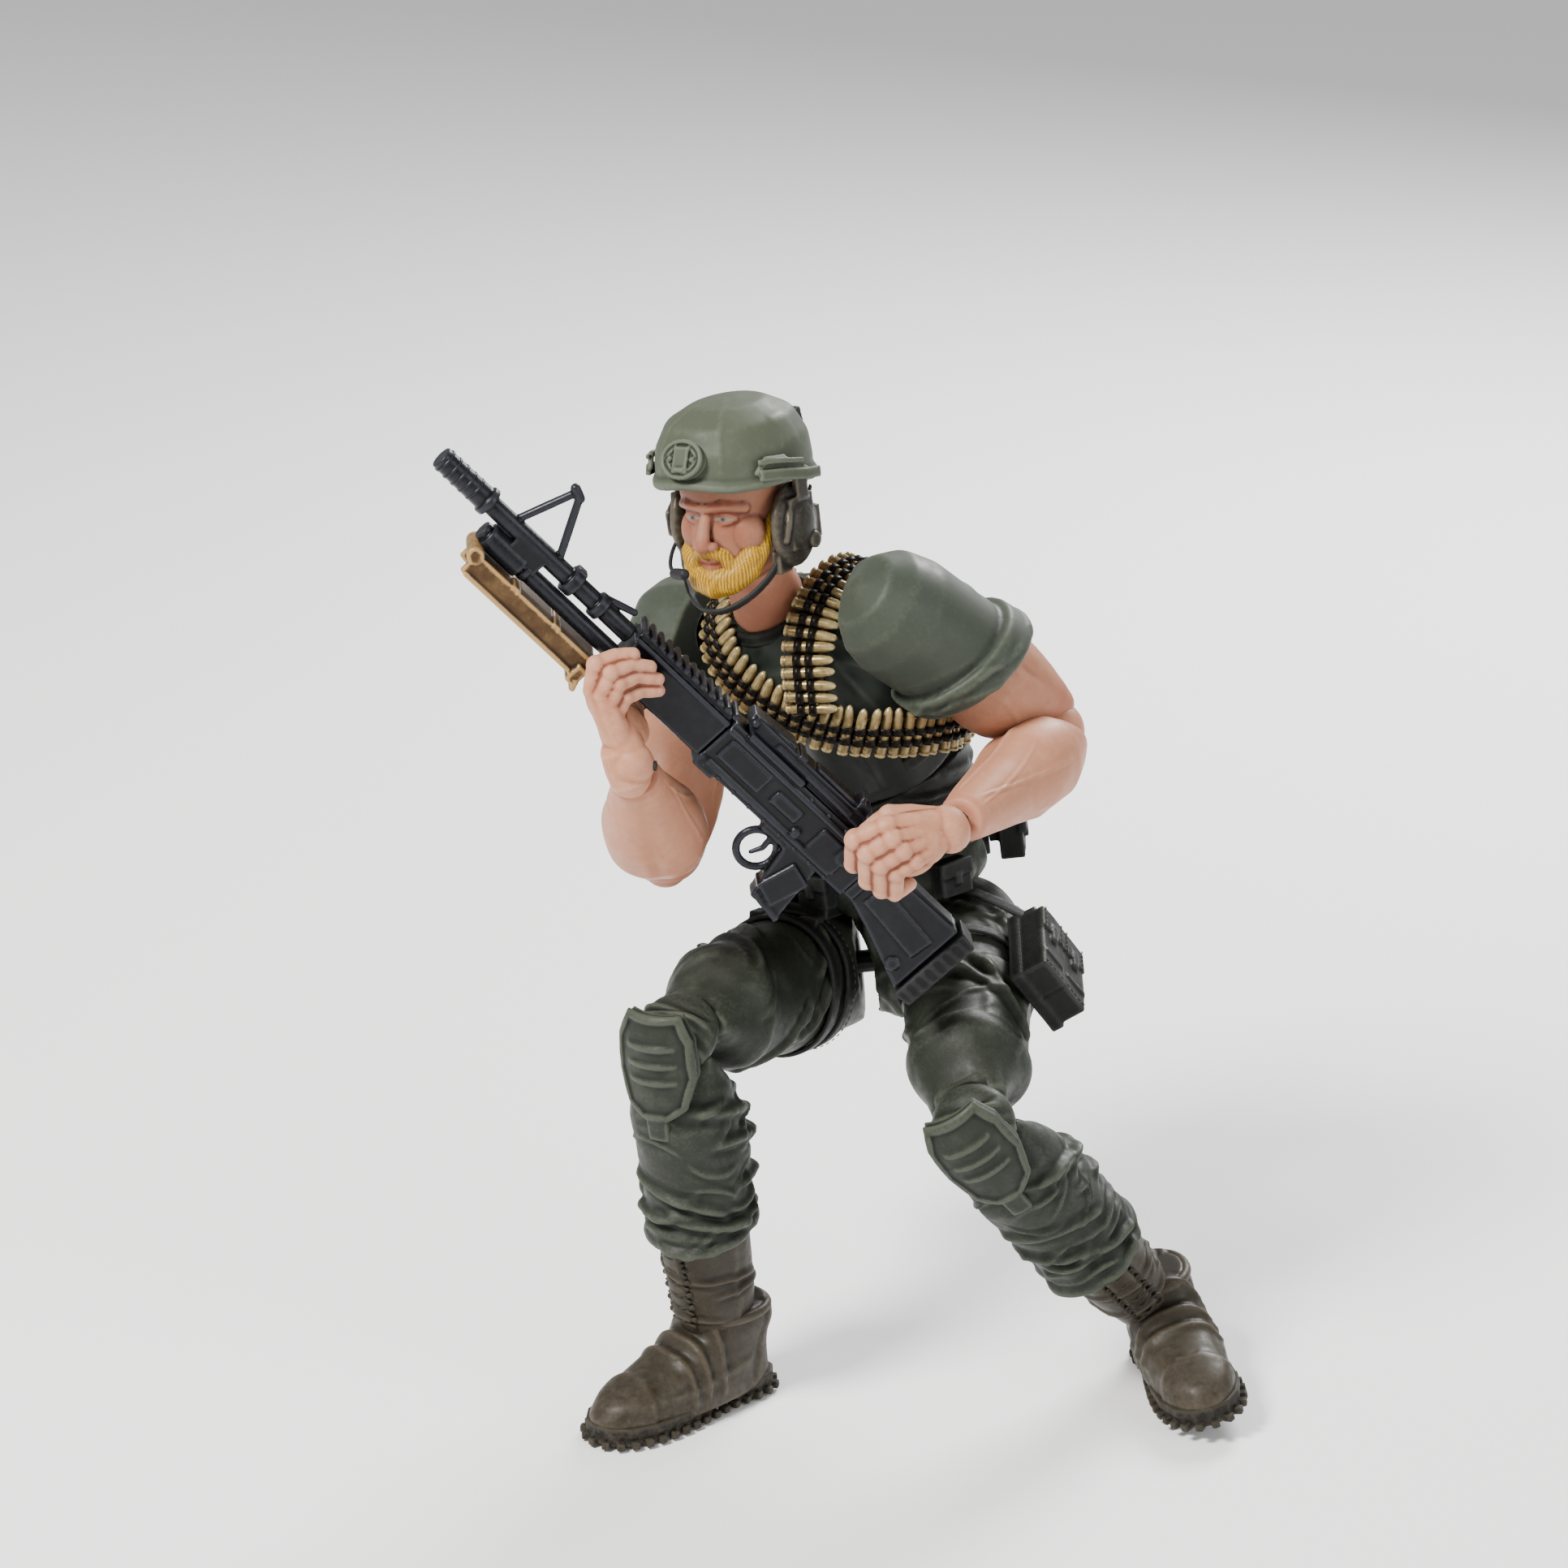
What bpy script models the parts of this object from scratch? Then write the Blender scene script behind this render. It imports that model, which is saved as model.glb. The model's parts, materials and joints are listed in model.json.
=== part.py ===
# A posable 1:12 soldier figure with a machine gun, in metres, Z up, facing -Y.
# Every limb piece is modelled in its own joint frame: the origin is the joint,
# local -Z runs down the limb, local -Y is its front and local X its hinge axis.
import math

import bmesh
import bpy
from mathutils import Matrix, Vector

MM = 0.001
GAP = 0.3          # play between any two pieces, mm
CENTRE = Vector((-5.4, 4.8, 0.0))    # moves the footprint's middle to the origin, mm

# Joint centres of the crouching pose, mm
HIP = {"right": Vector((3.5, 13.8, 44.6)), "left": Vector((19.9, 13.3, 48.2))}
KNEE = {"right": Vector((-13.1, -17.2, 47.0)), "left": Vector((21.3, -18.5, 37.6))}
ANKLE = {"right": Vector((-9.8, -13.8, 9.5)), "left": Vector((41.6, -7.5, 9.69))}
TOE = {"right": Vector((-0.74, -0.67, 0.0)), "left": Vector((0.19, -0.98, 0.0))}
FOOT_UP = {"right": Vector((0.0, 0.0, 1.0)), "left": Vector((-0.26, 0.0, 0.966))}
CHEST_BASE = Vector((9.6, 10.2, 71.9))
CHEST_UP = Vector((-0.466, -0.278, 0.84))
SHOULDER = {"right": Vector((-13.3, 13.4, 86.8)), "left": Vector((11.2, -5.7, 95.8))}
ELBOW = {"right": Vector((-15.9, -9.2, 69.0)), "left": Vector((28.6, 1.0, 79.1))}
WRIST = {"right": Vector((-19.0, -26.8, 85.1)), "left": Vector((16.7, -23.2, 76.2))}
KNUCKLES = {"right": Vector((-19.5, -29.0, 92.5)), "left": Vector((7.3, -26.4, 71.4))}
HEAD = Vector((-6.9, -3.4, 105.5))
HEAD_FRONT = Vector((-0.54, -0.83, -0.12))
HEAD_UP = Vector((-0.17, -0.05, 0.98))
GUN_REAR = Vector((16.6, -16.0, 59.4))
GUN_MUZZLE = Vector((-39.5, -24.4, 118.6))

# Pelvis and torso, mm
PELVIS_TOP = 14.0
HIP_BALL = 3.4
HIP_DOME = 7.6
HIP_INNER = 3.6
SHOULDER_BALL = 2.8
SHOULDER_DOME = 7.3
SHOULDER_INNER = 3.8
ABDOMEN_DOME = 7.4

# Double hinges at the knees and elbows, mm
KNEE_SPAN = 7.4
KNEE_ROUND = 3.5
KNEE_TONGUE = 3.6
ELBOW_SPAN = 5.4
ELBOW_ROUND = 2.5
ELBOW_TONGUE = 2.6
PIN = 0.9

# Feet and hands, mm
SOLE_DROP = 9.5
ROCK_DROP = 3.4
HEM_AT = -21.5

# Head: everything above the neck is drawn at this share and raised this far, mm
HEAD_SHARE = 0.86
HEAD_LIFT = 2.6

# Gun, mm along the bore from the rear of the receiver
GUN_THICK = 4.6
BIPOD_HINGE = 73.0
BIPOD_LENGTH = 19.4

OLIVE = (0.060, 0.068, 0.045)
SHIRT = (0.095, 0.112, 0.092)
HELMET_GREEN = (0.130, 0.145, 0.105)
VEST = (0.030, 0.033, 0.028)
SKIN = (0.620, 0.330, 0.215)
BOOT = (0.075, 0.062, 0.045)
BLACK = (0.018, 0.019, 0.022)
GUN_BLACK = (0.020, 0.021, 0.030)
BROWN = (0.110, 0.062, 0.025)
BRASS = (0.360, 0.230, 0.090)
PEG = (0.050, 0.055, 0.045)


def clear_scene():
    for old in list(bpy.data.objects):
        bpy.data.objects.remove(old, do_unlink=True)


def frame_matrix(origin, down, side):
    up = -down.normalized()
    across = (side - side.dot(up) * up).normalized()
    back = up.cross(across)
    turn = Matrix((across, back, up)).transposed().to_4x4()
    return Matrix.Translation((origin + CENTRE) * MM) @ turn


def facing_matrix(origin, front, up):
    rise = up.normalized()
    across = front.cross(rise)
    return frame_matrix(origin, -rise, -across)


def empty(name, matrix):
    node = bpy.data.objects.new(name, None)
    node.empty_display_size = 3 * MM
    bpy.context.scene.collection.objects.link(node)
    node.matrix_world = matrix
    return node


def material(name, colour, roughness=0.6, metallic=0.0):
    made = bpy.data.materials.new(name)
    made.use_nodes = True
    shader = made.node_tree.nodes["Principled BSDF"]
    shader.inputs["Base Color"].default_value = (*colour, 1.0)
    shader.inputs["Roughness"].default_value = roughness
    shader.inputs["Metallic"].default_value = metallic
    return made


def finish(name, bm, parent, look=None):
    bmesh.ops.recalc_face_normals(bm, faces=bm.faces)
    mesh = bpy.data.meshes.new(name)
    bm.to_mesh(mesh)
    bm.free()
    made = bpy.data.objects.new(name, mesh)
    bpy.context.scene.collection.objects.link(made)
    made.parent = parent
    mesh.shade_smooth()
    mesh.set_sharp_from_angle(angle=math.radians(35))
    if look is None:
        made.hide_render = True
        made.display_type = "WIRE"
    else:
        mesh.materials.append(material(name + "_paint", *look))
    return made


def loft(name, parent, rings, look=None, sides=12, square=2.0):
    # Each ring is (height, half width, half depth) or also (shift x, shift y).
    bm = bmesh.new()
    loops = []
    for ring in rings:
        z, half_x, half_y = ring[:3]
        shift_x, shift_y = ring[3:] if len(ring) > 3 else (0.0, 0.0)
        loop = []
        for i in range(sides):
            angle = math.tau * (i + 0.5) / sides
            c, s = math.cos(angle), math.sin(angle)
            x = math.copysign(abs(c) ** (2 / square), c) * half_x + shift_x
            y = math.copysign(abs(s) ** (2 / square), s) * half_y + shift_y
            loop.append(bm.verts.new((x * MM, y * MM, z * MM)))
        loops.append(loop)
    for upper, lower in zip(loops, loops[1:]):
        for i in range(sides):
            j = (i + 1) % sides
            bm.faces.new((upper[i], upper[j], lower[j], lower[i]))
    bm.faces.new(loops[0])
    bm.faces.new(loops[-1])
    return finish(name, bm, parent, look)


def block(name, parent, size, at=(0, 0, 0), look=None, bevel=0.0, turn=None):
    bm = bmesh.new()
    bmesh.ops.create_cube(bm, size=1.0)
    bmesh.ops.scale(bm, vec=Vector(size) * MM, verts=bm.verts)
    if bevel:
        bmesh.ops.bevel(bm, geom=bm.edges[:], offset=bevel * MM, segments=1, affect="EDGES")
    if turn:
        spin = Matrix.Rotation(math.radians(turn[1]), 4, turn[0])
        bmesh.ops.transform(bm, matrix=spin, verts=bm.verts)
    bmesh.ops.translate(bm, vec=Vector(at) * MM, verts=bm.verts)
    return finish(name, bm, parent, look)


def drum(name, parent, radius, length, at=(0, 0, 0), axis="Z", look=None, sides=12, end=None):
    bm = bmesh.new()
    bmesh.ops.create_cone(bm, cap_ends=True, segments=sides, radius1=radius * MM,
                          radius2=(radius if end is None else end) * MM, depth=length * MM)
    turns = {"X": Matrix.Rotation(math.pi / 2, 4, "Y"), "Y": Matrix.Rotation(-math.pi / 2, 4, "X"),
             "Z": Matrix.Identity(4)}
    bmesh.ops.transform(bm, matrix=turns[axis], verts=bm.verts)
    bmesh.ops.translate(bm, vec=Vector(at) * MM, verts=bm.verts)
    return finish(name, bm, parent, look)


def ball(name, parent, radius, at=(0, 0, 0), look=None, segments=12, rings=8):
    bm = bmesh.new()
    bmesh.ops.create_uvsphere(bm, u_segments=segments, v_segments=rings, radius=radius * MM)
    bmesh.ops.translate(bm, vec=Vector(at) * MM, verts=bm.verts)
    return finish(name, bm, parent, look)


def outline(name, parent, points, thickness, look=None, bevel=0.0):
    # A closed outline in the local X-Z plane, extruded evenly along Y.
    bm = bmesh.new()
    face = bm.faces.new([bm.verts.new((x * MM, -thickness / 2 * MM, z * MM)) for x, z in points])
    grown = bmesh.ops.extrude_face_region(bm, geom=[face])
    moved = [v for v in grown["geom"] if isinstance(v, bmesh.types.BMVert)]
    bmesh.ops.translate(bm, vec=(0, thickness * MM, 0), verts=moved)
    if bevel:
        bmesh.ops.bevel(bm, geom=bm.edges[:], offset=bevel * MM, segments=1, affect="EDGES")
    return finish(name, bm, parent, look)


def strip(name, parent, path, centre, radii, width, thickness, look):
    # A flat band whose outward side faces away from an ellipsoid's centre.
    bm = bmesh.new()
    points = [Vector(p) for p in path]
    loops = []
    for i, point in enumerate(points):
        ahead = (points[min(i + 1, len(points) - 1)] - points[max(i - 1, 0)]).normalized()
        offset = point - Vector(centre)
        out = Vector([o / (r * r) for o, r in zip(offset, radii)]).normalized()
        out = (out - out.dot(ahead) * ahead).normalized()
        across = ahead.cross(out)
        corners = ((-1, 0), (1, 0), (1, 1), (-1, 1))
        loops.append([bm.verts.new((point + across * a * width / 2 + out * b * thickness) * MM)
                      for a, b in corners])
    for first, second in zip(loops, loops[1:]):
        for i in range(4):
            j = (i + 1) % 4
            bm.faces.new((first[i], first[j], second[j], second[i]))
    bm.faces.new(loops[0])
    bm.faces.new(loops[-1])
    return finish(name, bm, parent, look)


def combine(target, tools, operation):
    for tool in tools:
        step = target.modifiers.new(operation.lower(), "BOOLEAN")
        step.operation = operation
        step.solver = "EXACT"
        step.object = tool
    return target


def join(target, *tools):
    return combine(target, tools, "UNION")


def cut(target, *tools):
    return combine(target, tools, "DIFFERENCE")


def hinge_side(upper, middle, lower, bends_back):
    along = (middle - upper).normalized()
    bend = lower - middle
    bend = (bend - bend.dot(along) * along).normalized()
    back = bend if bends_back else -bend
    return back.cross(-along)


def double_hinge(upper, middle, lower, span):
    travel = ((middle - upper).normalized() + (lower - middle).normalized()).normalized()
    return middle - travel * span / 2, middle + travel * span / 2


def link(name, parent, span, radius, width, pin_length, look, cap):
    # The floating piece of a double hinge: a tongue with a cross pin at each end
    # and an outer cap (width, thickness, height, distance along Y) over the open side.
    points = []
    for end, start in ((0.0, 0.0), (-span, 180.0)):
        for step in range(7):
            angle = math.radians(start + 30 * step)
            points.append((math.cos(angle) * radius, end + math.sin(angle) * radius))
    tongue = outline(name, parent, points, width, look)
    turned = Matrix.Rotation(math.pi / 2, 4, "Z")
    tongue.data.transform(turned)
    pins = [drum(f"{name}_pin_{i}", parent, PIN, pin_length, (0, 0, z), "X", None, 8)
            for i, z in enumerate((0.0, -span))]
    wide, thick, tall, away = cap
    side = math.copysign(1.0, away)
    shell = block(f"{name}_cap", parent, (wide, thick, tall), (0, away, -span / 2), None, 0.5)
    bridge = block(f"{name}_bridge", parent, (width, abs(away), tall - 1.6),
                   (0, side * abs(away) / 2, -span / 2))
    return join(tongue, shell, bridge, *pins)


def fork_cut(target, name, parent, z, width, radius, pin_length, upward):
    # The slot and the pin bore that a tongue turns in, at height z.
    reach = 2 * (radius + 6)
    deep = radius + GAP + 0.2
    middle = z + (deep - reach / 2 if upward else reach / 2 - deep)
    slot = block(f"{name}_slot", parent, (width + 2 * GAP, 30, reach), (0, 0, middle))
    bore = drum(f"{name}_bore", parent, PIN + GAP, pin_length + 2 * GAP, (0, 0, z), "X", None, 8)
    return cut(target, slot, bore)


# ---- pelvis and torso ----
def build_pelvis(frames):
    hips = {side: frames["pelvis"].matrix_world.inverted() @ ((HIP[side] + CENTRE) * MM) / MM
            for side in HIP}
    pelvis = loft("pelvis", frames["pelvis"], [
        (PELVIS_TOP, 10.8, 7.9), (11.5, 11.6, 8.3), (9.8, 12.0, 8.6), (6.6, 3.8, 7.2),
        (-3.0, 4.0, 6.4), (-7.0, 3.0, 4.0)], (OLIVE,), 16, 2.3)
    for side, hip in hips.items():
        dome = ball(f"{side}_hip_room", frames["pelvis"], HIP_DOME + 0.9, hip, None, 16, 12)
        bore = drum(f"{side}_hip_bore", frames["pelvis"], 1.4 + GAP, 14, (hip.x * 0.5, hip.y, hip.z), "X")
        cut(pelvis, dome, bore)
    cut(pelvis, drum("waist_bore", frames["pelvis"], 2.4 + GAP, 9, (0, 0, PELVIS_TOP)))
    drum("waist_peg", frames["pelvis"], 2.4, 9.0, (0, 0, PELVIS_TOP + 0.9), look=(PEG,))
    belt = loft("belt", frames["pelvis"], [(13.4, 12.6, 9.7), (10.6, 13.4, 10.0)], (BLACK, 0.5), 16, 2.3)
    cut(belt, loft("belt_room", frames["pelvis"], [(14.0, 11.9, 9.0), (10.0, 12.5, 9.3)], None, 16, 2.3))
    cut(belt, *[ball(f"{side}_belt_room", frames["pelvis"], HIP_DOME + 0.4, hip) for side,
                hip in hips.items()])
    block("back_pouch", frames["pelvis"], (3.6, 6.0, 5.2), (15.6, 4.2, 12.6), (BLACK, 0.55), 0.6)


def build_abdomen(frames):
    # It turns on the pelvis axis, and its rings lean over toward the chest's base.
    place = frames["abdomen"]
    top = place.matrix_world.inverted() @ ((CHEST_BASE + CENTRE) * MM) / MM
    rings = []
    for rise, half_x, half_y in [(4.0, 10.2, 7.8), (-1.8, 10.6, 8.0), (-6.4, 11.2, 8.4),
                                 (0.4 - top.z, 11.6, 8.8)]:
        lean = (top.z + rise) / top.z
        rings.append((top.z + rise, half_x, half_y, top.x * lean, top.y * lean))
    abdomen = loft("abdomen", place, rings, (VEST,), 16, 2.3)
    cut(abdomen, block("chest_room", frames["chest"], (40, 40, 20), (0, 0, 9.7)))
    join(abdomen, ball("abdomen_dome", frames["chest"], ABDOMEN_DOME, (0, 0, 0), None, 16, 12))
    cut(abdomen, drum("abdomen_waist_bore", place, 2.4 + GAP, 11, (0, 0, 0)),
        drum("abdomen_chest_bore", place, 2.0 + GAP, 8, (top.x, top.y, top.z + 3.4)))
    drum("chest_peg", place, 2.0, 7.0, (top.x, top.y, top.z + 3.4), look=(PEG,))


def build_chest(frames):
    place = frames["chest"]
    local = place.matrix_world.inverted()
    chest = loft("chest", place, [
        (27.2, 4.4, 4.4, 0, -1), (26.0, 7.4, 5.8, 0, -0.6), (24.6, 9.8, 7.0), (21.5, 11.2, 8.2),
        (16.0, 11.8, 9.0),
        (10.5, 11.9, 9.4), (5.0, 11.8, 9.0), (1.8, 11.3, 8.5)], (SHIRT,), 16, 2.3)
    cut(chest, ball("chest_dome_room", place, ABDOMEN_DOME + 0.7, (0, 0, 0), None, 16, 12))
    cut(chest, drum("chest_peg_room", place, 3.6, 8.0, (0, 0, 7.5)))
    for side, point in SHOULDER.items():
        sign = 1 if side == "left" else -1
        centre = local @ ((point + CENTRE) * MM) / MM
        inner = sign * (abs(centre.x) - SHOULDER_INNER - 0.4 + 7)
        room = drum(f"{side}_arm_room", place, SHOULDER_DOME + 0.6, 14, (inner, centre.y, centre.z),
                    "X", None, 20)
        bore = drum(f"{side}_shoulder_bore", place, 1.3 + GAP, 16, (sign * 9, centre.y, centre.z), "X")
        cut(chest, room, bore)
    cut(chest, ball("neck_room", place, 3.3, (0, -1.0, 27.4)))


def build_bandoliers(frames):
    place = frames["chest"]
    centre, radii = (0, 0, 12), (13, 10, 14)
    over_left = [(7.6, 9.4, 14.0), (8.0, 8.8, 19.5), (8.0, 6.4, 24.2), (7.8, 1.6, 26.8), (7.4, -3.6, 26.2),
                 (6.8, -7.6, 22.8), (5.6, -10.0, 17.6), (4.2, -11.0, 12.4), (3.2, -11.2, 9.4)]
    strip("bandolier_left", place, over_left, centre, radii, 6.2, 1.5, (BRASS, 0.45, 0.6))
    over_right = [(-6.8, 9.0, 15.0), (-7.4, 8.6, 20.0), (-7.4, 6.0, 24.4), (-7.4, 1.0, 26.8),
                  (-7.4, -4.2, 25.6),
                  (-6.2, -8.4, 21.4), (-4.6, -10.4, 15.4), (-2.6, -11.3, 9.0), (0.6, -11.4, 4.8),
                  (5.2, -10.6, 2.8), (9.4, -8.4, 2.4), (12.0, -5.0, 2.2), (12.8, -1.2, 1.9)]
    strip("bandolier_right", place, over_right, centre, radii, 5.0, 1.5, (BRASS, 0.45, 0.6))


def head_rings(rings):
    # Height, half width and half depth, drawn to the head's share and raised.
    return [(z * HEAD_SHARE + HEAD_LIFT, *(value * HEAD_SHARE for value in rest)) for z, *rest in rings]


def head_block(name, place, size, at, look, bevel, turn=None):
    x, y, z = at
    centre = (x * HEAD_SHARE, y * HEAD_SHARE, z * HEAD_SHARE + HEAD_LIFT)
    return block(name, place, Vector(size) * HEAD_SHARE, centre, look, bevel, turn)


def build_head(frames):
    neck = frames["neck"]
    piece = loft("neck", neck, [(10.6, 2.0, 2.0), (9.0, 3.0, 3.0), (7.0, 3.7, 3.7), (3.4, 4.0, 4.0),
                                (2.2, 2.4, 2.4)], (SKIN, 0.5))
    join(piece, ball("neck_ball", neck, 3.0, (0, 0, 0)))
    place = frames["head"]
    head = loft("head", place, head_rings([
        (12.4, 2.6, 3.0), (11.4, 5.0, 6.0), (8.6, 6.7, 8.2), (4.4, 6.9, 8.6), (0.6, 6.6, 8.2, 0, -0.2),
        (-3.0, 6.2, 6.6, 0, -1.8), (-6.4, 5.0, 5.2, 0, -3.2), (-8.4, 3.2, 3.2, 0, -4.4)]), (SKIN, 0.5),
        14, 2.2)
    cut(head, drum("head_socket", neck, 4.0 + GAP, 10, (0, 0, 6.0)))
    helmet = loft("helmet", place, head_rings([
        (15.2, 2.4, 2.8), (14.6, 5.4, 6.4), (12.6, 8.2, 9.4), (9.4, 9.6, 10.9), (5.6, 10.0, 11.4),
        (2.8, 10.1, 11.5)]), (HELMET_GREEN, 0.65), 16, 2.1)
    room = loft("helmet_room", place, head_rings([
        (13.6, 3.6, 4.4), (12.0, 6.5, 7.7), (9.0, 8.3, 9.5), (5.6, 8.7, 10.0), (1.0, 8.9, 10.2)]),
        None, 16, 2.1)
    cut(helmet, room)
    head_block("helmet_shroud", place, (5.6, 1.2, 4.4), (0, -12.2, 7.6), (HELMET_GREEN, 0.65),
               0.3, ("X", -12))
    head_block("helmet_pack", place, (5.0, 2.0, 4.4), (0, 12.7, 8.6), (BLACK, 0.5), 0.4, ("X", 12))
    for side, sign in (("left", 1), ("right", -1)):
        head_block(f"ear_cup_{side}", place, (2.3, 5.8, 7.6), (sign * 8.5, 0.6, -1.6), (BLACK, 0.4), 0.8)
    strap = [(-7.6, -1.0, -5.8), (-6.6, -3.4, -8.2), (-4.4, -6.0, -10.0), (0.0, -7.4, -10.8),
             (4.4, -6.0, -10.0), (6.6, -3.4, -8.2), (7.6, -1.0, -5.8)]
    strap = [(x * HEAD_SHARE, y * HEAD_SHARE, z * HEAD_SHARE + HEAD_LIFT) for x, y, z in strap]
    strip("chin_strap", place, strap, (0, -3, -1), (7, 7, 7), 1.4, 0.7, (BLACK, 0.6))


# ---- arms ----
def toward_body(tool, hub, sign, distance):
    # Turns a cutting tool's X axis along the hub's peg and moves it toward the body.
    inward = hub.matrix_world.to_3x3() @ Vector((-sign, 0, 0))
    local_in = (tool.parent.matrix_world.to_3x3().inverted() @ inward).normalized()
    turn = local_in.to_track_quat("X", "Z").to_matrix().to_4x4()
    tool.matrix_local = Matrix.Translation(local_in * distance * MM) @ turn
    return tool


def build_arm(side, frames, upper, lower):
    sign = 1 if side == "left" else -1
    hub = frames[f"{side}_shoulder_hub"]
    made = ball(f"{side}_shoulder_hub", hub, SHOULDER_BALL, look=(PEG,))
    join(made, drum(f"{side}_hub_peg", hub, 1.3, 7.5, (-sign * 4.8, 0, 0), "X"),
         drum(f"{side}_hub_pin", hub, PIN, 9.4, (0, 0, 0), "Y", None, 8))
    cap_place = frames[f"{side}_shoulder_cap"]
    cap = loft(f"{side}_shoulder_cap", cap_place, [
        (SHOULDER_DOME, 1.6, 1.6), (6.0, 4.6, 4.6), (3.4, 6.6, 6.6), (0.0, 7.3, 7.3), (-4.0, 7.1, 7.2),
        (-8.4, 6.8, 7.0), (-8.8, 7.6, 7.8), (-12.2, 7.5, 7.7), (-12.6, 6.9, 7.1)], (SHIRT,), 14)
    slab = toward_body(block(f"{side}_cap_side", cap_place, (10, 30, 30)), hub, sign, SHOULDER_INNER + 5)
    peg_room = toward_body(drum(f"{side}_cap_peg_room", cap_place, 3.0, 9.0, (0, 0, 0), "X"), hub, sign, 4.5)
    pin_room = drum(f"{side}_cap_pin_room", hub, PIN + GAP, 10.4, (0, 0, 0), "Y", None, 8)
    twist_bore = drum(f"{side}_twist_bore", cap_place, 1.8 + GAP, 7.0, (0, 0, -10.0))
    cut(cap, slab, ball(f"{side}_cap_room", cap_place, SHOULDER_BALL + GAP), peg_room, pin_room, twist_bore)
    bicep = loft(f"{side}_bicep", cap_place, [
        (-12.9, 5.6, 5.8), (-14.6, 6.0, 6.5), (-17.6, 5.8, 6.3), (-upper + 3.8, 4.6, 4.4),
        (-upper + 1.2, 4.3, 2.9), (-upper, 4.2, ELBOW_ROUND), (-upper - 1.7, 4.0, 1.8),
        (-upper - 2.4, 3.9, 0.5)], (SKIN, 0.5))
    join(bicep, drum(f"{side}_bicep_peg", cap_place, 1.8, 7.0, (0, 0, -10.4)))
    fork_cut(bicep, f"{side}_bicep", cap_place, -upper, ELBOW_TONGUE, ELBOW_ROUND, 5.6, True)
    link(f"{side}_elbow_link", frames[f"{side}_elbow_link"], ELBOW_SPAN, ELBOW_ROUND - 0.2, ELBOW_TONGUE, 5.6,
         (SKIN, 0.5), (6.6, 1.6, 5.2, 3.8))
    arm = frames[f"{side}_forearm"]
    forearm = loft(f"{side}_forearm", arm, [
        (2.4, 3.9, 0.5), (1.7, 4.0, 1.8), (0.0, 4.3, ELBOW_ROUND), (-1.2, 4.6, 3.0), (-3.8, 5.2, 5.0),
        (-8.0, 5.0, 5.2), (-13.0, 4.2, 4.2), (-lower + 4.8, 3.4, 3.2), (-lower + 3.7, 2.8, 2.6)], (SKIN, 0.5))
    fork_cut(forearm, f"{side}_forearm", arm, 0.0, ELBOW_TONGUE, ELBOW_ROUND, 5.6, False)
    cut(forearm, drum(f"{side}_wrist_bore", arm, 1.15 + GAP, 9.0, (0, 0, -lower + 4.0)))
    peg_place = frames[f"{side}_wrist_peg"]
    peg = drum(f"{side}_wrist_peg", peg_place, 1.15, 6.0, (0, 0, 4.4), look=(SKIN, 0.5), sides=10)
    join(peg, block(f"{side}_wrist_tongue", peg_place, (2.2, 2.4, 3.0), (0, 0, 0.1)),
         drum(f"{side}_wrist_pin", peg_place, 0.6, 5.6, (0, 0, 0), "X", None, 8))


def hand_room(name, place, piece):
    cut(piece, block(f"{name}_slot", place, (2.8, 8.0, 5.4), (0, 0, 0.6)),
        drum(f"{name}_pin_room", place, 0.6 + GAP, 6.2, (0, 0, 0), "X", None, 8))


def build_left_fist(frames, gun):
    # A closed fist whose back rests against the near side of the receiver.
    place = frames["left_hand"]
    palm = loft("left_hand", place, [
        (1.9, 1.9, 1.9), (1.0, 2.9, 2.7), (-0.6, 3.5, 3.1), (-3.0, 5.2, 4.0, 0, -0.4),
        (-6.0, 6.0, 4.7, 0, -0.9),
        (-9.2, 5.8, 4.5, 0, -0.9), (-11.2, 4.8, 3.4, 0, -0.9)], (SKIN, 0.5), 12, 2.6)
    cut(palm, block("left_gun_room", gun, (60, 20, 36), (12, -10 + GUN_THICK / 2 + GAP + 0.2, 0)))
    hand_room("left_hand", place, palm)


def build_right_grip(frames, gun):
    # The palm lies below the hand guard, fingers on its near side, thumb on the far side.
    place = frames["right_hand"]
    palm = loft("right_hand", place, [
        (1.9, 1.9, 1.9), (1.0, 2.9, 2.7), (-0.6, 3.4, 3.0), (-3.0, 4.6, 3.6), (-6.4, 5.2, 4.2),
        (-9.4, 5.0, 4.2),
        (-11.0, 4.2, 3.4)], (SKIN, 0.5), 12, 2.6)
    half = GUN_THICK / 2
    fingers = block("right_fingers", gun, (9.6, 3.0, 7.6), (45.6, half + GAP + 1.5, -2.6), None, 0.8)
    thumb = block("right_thumb", gun, (3.6, 2.6, 7.0), (47.6, -half - GAP - 1.3, -3.0), None, 0.7)
    heel = block("right_heel", gun, (9.6, 2 * half + 5.0, 3.4), (45.6, 0.2, -5.6), None, 0.8)
    room = block("right_gun_room", gun, (40, GUN_THICK + 2 * GAP, 12), (45.6, 0, 2.3))
    cut(join(palm, fingers, thumb, heel), room)
    hand_room("right_hand", place, palm)


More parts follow.
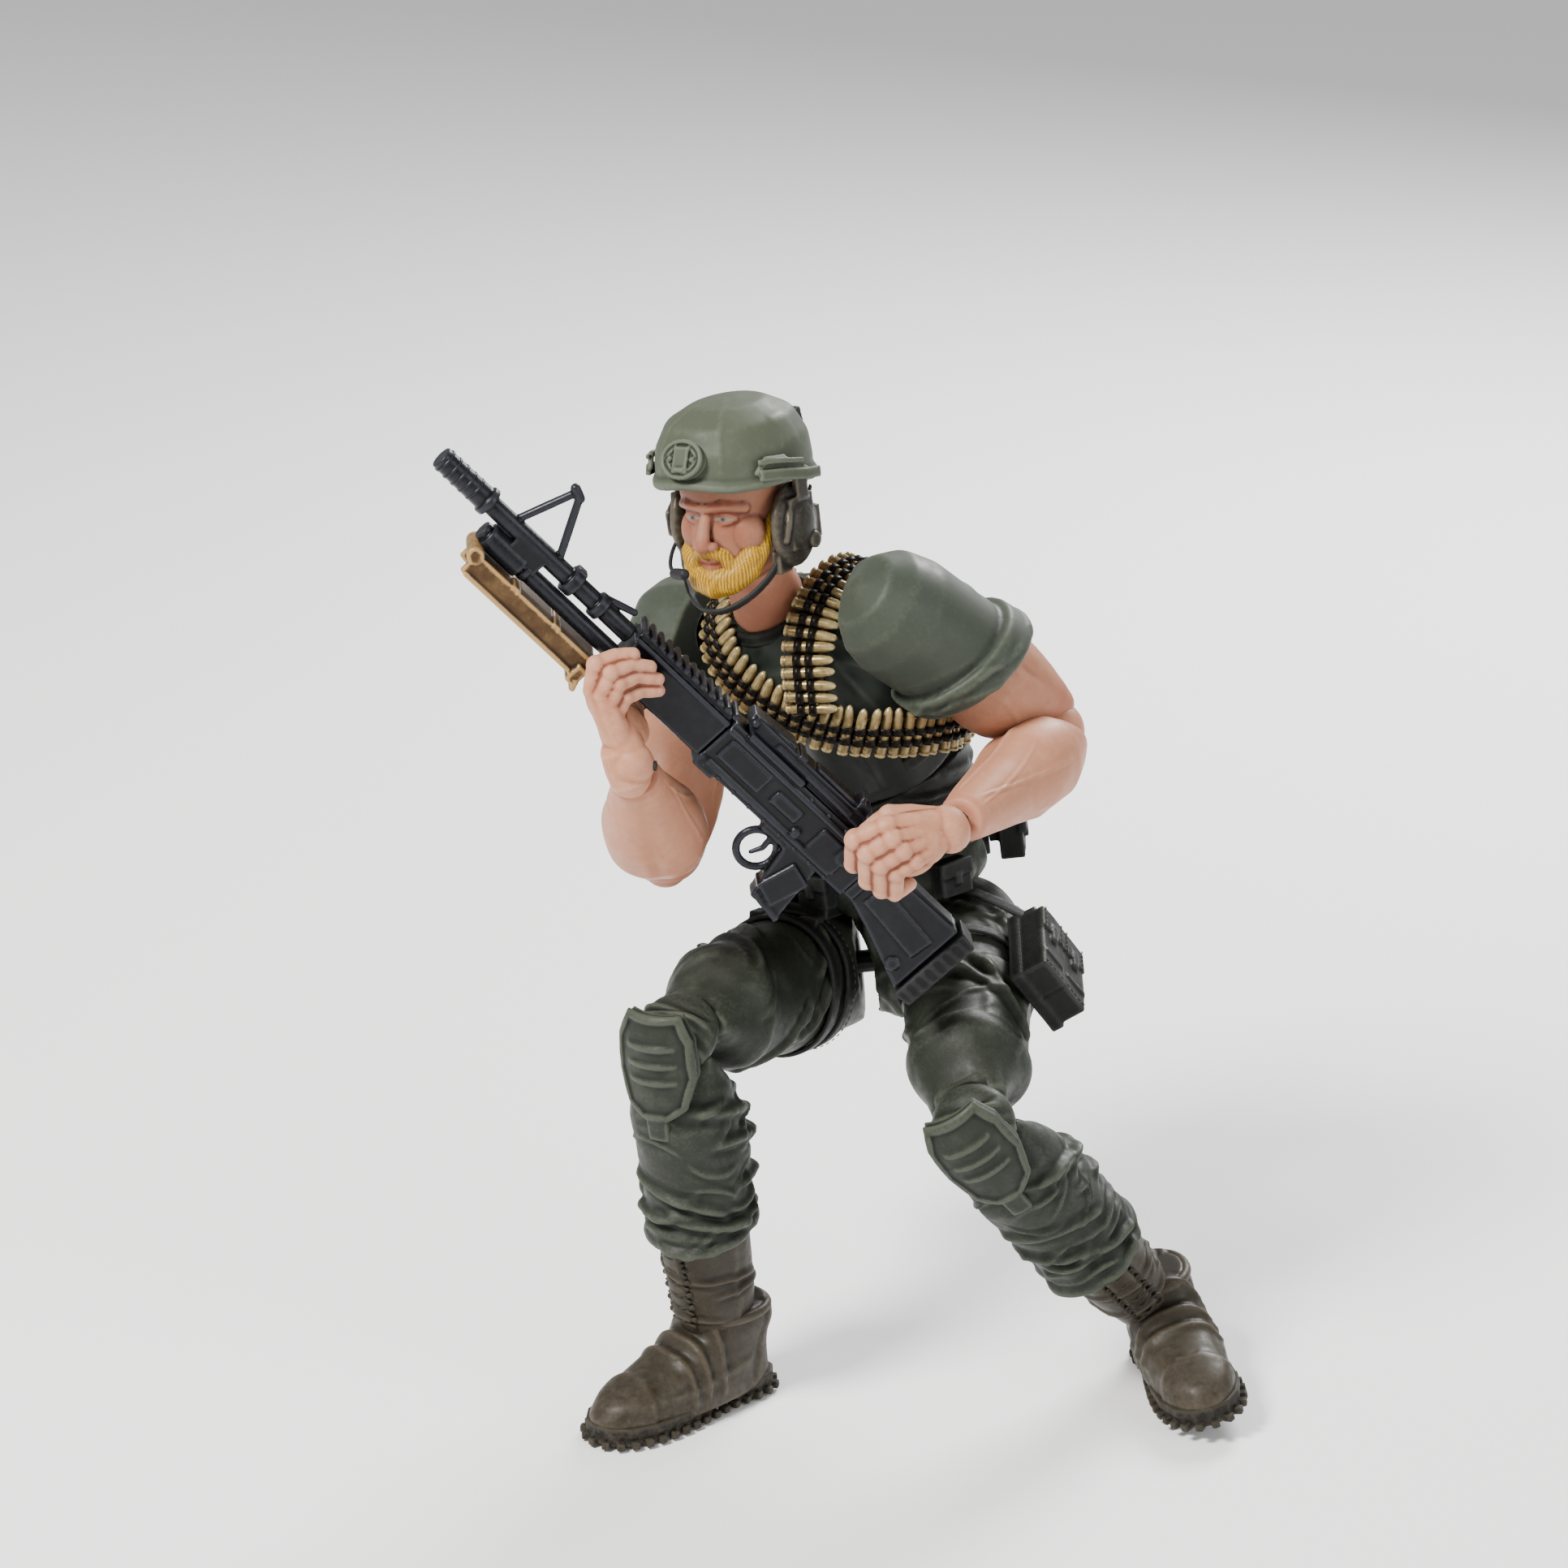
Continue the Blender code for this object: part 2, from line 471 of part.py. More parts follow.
# ---- legs ----
def build_leg(side, frames, upper, lower):
    sign = 1 if side == "left" else -1
    hub = frames[f"{side}_hip_hub"]
    made = ball(f"{side}_hip_hub", hub, HIP_BALL, look=(PEG,))
    join(made, drum(f"{side}_hip_peg", hub, 1.4, 4.6, (-sign * 5.2, 0, 0), "X"),
         drum(f"{side}_hip_pin", hub, PIN, 10.6, (0, 0, 0), "Y", None, 8))
    place = frames[f"{side}_thigh"]
    thigh = loft(f"{side}_thigh", place, [
        (HIP_DOME, 1.6, 1.6), (6.2, 4.8, 4.8), (3.6, 6.8, 6.8), (0.0, 7.5, 7.5), (-7.0, 7.5, 7.6),
        (-15.0, 7.2, 7.8), (-upper + 7.5, 6.6, 7.2), (-upper + 4.4, 6.0, 6.2), (-upper + 1.5, 5.4, 4.0),
        (-upper, 5.2, KNEE_ROUND), (-upper - 2.4, 5.0, 2.5), (-upper - 3.4, 4.8, 0.8)], (OLIVE,), 14, 2.1)
    slab = drum(f"{side}_thigh_side", place, 9.2, 10, (0, 0, 0), "X", None, 20)
    toward_body(slab, hub, sign, HIP_INNER + 5)
    peg_room = toward_body(drum(f"{side}_thigh_peg_room", place, 3.6, 9.0, (0, 0, 0), "X"), hub, sign, 4.5)
    pin_room = drum(f"{side}_thigh_pin_room", hub, PIN + GAP, 11.4, (0, 0, 0), "Y", None, 8)
    cut(thigh, slab, ball(f"{side}_thigh_room", place, HIP_BALL + GAP), peg_room, pin_room)
    fork_cut(thigh, f"{side}_thigh", place, -upper, KNEE_TONGUE, KNEE_ROUND, 7.4, True)
    link(f"{side}_knee_link", frames[f"{side}_knee_link"], KNEE_SPAN, KNEE_ROUND - 0.2, KNEE_TONGUE, 7.4,
         (OLIVE,), (10.0, 2.2, 7.4, -5.1))
    shin_place = frames[f"{side}_shin"]
    shin = loft(f"{side}_shin", shin_place, [
        (3.4, 4.8, 0.8), (2.4, 5.0, 2.5), (0.0, 5.3, KNEE_ROUND), (-1.5, 5.5, 4.0), (-4.4, 6.0, 6.0),
        (-10.0, 6.2, 6.6, 0, 0.7), (-17.0, 6.0, 6.4, 0, 0.4), (HEM_AT + 1.2, 6.2, 6.4), (HEM_AT, 5.2, 5.4)],
        (OLIVE,), 14, 2.1)
    fork_cut(shin, f"{side}_shin", shin_place, 0.0, KNEE_TONGUE, KNEE_ROUND, 7.4, False)
    cut(shin, drum(f"{side}_boot_bore", shin_place, 1.8 + GAP, 12, (0, 0, HEM_AT)))
    loft(f"{side}_knee_pad", shin_place, [
        (0.6, 3.6, 0.9, 0, -5.6), (-2.0, 4.5, 1.2, 0, -6.5), (-5.0, 4.5, 1.2, 0, -7.5),
        (-8.0, 3.2, 0.9, 0, -7.3)], (OLIVE, 0.55), 10, 2.6)
    boot = frames[f"{side}_boot_shaft"]
    shaft_drop = lower + HEM_AT
    shaft = loft(f"{side}_boot_shaft", boot, [
        (-0.4, 5.1, 5.4), (-4.0, 4.6, 5.2), (-shaft_drop + 5.2, 4.3, 5.0), (-shaft_drop + 3.2, 2.9, 3.0),
        (-shaft_drop, 2.8, 2.8), (-shaft_drop - 2.0, 2.4, 2.0)], (BOOT, 0.6), 12, 2.2)
    join(shaft, drum(f"{side}_boot_peg", boot, 1.8, 9.0, (0, 0, 0)))
    cut(shaft, block(f"{side}_shaft_slot", boot, (2.4 + 2 * GAP, 20, 6.0), (0, 0, -shaft_drop - 1.2)),
        drum(f"{side}_shaft_bore", boot, 0.7 + GAP, 5.2, (0, 0, -shaft_drop), "X", None, 8))
    peg_place = frames[f"{side}_ankle_peg"]
    peg = block(f"{side}_ankle_peg", peg_place, (2.4, 2.6, 4.4), (0, 0, -1.2), (BLACK,))
    join(peg, drum(f"{side}_ankle_pin", peg_place, 0.7, 4.6, (0, 0, 0), "X", None, 8),
         drum(f"{side}_ankle_drum", peg_place, 1.5, 5.4, (0, 0, -ROCK_DROP), "Y", None, 10))
    build_foot(side, frames)


def build_foot(side, frames):
    place = frames[f"{side}_foot"]
    foot = loft(f"{side}_foot", place, [
        (2.0, 3.9, 5.0, 0, 1.0), (0.6, 4.4, 5.9, 0, 0.6), (-2.0, 4.5, 8.6, 0, -2.6),
        (-4.6, 4.9, 11.8, 0, -5.4),
        (-SOLE_DROP + 2.2, 5.1, 13.0, 0, -6.0), (-SOLE_DROP, 5.0, 12.8, 0, -6.0)], (BOOT, 0.6), 16, 2.5)
    peg_place = frames[f"{side}_ankle_peg"]
    cut(foot, ball(f"{side}_ankle_room", peg_place, 4.2, (0, 0, 0), None, 14, 10),
        loft(f"{side}_collar_room", peg_place, [(5.0, 5.2, 5.6), (0.0, 4.0, 4.2)], None, 12),
        drum(f"{side}_rock_room", place, 1.5 + GAP, 6.2, (0, 0, -ROCK_DROP), "Y", None, 10),
        block(f"{side}_peg_room", peg_place, (3.6, 3.6, 5.0), (0, 0, -1.0)))


def build_gear(frames):
    right = frames["right_thigh"]
    strap = loft("right_thigh_strap", right, [(-10.0, 8.5, 8.8), (-12.6, 8.4, 8.8)], (BLACK, 0.6), 14, 2.1)
    cut(strap, loft("right_strap_room", right, [(-9.0, 7.8, 8.1), (-13.6, 7.8, 8.2)], None, 14, 2.1))
    block("right_holster", right, (3.2, 6.4, 10.0), (-10.6, 0, -9.0), (BLACK, 0.5), 0.7)
    left = frames["left_thigh"]
    block("left_drop_pouch", left, (4.6, 9.0, 12.0), (10.9, 1.2, -10.0), (OLIVE, 0.6), 0.8)
    band = loft("left_pouch_strap", left, [(-9.4, 8.4, 8.7), (-11.0, 8.3, 8.7)], (BLACK, 0.6), 14, 2.1)
    cut(band, loft("left_strap_room", left, [(-9.0, 7.9, 8.25), (-11.4, 7.8, 8.2)], None, 14, 2.1))


# ---- the gun: local X forward, Y to its left side, Z up ----
def build_gun(gun, bipod):
    t = GUN_THICK
    block("gun_receiver", gun, (24.0, t, 6.6), (26.0, 0, -0.6), (GUN_BLACK, 0.35, 0.3), 0.4)
    barrel = drum("gun_barrel", gun, 1.25, 30.4, (68.6, 0, 1.0), "X", (GUN_BLACK, 0.35, 0.4), 10)
    join(barrel, drum("muzzle", gun, 1.7, 6.0, (81.0, 0, 1.0), "X", None, 10, 1.4),
         block("sight_post", gun, (1.2, 1.0, 6.0), (69.0, 0, 4.4)),
         block("clip_a", gun, (1.6, 2.4, 3.6), (62.6, 0, 1.2)))
    block("gun_handguard", gun, (14.4, t, 6.0), (45.6, 0, -0.4), (GUN_BLACK, 0.4, 0.2), 0.5)
    drum("gun_gas_tube", gun, 1.1, 20.4, (63.6, 0, -1.9), "X", (GUN_BLACK, 0.3, 0.6), 8)
    block("gun_feed_cover", gun, (20.0, t - 0.6, 1.9), (27.6, 0, 4.0), (GUN_BLACK, 0.35, 0.3), 0.4)
    grip = outline("gun_grip", gun, [(17.6, -4.3), (22.9, -4.3), (21.0, -11.8), (16.4, -11.2)], 3.0,
                   (GUN_BLACK, 0.5), 0.5)
    guard = drum("trigger_guard", gun, 2.8, 1.4, (24.2, 0, -7.1), "Y", None, 12)
    join(grip, guard)
    cut(grip, drum("guard_hole", gun, 2.0, 3.4, (24.6, 0, -7.1), "Y", None, 12))
    outline("gun_stock", gun, [(13.6, 2.4), (13.6, -3.6), (0.6, -8.0),
                               (0.6, 2.6)], 4.0, (GUN_BLACK, 0.6), 0.5)
    outline("gun_butt_pad", gun, [(0.3, 3.0), (0.3, -8.5), (-2.4, -8.2), (-2.4, 2.6)], 4.6, (BLACK, 0.8), 0.5)
    legs = block("gun_bipod", bipod, (BIPOD_LENGTH, 5.4, 2.8), (-BIPOD_LENGTH / 2 + 0.5, 0, -0.8),
                 (BROWN, 0.5), 0.5)
    foot = block("bipod_foot", bipod, (1.6, 6.2, 2.4), (-BIPOD_LENGTH + 1.4, 0, -2.2))
    join(legs, foot)


def pelvis_matrix():
    middle = (HIP["left"] + HIP["right"]) / 2
    across = HIP["left"] - HIP["right"]
    return frame_matrix(middle, Vector((0.12, -0.05, -1.0)), across)


def make_frames():
    frames = {"pelvis": empty("pelvis_frame", pelvis_matrix())}
    pelvis = pelvis_matrix()
    waist = pelvis @ Vector((0, 0, PELVIS_TOP * MM)) / MM - CENTRE
    across = pelvis.to_3x3().col[0]
    shoulders = SHOULDER["left"] - SHOULDER["right"]
    frames["abdomen"] = empty("abdomen_frame", frame_matrix(waist, -pelvis.to_3x3().col[2], across))
    chest = frame_matrix(CHEST_BASE, -CHEST_UP, shoulders)
    frames["chest"] = empty("chest_frame", chest)
    throat = chest @ (Vector((0, -1.0, 27.4)) * MM) / MM - CENTRE
    neck_side = HEAD_UP.cross(-HEAD_FRONT).normalized()
    frames["neck"] = empty("neck_frame", frame_matrix(throat, throat - HEAD, neck_side))
    frames["head"] = empty("head_frame", facing_matrix(HEAD, HEAD_FRONT, HEAD_UP))
    for side in ("right", "left"):
        add_leg_frames(side, frames, across)
        add_arm_frames(side, frames, chest.to_3x3().col[0])
    return frames


def hub_matrix(centre, swing_axis, limb_down):
    lift = swing_axis.cross(limb_down).normalized()
    up = swing_axis.cross(lift)
    return frame_matrix(centre, -up, swing_axis)


def add_leg_frames(side, frames, swing_axis):
    hinge = hinge_side(HIP[side], KNEE[side], ANKLE[side], True)
    top, bottom = double_hinge(HIP[side], KNEE[side], ANKLE[side], KNEE_SPAN)
    hub = hub_matrix(HIP[side], swing_axis, top - HIP[side])
    frames[f"{side}_hip_hub"] = empty(f"{side}_hip_frame", hub)
    frames[f"{side}_thigh"] = empty(f"{side}_thigh_frame", frame_matrix(HIP[side], top - HIP[side], hinge))
    frames[f"{side}_knee_link"] = empty(f"{side}_knee_frame", frame_matrix(top, bottom - top, hinge))
    shin = frame_matrix(bottom, ANKLE[side] - bottom, hinge)
    frames[f"{side}_shin"] = empty(f"{side}_shin_frame", shin)
    hem = shin @ Vector((0, 0, HEM_AT * MM)) / MM - CENTRE
    foot = facing_matrix(ANKLE[side], TOE[side], FOOT_UP[side])
    back = foot.to_3x3().col[1]
    pitch = back.cross(hem - ANKLE[side]).normalized()
    peg_up = pitch.cross(back)
    shift = (foot.to_3x3().col[2] - peg_up) * ROCK_DROP
    frames[f"{side}_boot_shaft"] = empty(f"{side}_boot_frame", frame_matrix(hem, ANKLE[side] - hem, pitch))
    frames[f"{side}_ankle_peg"] = empty(f"{side}_ankle_frame", frame_matrix(ANKLE[side], -peg_up, pitch))
    sole = facing_matrix(ANKLE[side] + shift, TOE[side], FOOT_UP[side])
    frames[f"{side}_foot"] = empty(f"{side}_foot_frame", sole)


def add_arm_frames(side, frames, swing_axis):
    hinge = hinge_side(SHOULDER[side], ELBOW[side], WRIST[side], False)
    top, bottom = double_hinge(SHOULDER[side], ELBOW[side], WRIST[side], ELBOW_SPAN)
    start = SHOULDER[side]
    frames[f"{side}_shoulder_hub"] = empty(f"{side}_shoulder_frame", hub_matrix(start, swing_axis,
                                                                                top - start))
    frames[f"{side}_shoulder_cap"] = empty(f"{side}_upper_arm_frame", frame_matrix(start, top - start, hinge))
    frames[f"{side}_elbow_link"] = empty(f"{side}_elbow_frame", frame_matrix(top, bottom - top, hinge))
    frames[f"{side}_forearm"] = empty(f"{side}_forearm_frame", frame_matrix(bottom,
                                                                            WRIST[side] - bottom, hinge))
    reach = KNUCKLES[side] - WRIST[side]
    flex = reach.cross(WRIST[side] - bottom).normalized()
    flex = flex if flex.dot(hinge) > 0 else -flex
    frames[f"{side}_wrist_peg"] = empty(f"{side}_wrist_frame", frame_matrix(WRIST[side],
                                                                            WRIST[side] - bottom, flex))
    frames[f"{side}_hand"] = empty(f"{side}_hand_frame", frame_matrix(WRIST[side], reach, flex))


def gun_matrix():
    ahead = (GUN_MUZZLE - GUN_REAR).normalized()
    near = Vector((0, -1, 0))
    near = (near - near.dot(ahead) * ahead).normalized()
    turn = Matrix((ahead, near, ahead.cross(near))).transposed().to_4x4()
    return Matrix.Translation((GUN_REAR + CENTRE) * MM) @ turn


def build_all():
    clear_scene()
    frames = make_frames()
    build_pelvis(frames)
    build_abdomen(frames)
    build_chest(frames)
    build_bandoliers(frames)
    build_head(frames)
    gun = empty("gun_frame", gun_matrix())
    bipod = empty("bipod_frame", gun_matrix() @ Matrix.Translation(Vector((BIPOD_HINGE, 0, -4.0)) * MM))
    for side in ("right", "left"):
        top, bottom = double_hinge(SHOULDER[side], ELBOW[side], WRIST[side], ELBOW_SPAN)
        build_arm(side, frames, (top - SHOULDER[side]).length, (WRIST[side] - bottom).length)
        top, bottom = double_hinge(HIP[side], KNEE[side], ANKLE[side], KNEE_SPAN)
        build_leg(side, frames, (top - HIP[side]).length, (ANKLE[side] - bottom).length)
    build_left_fist(frames, gun)
    build_right_grip(frames, gun)
    build_gear(frames)
    build_gun(gun, bipod)


build_all()
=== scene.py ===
# A posable soldier figure at 1:12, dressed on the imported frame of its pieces.
# Shapes are worked in millimetres in each piece's own joint frame: local -Z runs
# down the limb, local -Y is its front and local X its hinge axis.
import json
import math

import bpy
import numpy as np
from mathutils import Matrix, Vector


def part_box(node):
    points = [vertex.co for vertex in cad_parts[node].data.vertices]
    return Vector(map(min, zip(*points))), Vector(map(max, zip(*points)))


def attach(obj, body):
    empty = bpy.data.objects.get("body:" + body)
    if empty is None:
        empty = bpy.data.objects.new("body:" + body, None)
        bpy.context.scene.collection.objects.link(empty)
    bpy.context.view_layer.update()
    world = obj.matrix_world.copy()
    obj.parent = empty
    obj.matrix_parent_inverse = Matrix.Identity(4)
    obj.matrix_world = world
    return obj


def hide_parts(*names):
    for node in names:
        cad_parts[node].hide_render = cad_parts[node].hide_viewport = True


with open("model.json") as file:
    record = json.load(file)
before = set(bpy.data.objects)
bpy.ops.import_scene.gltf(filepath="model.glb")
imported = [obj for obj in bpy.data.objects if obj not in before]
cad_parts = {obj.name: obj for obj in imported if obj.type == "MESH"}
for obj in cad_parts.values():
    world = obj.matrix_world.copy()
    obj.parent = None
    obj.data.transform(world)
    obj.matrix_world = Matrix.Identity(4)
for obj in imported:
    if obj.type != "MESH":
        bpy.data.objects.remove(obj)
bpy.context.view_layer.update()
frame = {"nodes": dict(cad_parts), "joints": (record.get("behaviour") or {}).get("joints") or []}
mm = 0.001
joints = {joint["name"]: joint for joint in frame["joints"]}
handReach = {"left": Vector((-9.4, -3.2, -4.8)), "right": Vector((-0.5, -2.2, 7.4))}    # wrist to knuckles


def jointAt(name):
    return Vector(joints[name]["pos_m"]) / mm


def jointAxis(name):
    return Vector(joints[name]["axis"]).normalized()


def middleOf(node):
    low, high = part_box(node)
    return (low + high) / 2 / mm


def frameAt(origin, side, up):
    # The up axis is exact, and the side axis is squared to it.
    z = up.normalized()
    x = (side - side.dot(z) * z).normalized()
    made = Matrix((x, z.cross(x), z)).transposed().to_4x4()
    made.translation = origin
    return made


# ---- joint frames of every piece ----
headShare, headLift, headTip = 0.86, 2.4, -7.0


def torsoFrames():
    hips = {side: jointAt(f"{side}_hip_swing") for side in ("left", "right")}
    across = jointAxis("right_hip_swing")
    up = jointAxis("waist_turn")
    made = {"pelvis": frameAt((hips["left"] + hips["right"]) / 2, across, up)}
    made["abdomen"] = frameAt(jointAt("waist_turn"), across, up)
    base, side, throat = jointAt("chest_tilt"), jointAxis("chest_tilt"), jointAt("neck_nod")
    rise = (throat - base).normalized()
    lean = math.atan2(1.0, 27.4)    # the throat sits 1 mm ahead of the chest axis
    made["chest"] = frameAt(base, side, math.cos(lean) * rise + math.sin(lean) * rise.cross(side))
    made["neck"] = frameAt(throat, jointAxis("neck_nod"), jointAxis("head_turn"))
    ears = (middleOf("ear_cup_left") - middleOf("ear_cup_right")).normalized()
    back = (middleOf("helmet_pack") - middleOf("helmet_shroud")).normalized()
    tip = math.atan2(1.0, 24.9)     # the rear box sits 1 mm above the front mount
    upright = frameAt(jointAt("head_turn"), ears, math.cos(tip) * ears.cross(back) + math.sin(tip) * back)
    tipped = upright @ Matrix.Rotation(math.radians(headTip), 4, "X")
    made["head"] = tipped @ Matrix.Translation((0, 0, headLift)) @ Matrix.Scale(headShare, 4)
    return made


def limbFrames(side, made):
    sign = 1 if side == "left" else -1
    swing, raised = f"{side}_shoulder_swing", f"{side}_shoulder_raise"
    hubUp = jointAxis(swing).cross(jointAxis(raised))
    made[f"{side}_shoulder_hub"] = frameAt(jointAt(swing), -jointAxis(swing), hubUp)
    upper, lower = jointAt(f"{side}_elbow_upper"), jointAt(f"{side}_elbow_lower")
    hinge, wrist = jointAxis(f"{side}_elbow_upper"), jointAt(f"{side}_wrist_turn")
    made[f"{side}_arm"] = frameAt(jointAt(swing), hinge, jointAt(swing) - upper)
    made[f"{side}_elbow"] = frameAt(upper, hinge, upper - lower)
    made[f"{side}_forearm"] = frameAt(lower, hinge, lower - wrist)
    bend = jointAxis(f"{side}_wrist_bend")
    made[f"{side}_wrist"] = frameAt(wrist, bend, lower - wrist)
    made[f"{side}_hand"] = frameAt(wrist, bend, -handReach[side])
    hip, spread = jointAt(f"{side}_hip_swing"), jointAxis(f"{side}_hip_spread")
    made[f"{side}_hip_hub"] = frameAt(hip, jointAxis(f"{side}_hip_swing"),
        jointAxis(f"{side}_hip_swing").cross(spread))
    upper, lower = jointAt(f"{side}_knee_upper"), jointAt(f"{side}_knee_lower")
    hinge, ankle = jointAxis(f"{side}_knee_upper"), jointAt(f"{side}_ankle_pitch")
    made[f"{side}_thigh"] = frameAt(hip, hinge, hip - upper)
    made[f"{side}_knee"] = frameAt(upper, hinge, upper - lower)
    made[f"{side}_shin"] = frameAt(lower, hinge, lower - ankle)
    hem, pitch = jointAt(f"{side}_boot_turn"), jointAxis(f"{side}_ankle_pitch")
    made[f"{side}_boot"] = frameAt(hem, pitch, hem - ankle)
    rock = jointAxis(f"{side}_ankle_rock")
    made[f"{side}_ankle"] = frameAt(ankle, pitch, pitch.cross(rock))
    tilt = 0.0 if side == "right" else -0.26
    footUp = Vector((tilt, 0, 0.966 if tilt else 1.0)).normalized()
    footUp = (footUp - footUp.dot(rock) * rock).normalized()
    made[f"{side}_foot"] = frameAt(jointAt(f"{side}_ankle_rock") + 3.4 * footUp, rock.cross(footUp), footUp)
    return sign


def gunFrame():
    ahead = (middleOf("gun_handguard") - middleOf("gun_receiver")).normalized()
    tip = math.atan2(0.2, 19.6)
    left = jointAxis("bipod_fold")
    ahead = (math.cos(tip) * ahead - math.sin(tip) * ahead.cross(left)).normalized()
    up = ahead.cross(left)
    made = Matrix((ahead, left, up)).transposed().to_4x4()
    made.translation = jointAt("bipod_fold") - 73.0 * ahead + 4.0 * up
    return made


frames = torsoFrames()
for limbSide in ("left", "right"):
    limbFrames(limbSide, frames)
frames["gun"] = gunFrame()
frames["bipod"] = frames["gun"] @ Matrix.Translation((73.0, 0, -4.0))


# ---- mesh making ----
def placedObject(name, data):
    made = bpy.data.objects.new(name, data)
    bpy.context.scene.collection.objects.link(made)
    return made


def tube(rings, sides=96, gap=0.3, square=2.2, relief=None, soft=0.8):
    # A closed limb form: rows of height, half width, half depth, shift x, shift y.
    rows = np.array([list(ring) + [0.0] * (5 - len(ring)) for ring in rings], float)
    travel = np.r_[0, np.cumsum(np.hypot(np.diff(rows[:, 0]), np.diff(rows[:, 1])))]
    count = max(8, int(travel[-1] / gap))
    at = np.linspace(0, travel[-1], count)
    dense = np.stack([np.interp(at, travel, rows[:, k]) for k in range(5)], 1)
    reach = max(1, int(soft / (travel[-1] / count)))
    kernel = np.hanning(2 * reach + 3)[1:-1]
    kernel /= kernel.sum()
    padded = np.concatenate([2 * dense[:1] - dense[reach:0:-1], dense,
        2 * dense[-1:] - dense[-2:-reach - 2:-1]])
    dense = np.stack([np.convolve(padded[:, k], kernel, "valid") for k in range(5)], 1)
    angle = np.linspace(0, math.tau, sides, endpoint=False)
    s, c = np.sin(angle), -np.cos(angle)
    wide = np.sign(s) * np.abs(s) ** (2 / square)
    deep = np.sign(c) * np.abs(c) ** (2 / square)
    z, hx, hy, dx, dy = (dense[:, k:k + 1] for k in range(5))
    body = np.stack([wide * hx + dx, deep * hy + dy, z + 0 * wide], 2)
    caps = [np.stack([body[0, :, 0] * k + (1 - k) * dx[0], body[0, :, 1] * k + (1 - k) * dy[0],
        body[0, :, 2]], 1) for k in (0.35, 0.7)]
    ends = [np.stack([body[-1, :, 0] * k + (1 - k) * dx[-1], body[-1, :, 1] * k + (1 - k) * dy[-1],
        body[-1, :, 2]], 1) for k in (0.7, 0.35)]
    grid = np.concatenate([np.array(caps), body, np.array(ends)])
    rowsCount = len(grid)
    verts = np.concatenate([grid.reshape(-1, 3), [[dx[0, 0], dy[0, 0], z[0, 0]],
        [dx[-1, 0], dy[-1, 0], z[-1, 0]]]])
    i, j = np.meshgrid(np.arange(rowsCount - 1), np.arange(sides), indexing="ij")
    k = (j + 1) % sides
    quads = np.stack([i * sides + j, (i + 1) * sides + j, (i + 1) * sides + k, i * sides + k],
        2).reshape(-1, 4)
    top, bottom = rowsCount * sides, rowsCount * sides + 1
    faces = quads.tolist()
    faces += [[top, j, (j + 1) % sides] for j in range(sides)]
    last = (rowsCount - 1) * sides
    faces += [[bottom, last + (j + 1) % sides, last + j] for j in range(sides)]
    if relief is not None:
        turn = np.degrees(np.arctan2(verts[:, 0], -verts[:, 1]))
        normals = pointNormals(verts, faces)
        verts = verts + normals * relief(turn, verts[:, 2], verts)[:, None]
    return verts, faces


def triangles(faces):
    out = [(f[0], f[k], f[k + 1]) for f in faces for k in range(1, len(f) - 1)]
    return np.array(out, int)


def pointNormals(verts, faces):
    tris = triangles(faces)
    a, b, c = (verts[tris[:, k]] for k in range(3))
    across = np.cross(b - a, c - a)
    total = np.zeros_like(verts)
    for k in range(3):
        np.add.at(total, tris[:, k], across)
    return total / np.maximum(np.linalg.norm(total, axis=1), 1e-12)[:, None]


def neighbours(faces):
    tris = triangles(faces)
    pairs = np.concatenate([tris[:, [0, 1]], tris[:, [1, 2]], tris[:, [2, 0]]])
    return np.concatenate([pairs, pairs[:, ::-1]])


def relax(verts, faces, turns=3, hold=0.0):
    pairs = neighbours(faces)
    count = np.bincount(pairs[:, 0], minlength=len(verts)).clip(1)[:, None]
    for turn in range(turns):
        total = np.zeros_like(verts)
        for k in range(3):
            total[:, k] = np.bincount(pairs[:, 0], verts[pairs[:, 1], k], len(verts))
        step = 0.6 if hold == 0.0 or turn % 2 == 0 else -hold
        verts = verts + step * (total / count - verts)
    return verts


def hollows(verts, faces, reach=0.55):
    # Curvature at each point: above zero on ridges, below zero in creases.
    pairs = neighbours(faces)
    count = np.bincount(pairs[:, 0], minlength=len(verts)).clip(1)
    normals = pointNormals(verts, faces)
    lead = verts[pairs[:, 1]] - verts[pairs[:, 0]]
    length = np.maximum((lead ** 2).sum(1), 1e-9)
    bend = -(lead * normals[pairs[:, 0]]).sum(1) * 2 / length
    value = np.bincount(pairs[:, 0], bend, len(verts)) / count
    for _ in range(4):
        value = 0.5 * value + 0.5 * np.bincount(pairs[:, 0], value[pairs[:, 1]], len(verts)) / count
    return np.clip(value * reach, -1, 1)


def ball(centre, radii, turn=None, seg=28):
    radii = (radii,) * 3 if np.isscalar(radii) else radii
    rows = [(math.cos(a), math.sin(a), math.sin(a)) for a in np.linspace(0.0, math.pi, seg // 2 + 1)]
    verts, faces = [], []
    for z, r, _ in rows[1:-1]:
        for j in range(seg):
            b = math.tau * j / seg
            verts.append((r * math.cos(b) * radii[0], r * math.sin(b) * radii[1], z * radii[2]))
    n = len(rows) - 2
    for i in range(n - 1):
        for j in range(seg):
            k = (j + 1) % seg
            faces.append([i * seg + j, (i + 1) * seg + j, (i + 1) * seg + k, i * seg + k])
    verts += [(0, 0, radii[2]), (0, 0, -radii[2])]
    top, low, last = n * seg, n * seg + 1, (n - 1) * seg
    faces += [[top, j, (j + 1) % seg] for j in range(seg)]
    faces += [[low, last + (j + 1) % seg, last + j] for j in range(seg)]
    verts = np.array(verts, float)
    if turn is not None:
        verts = verts @ np.array(turn.to_3x3()).T
    return verts + np.array(centre, float), faces


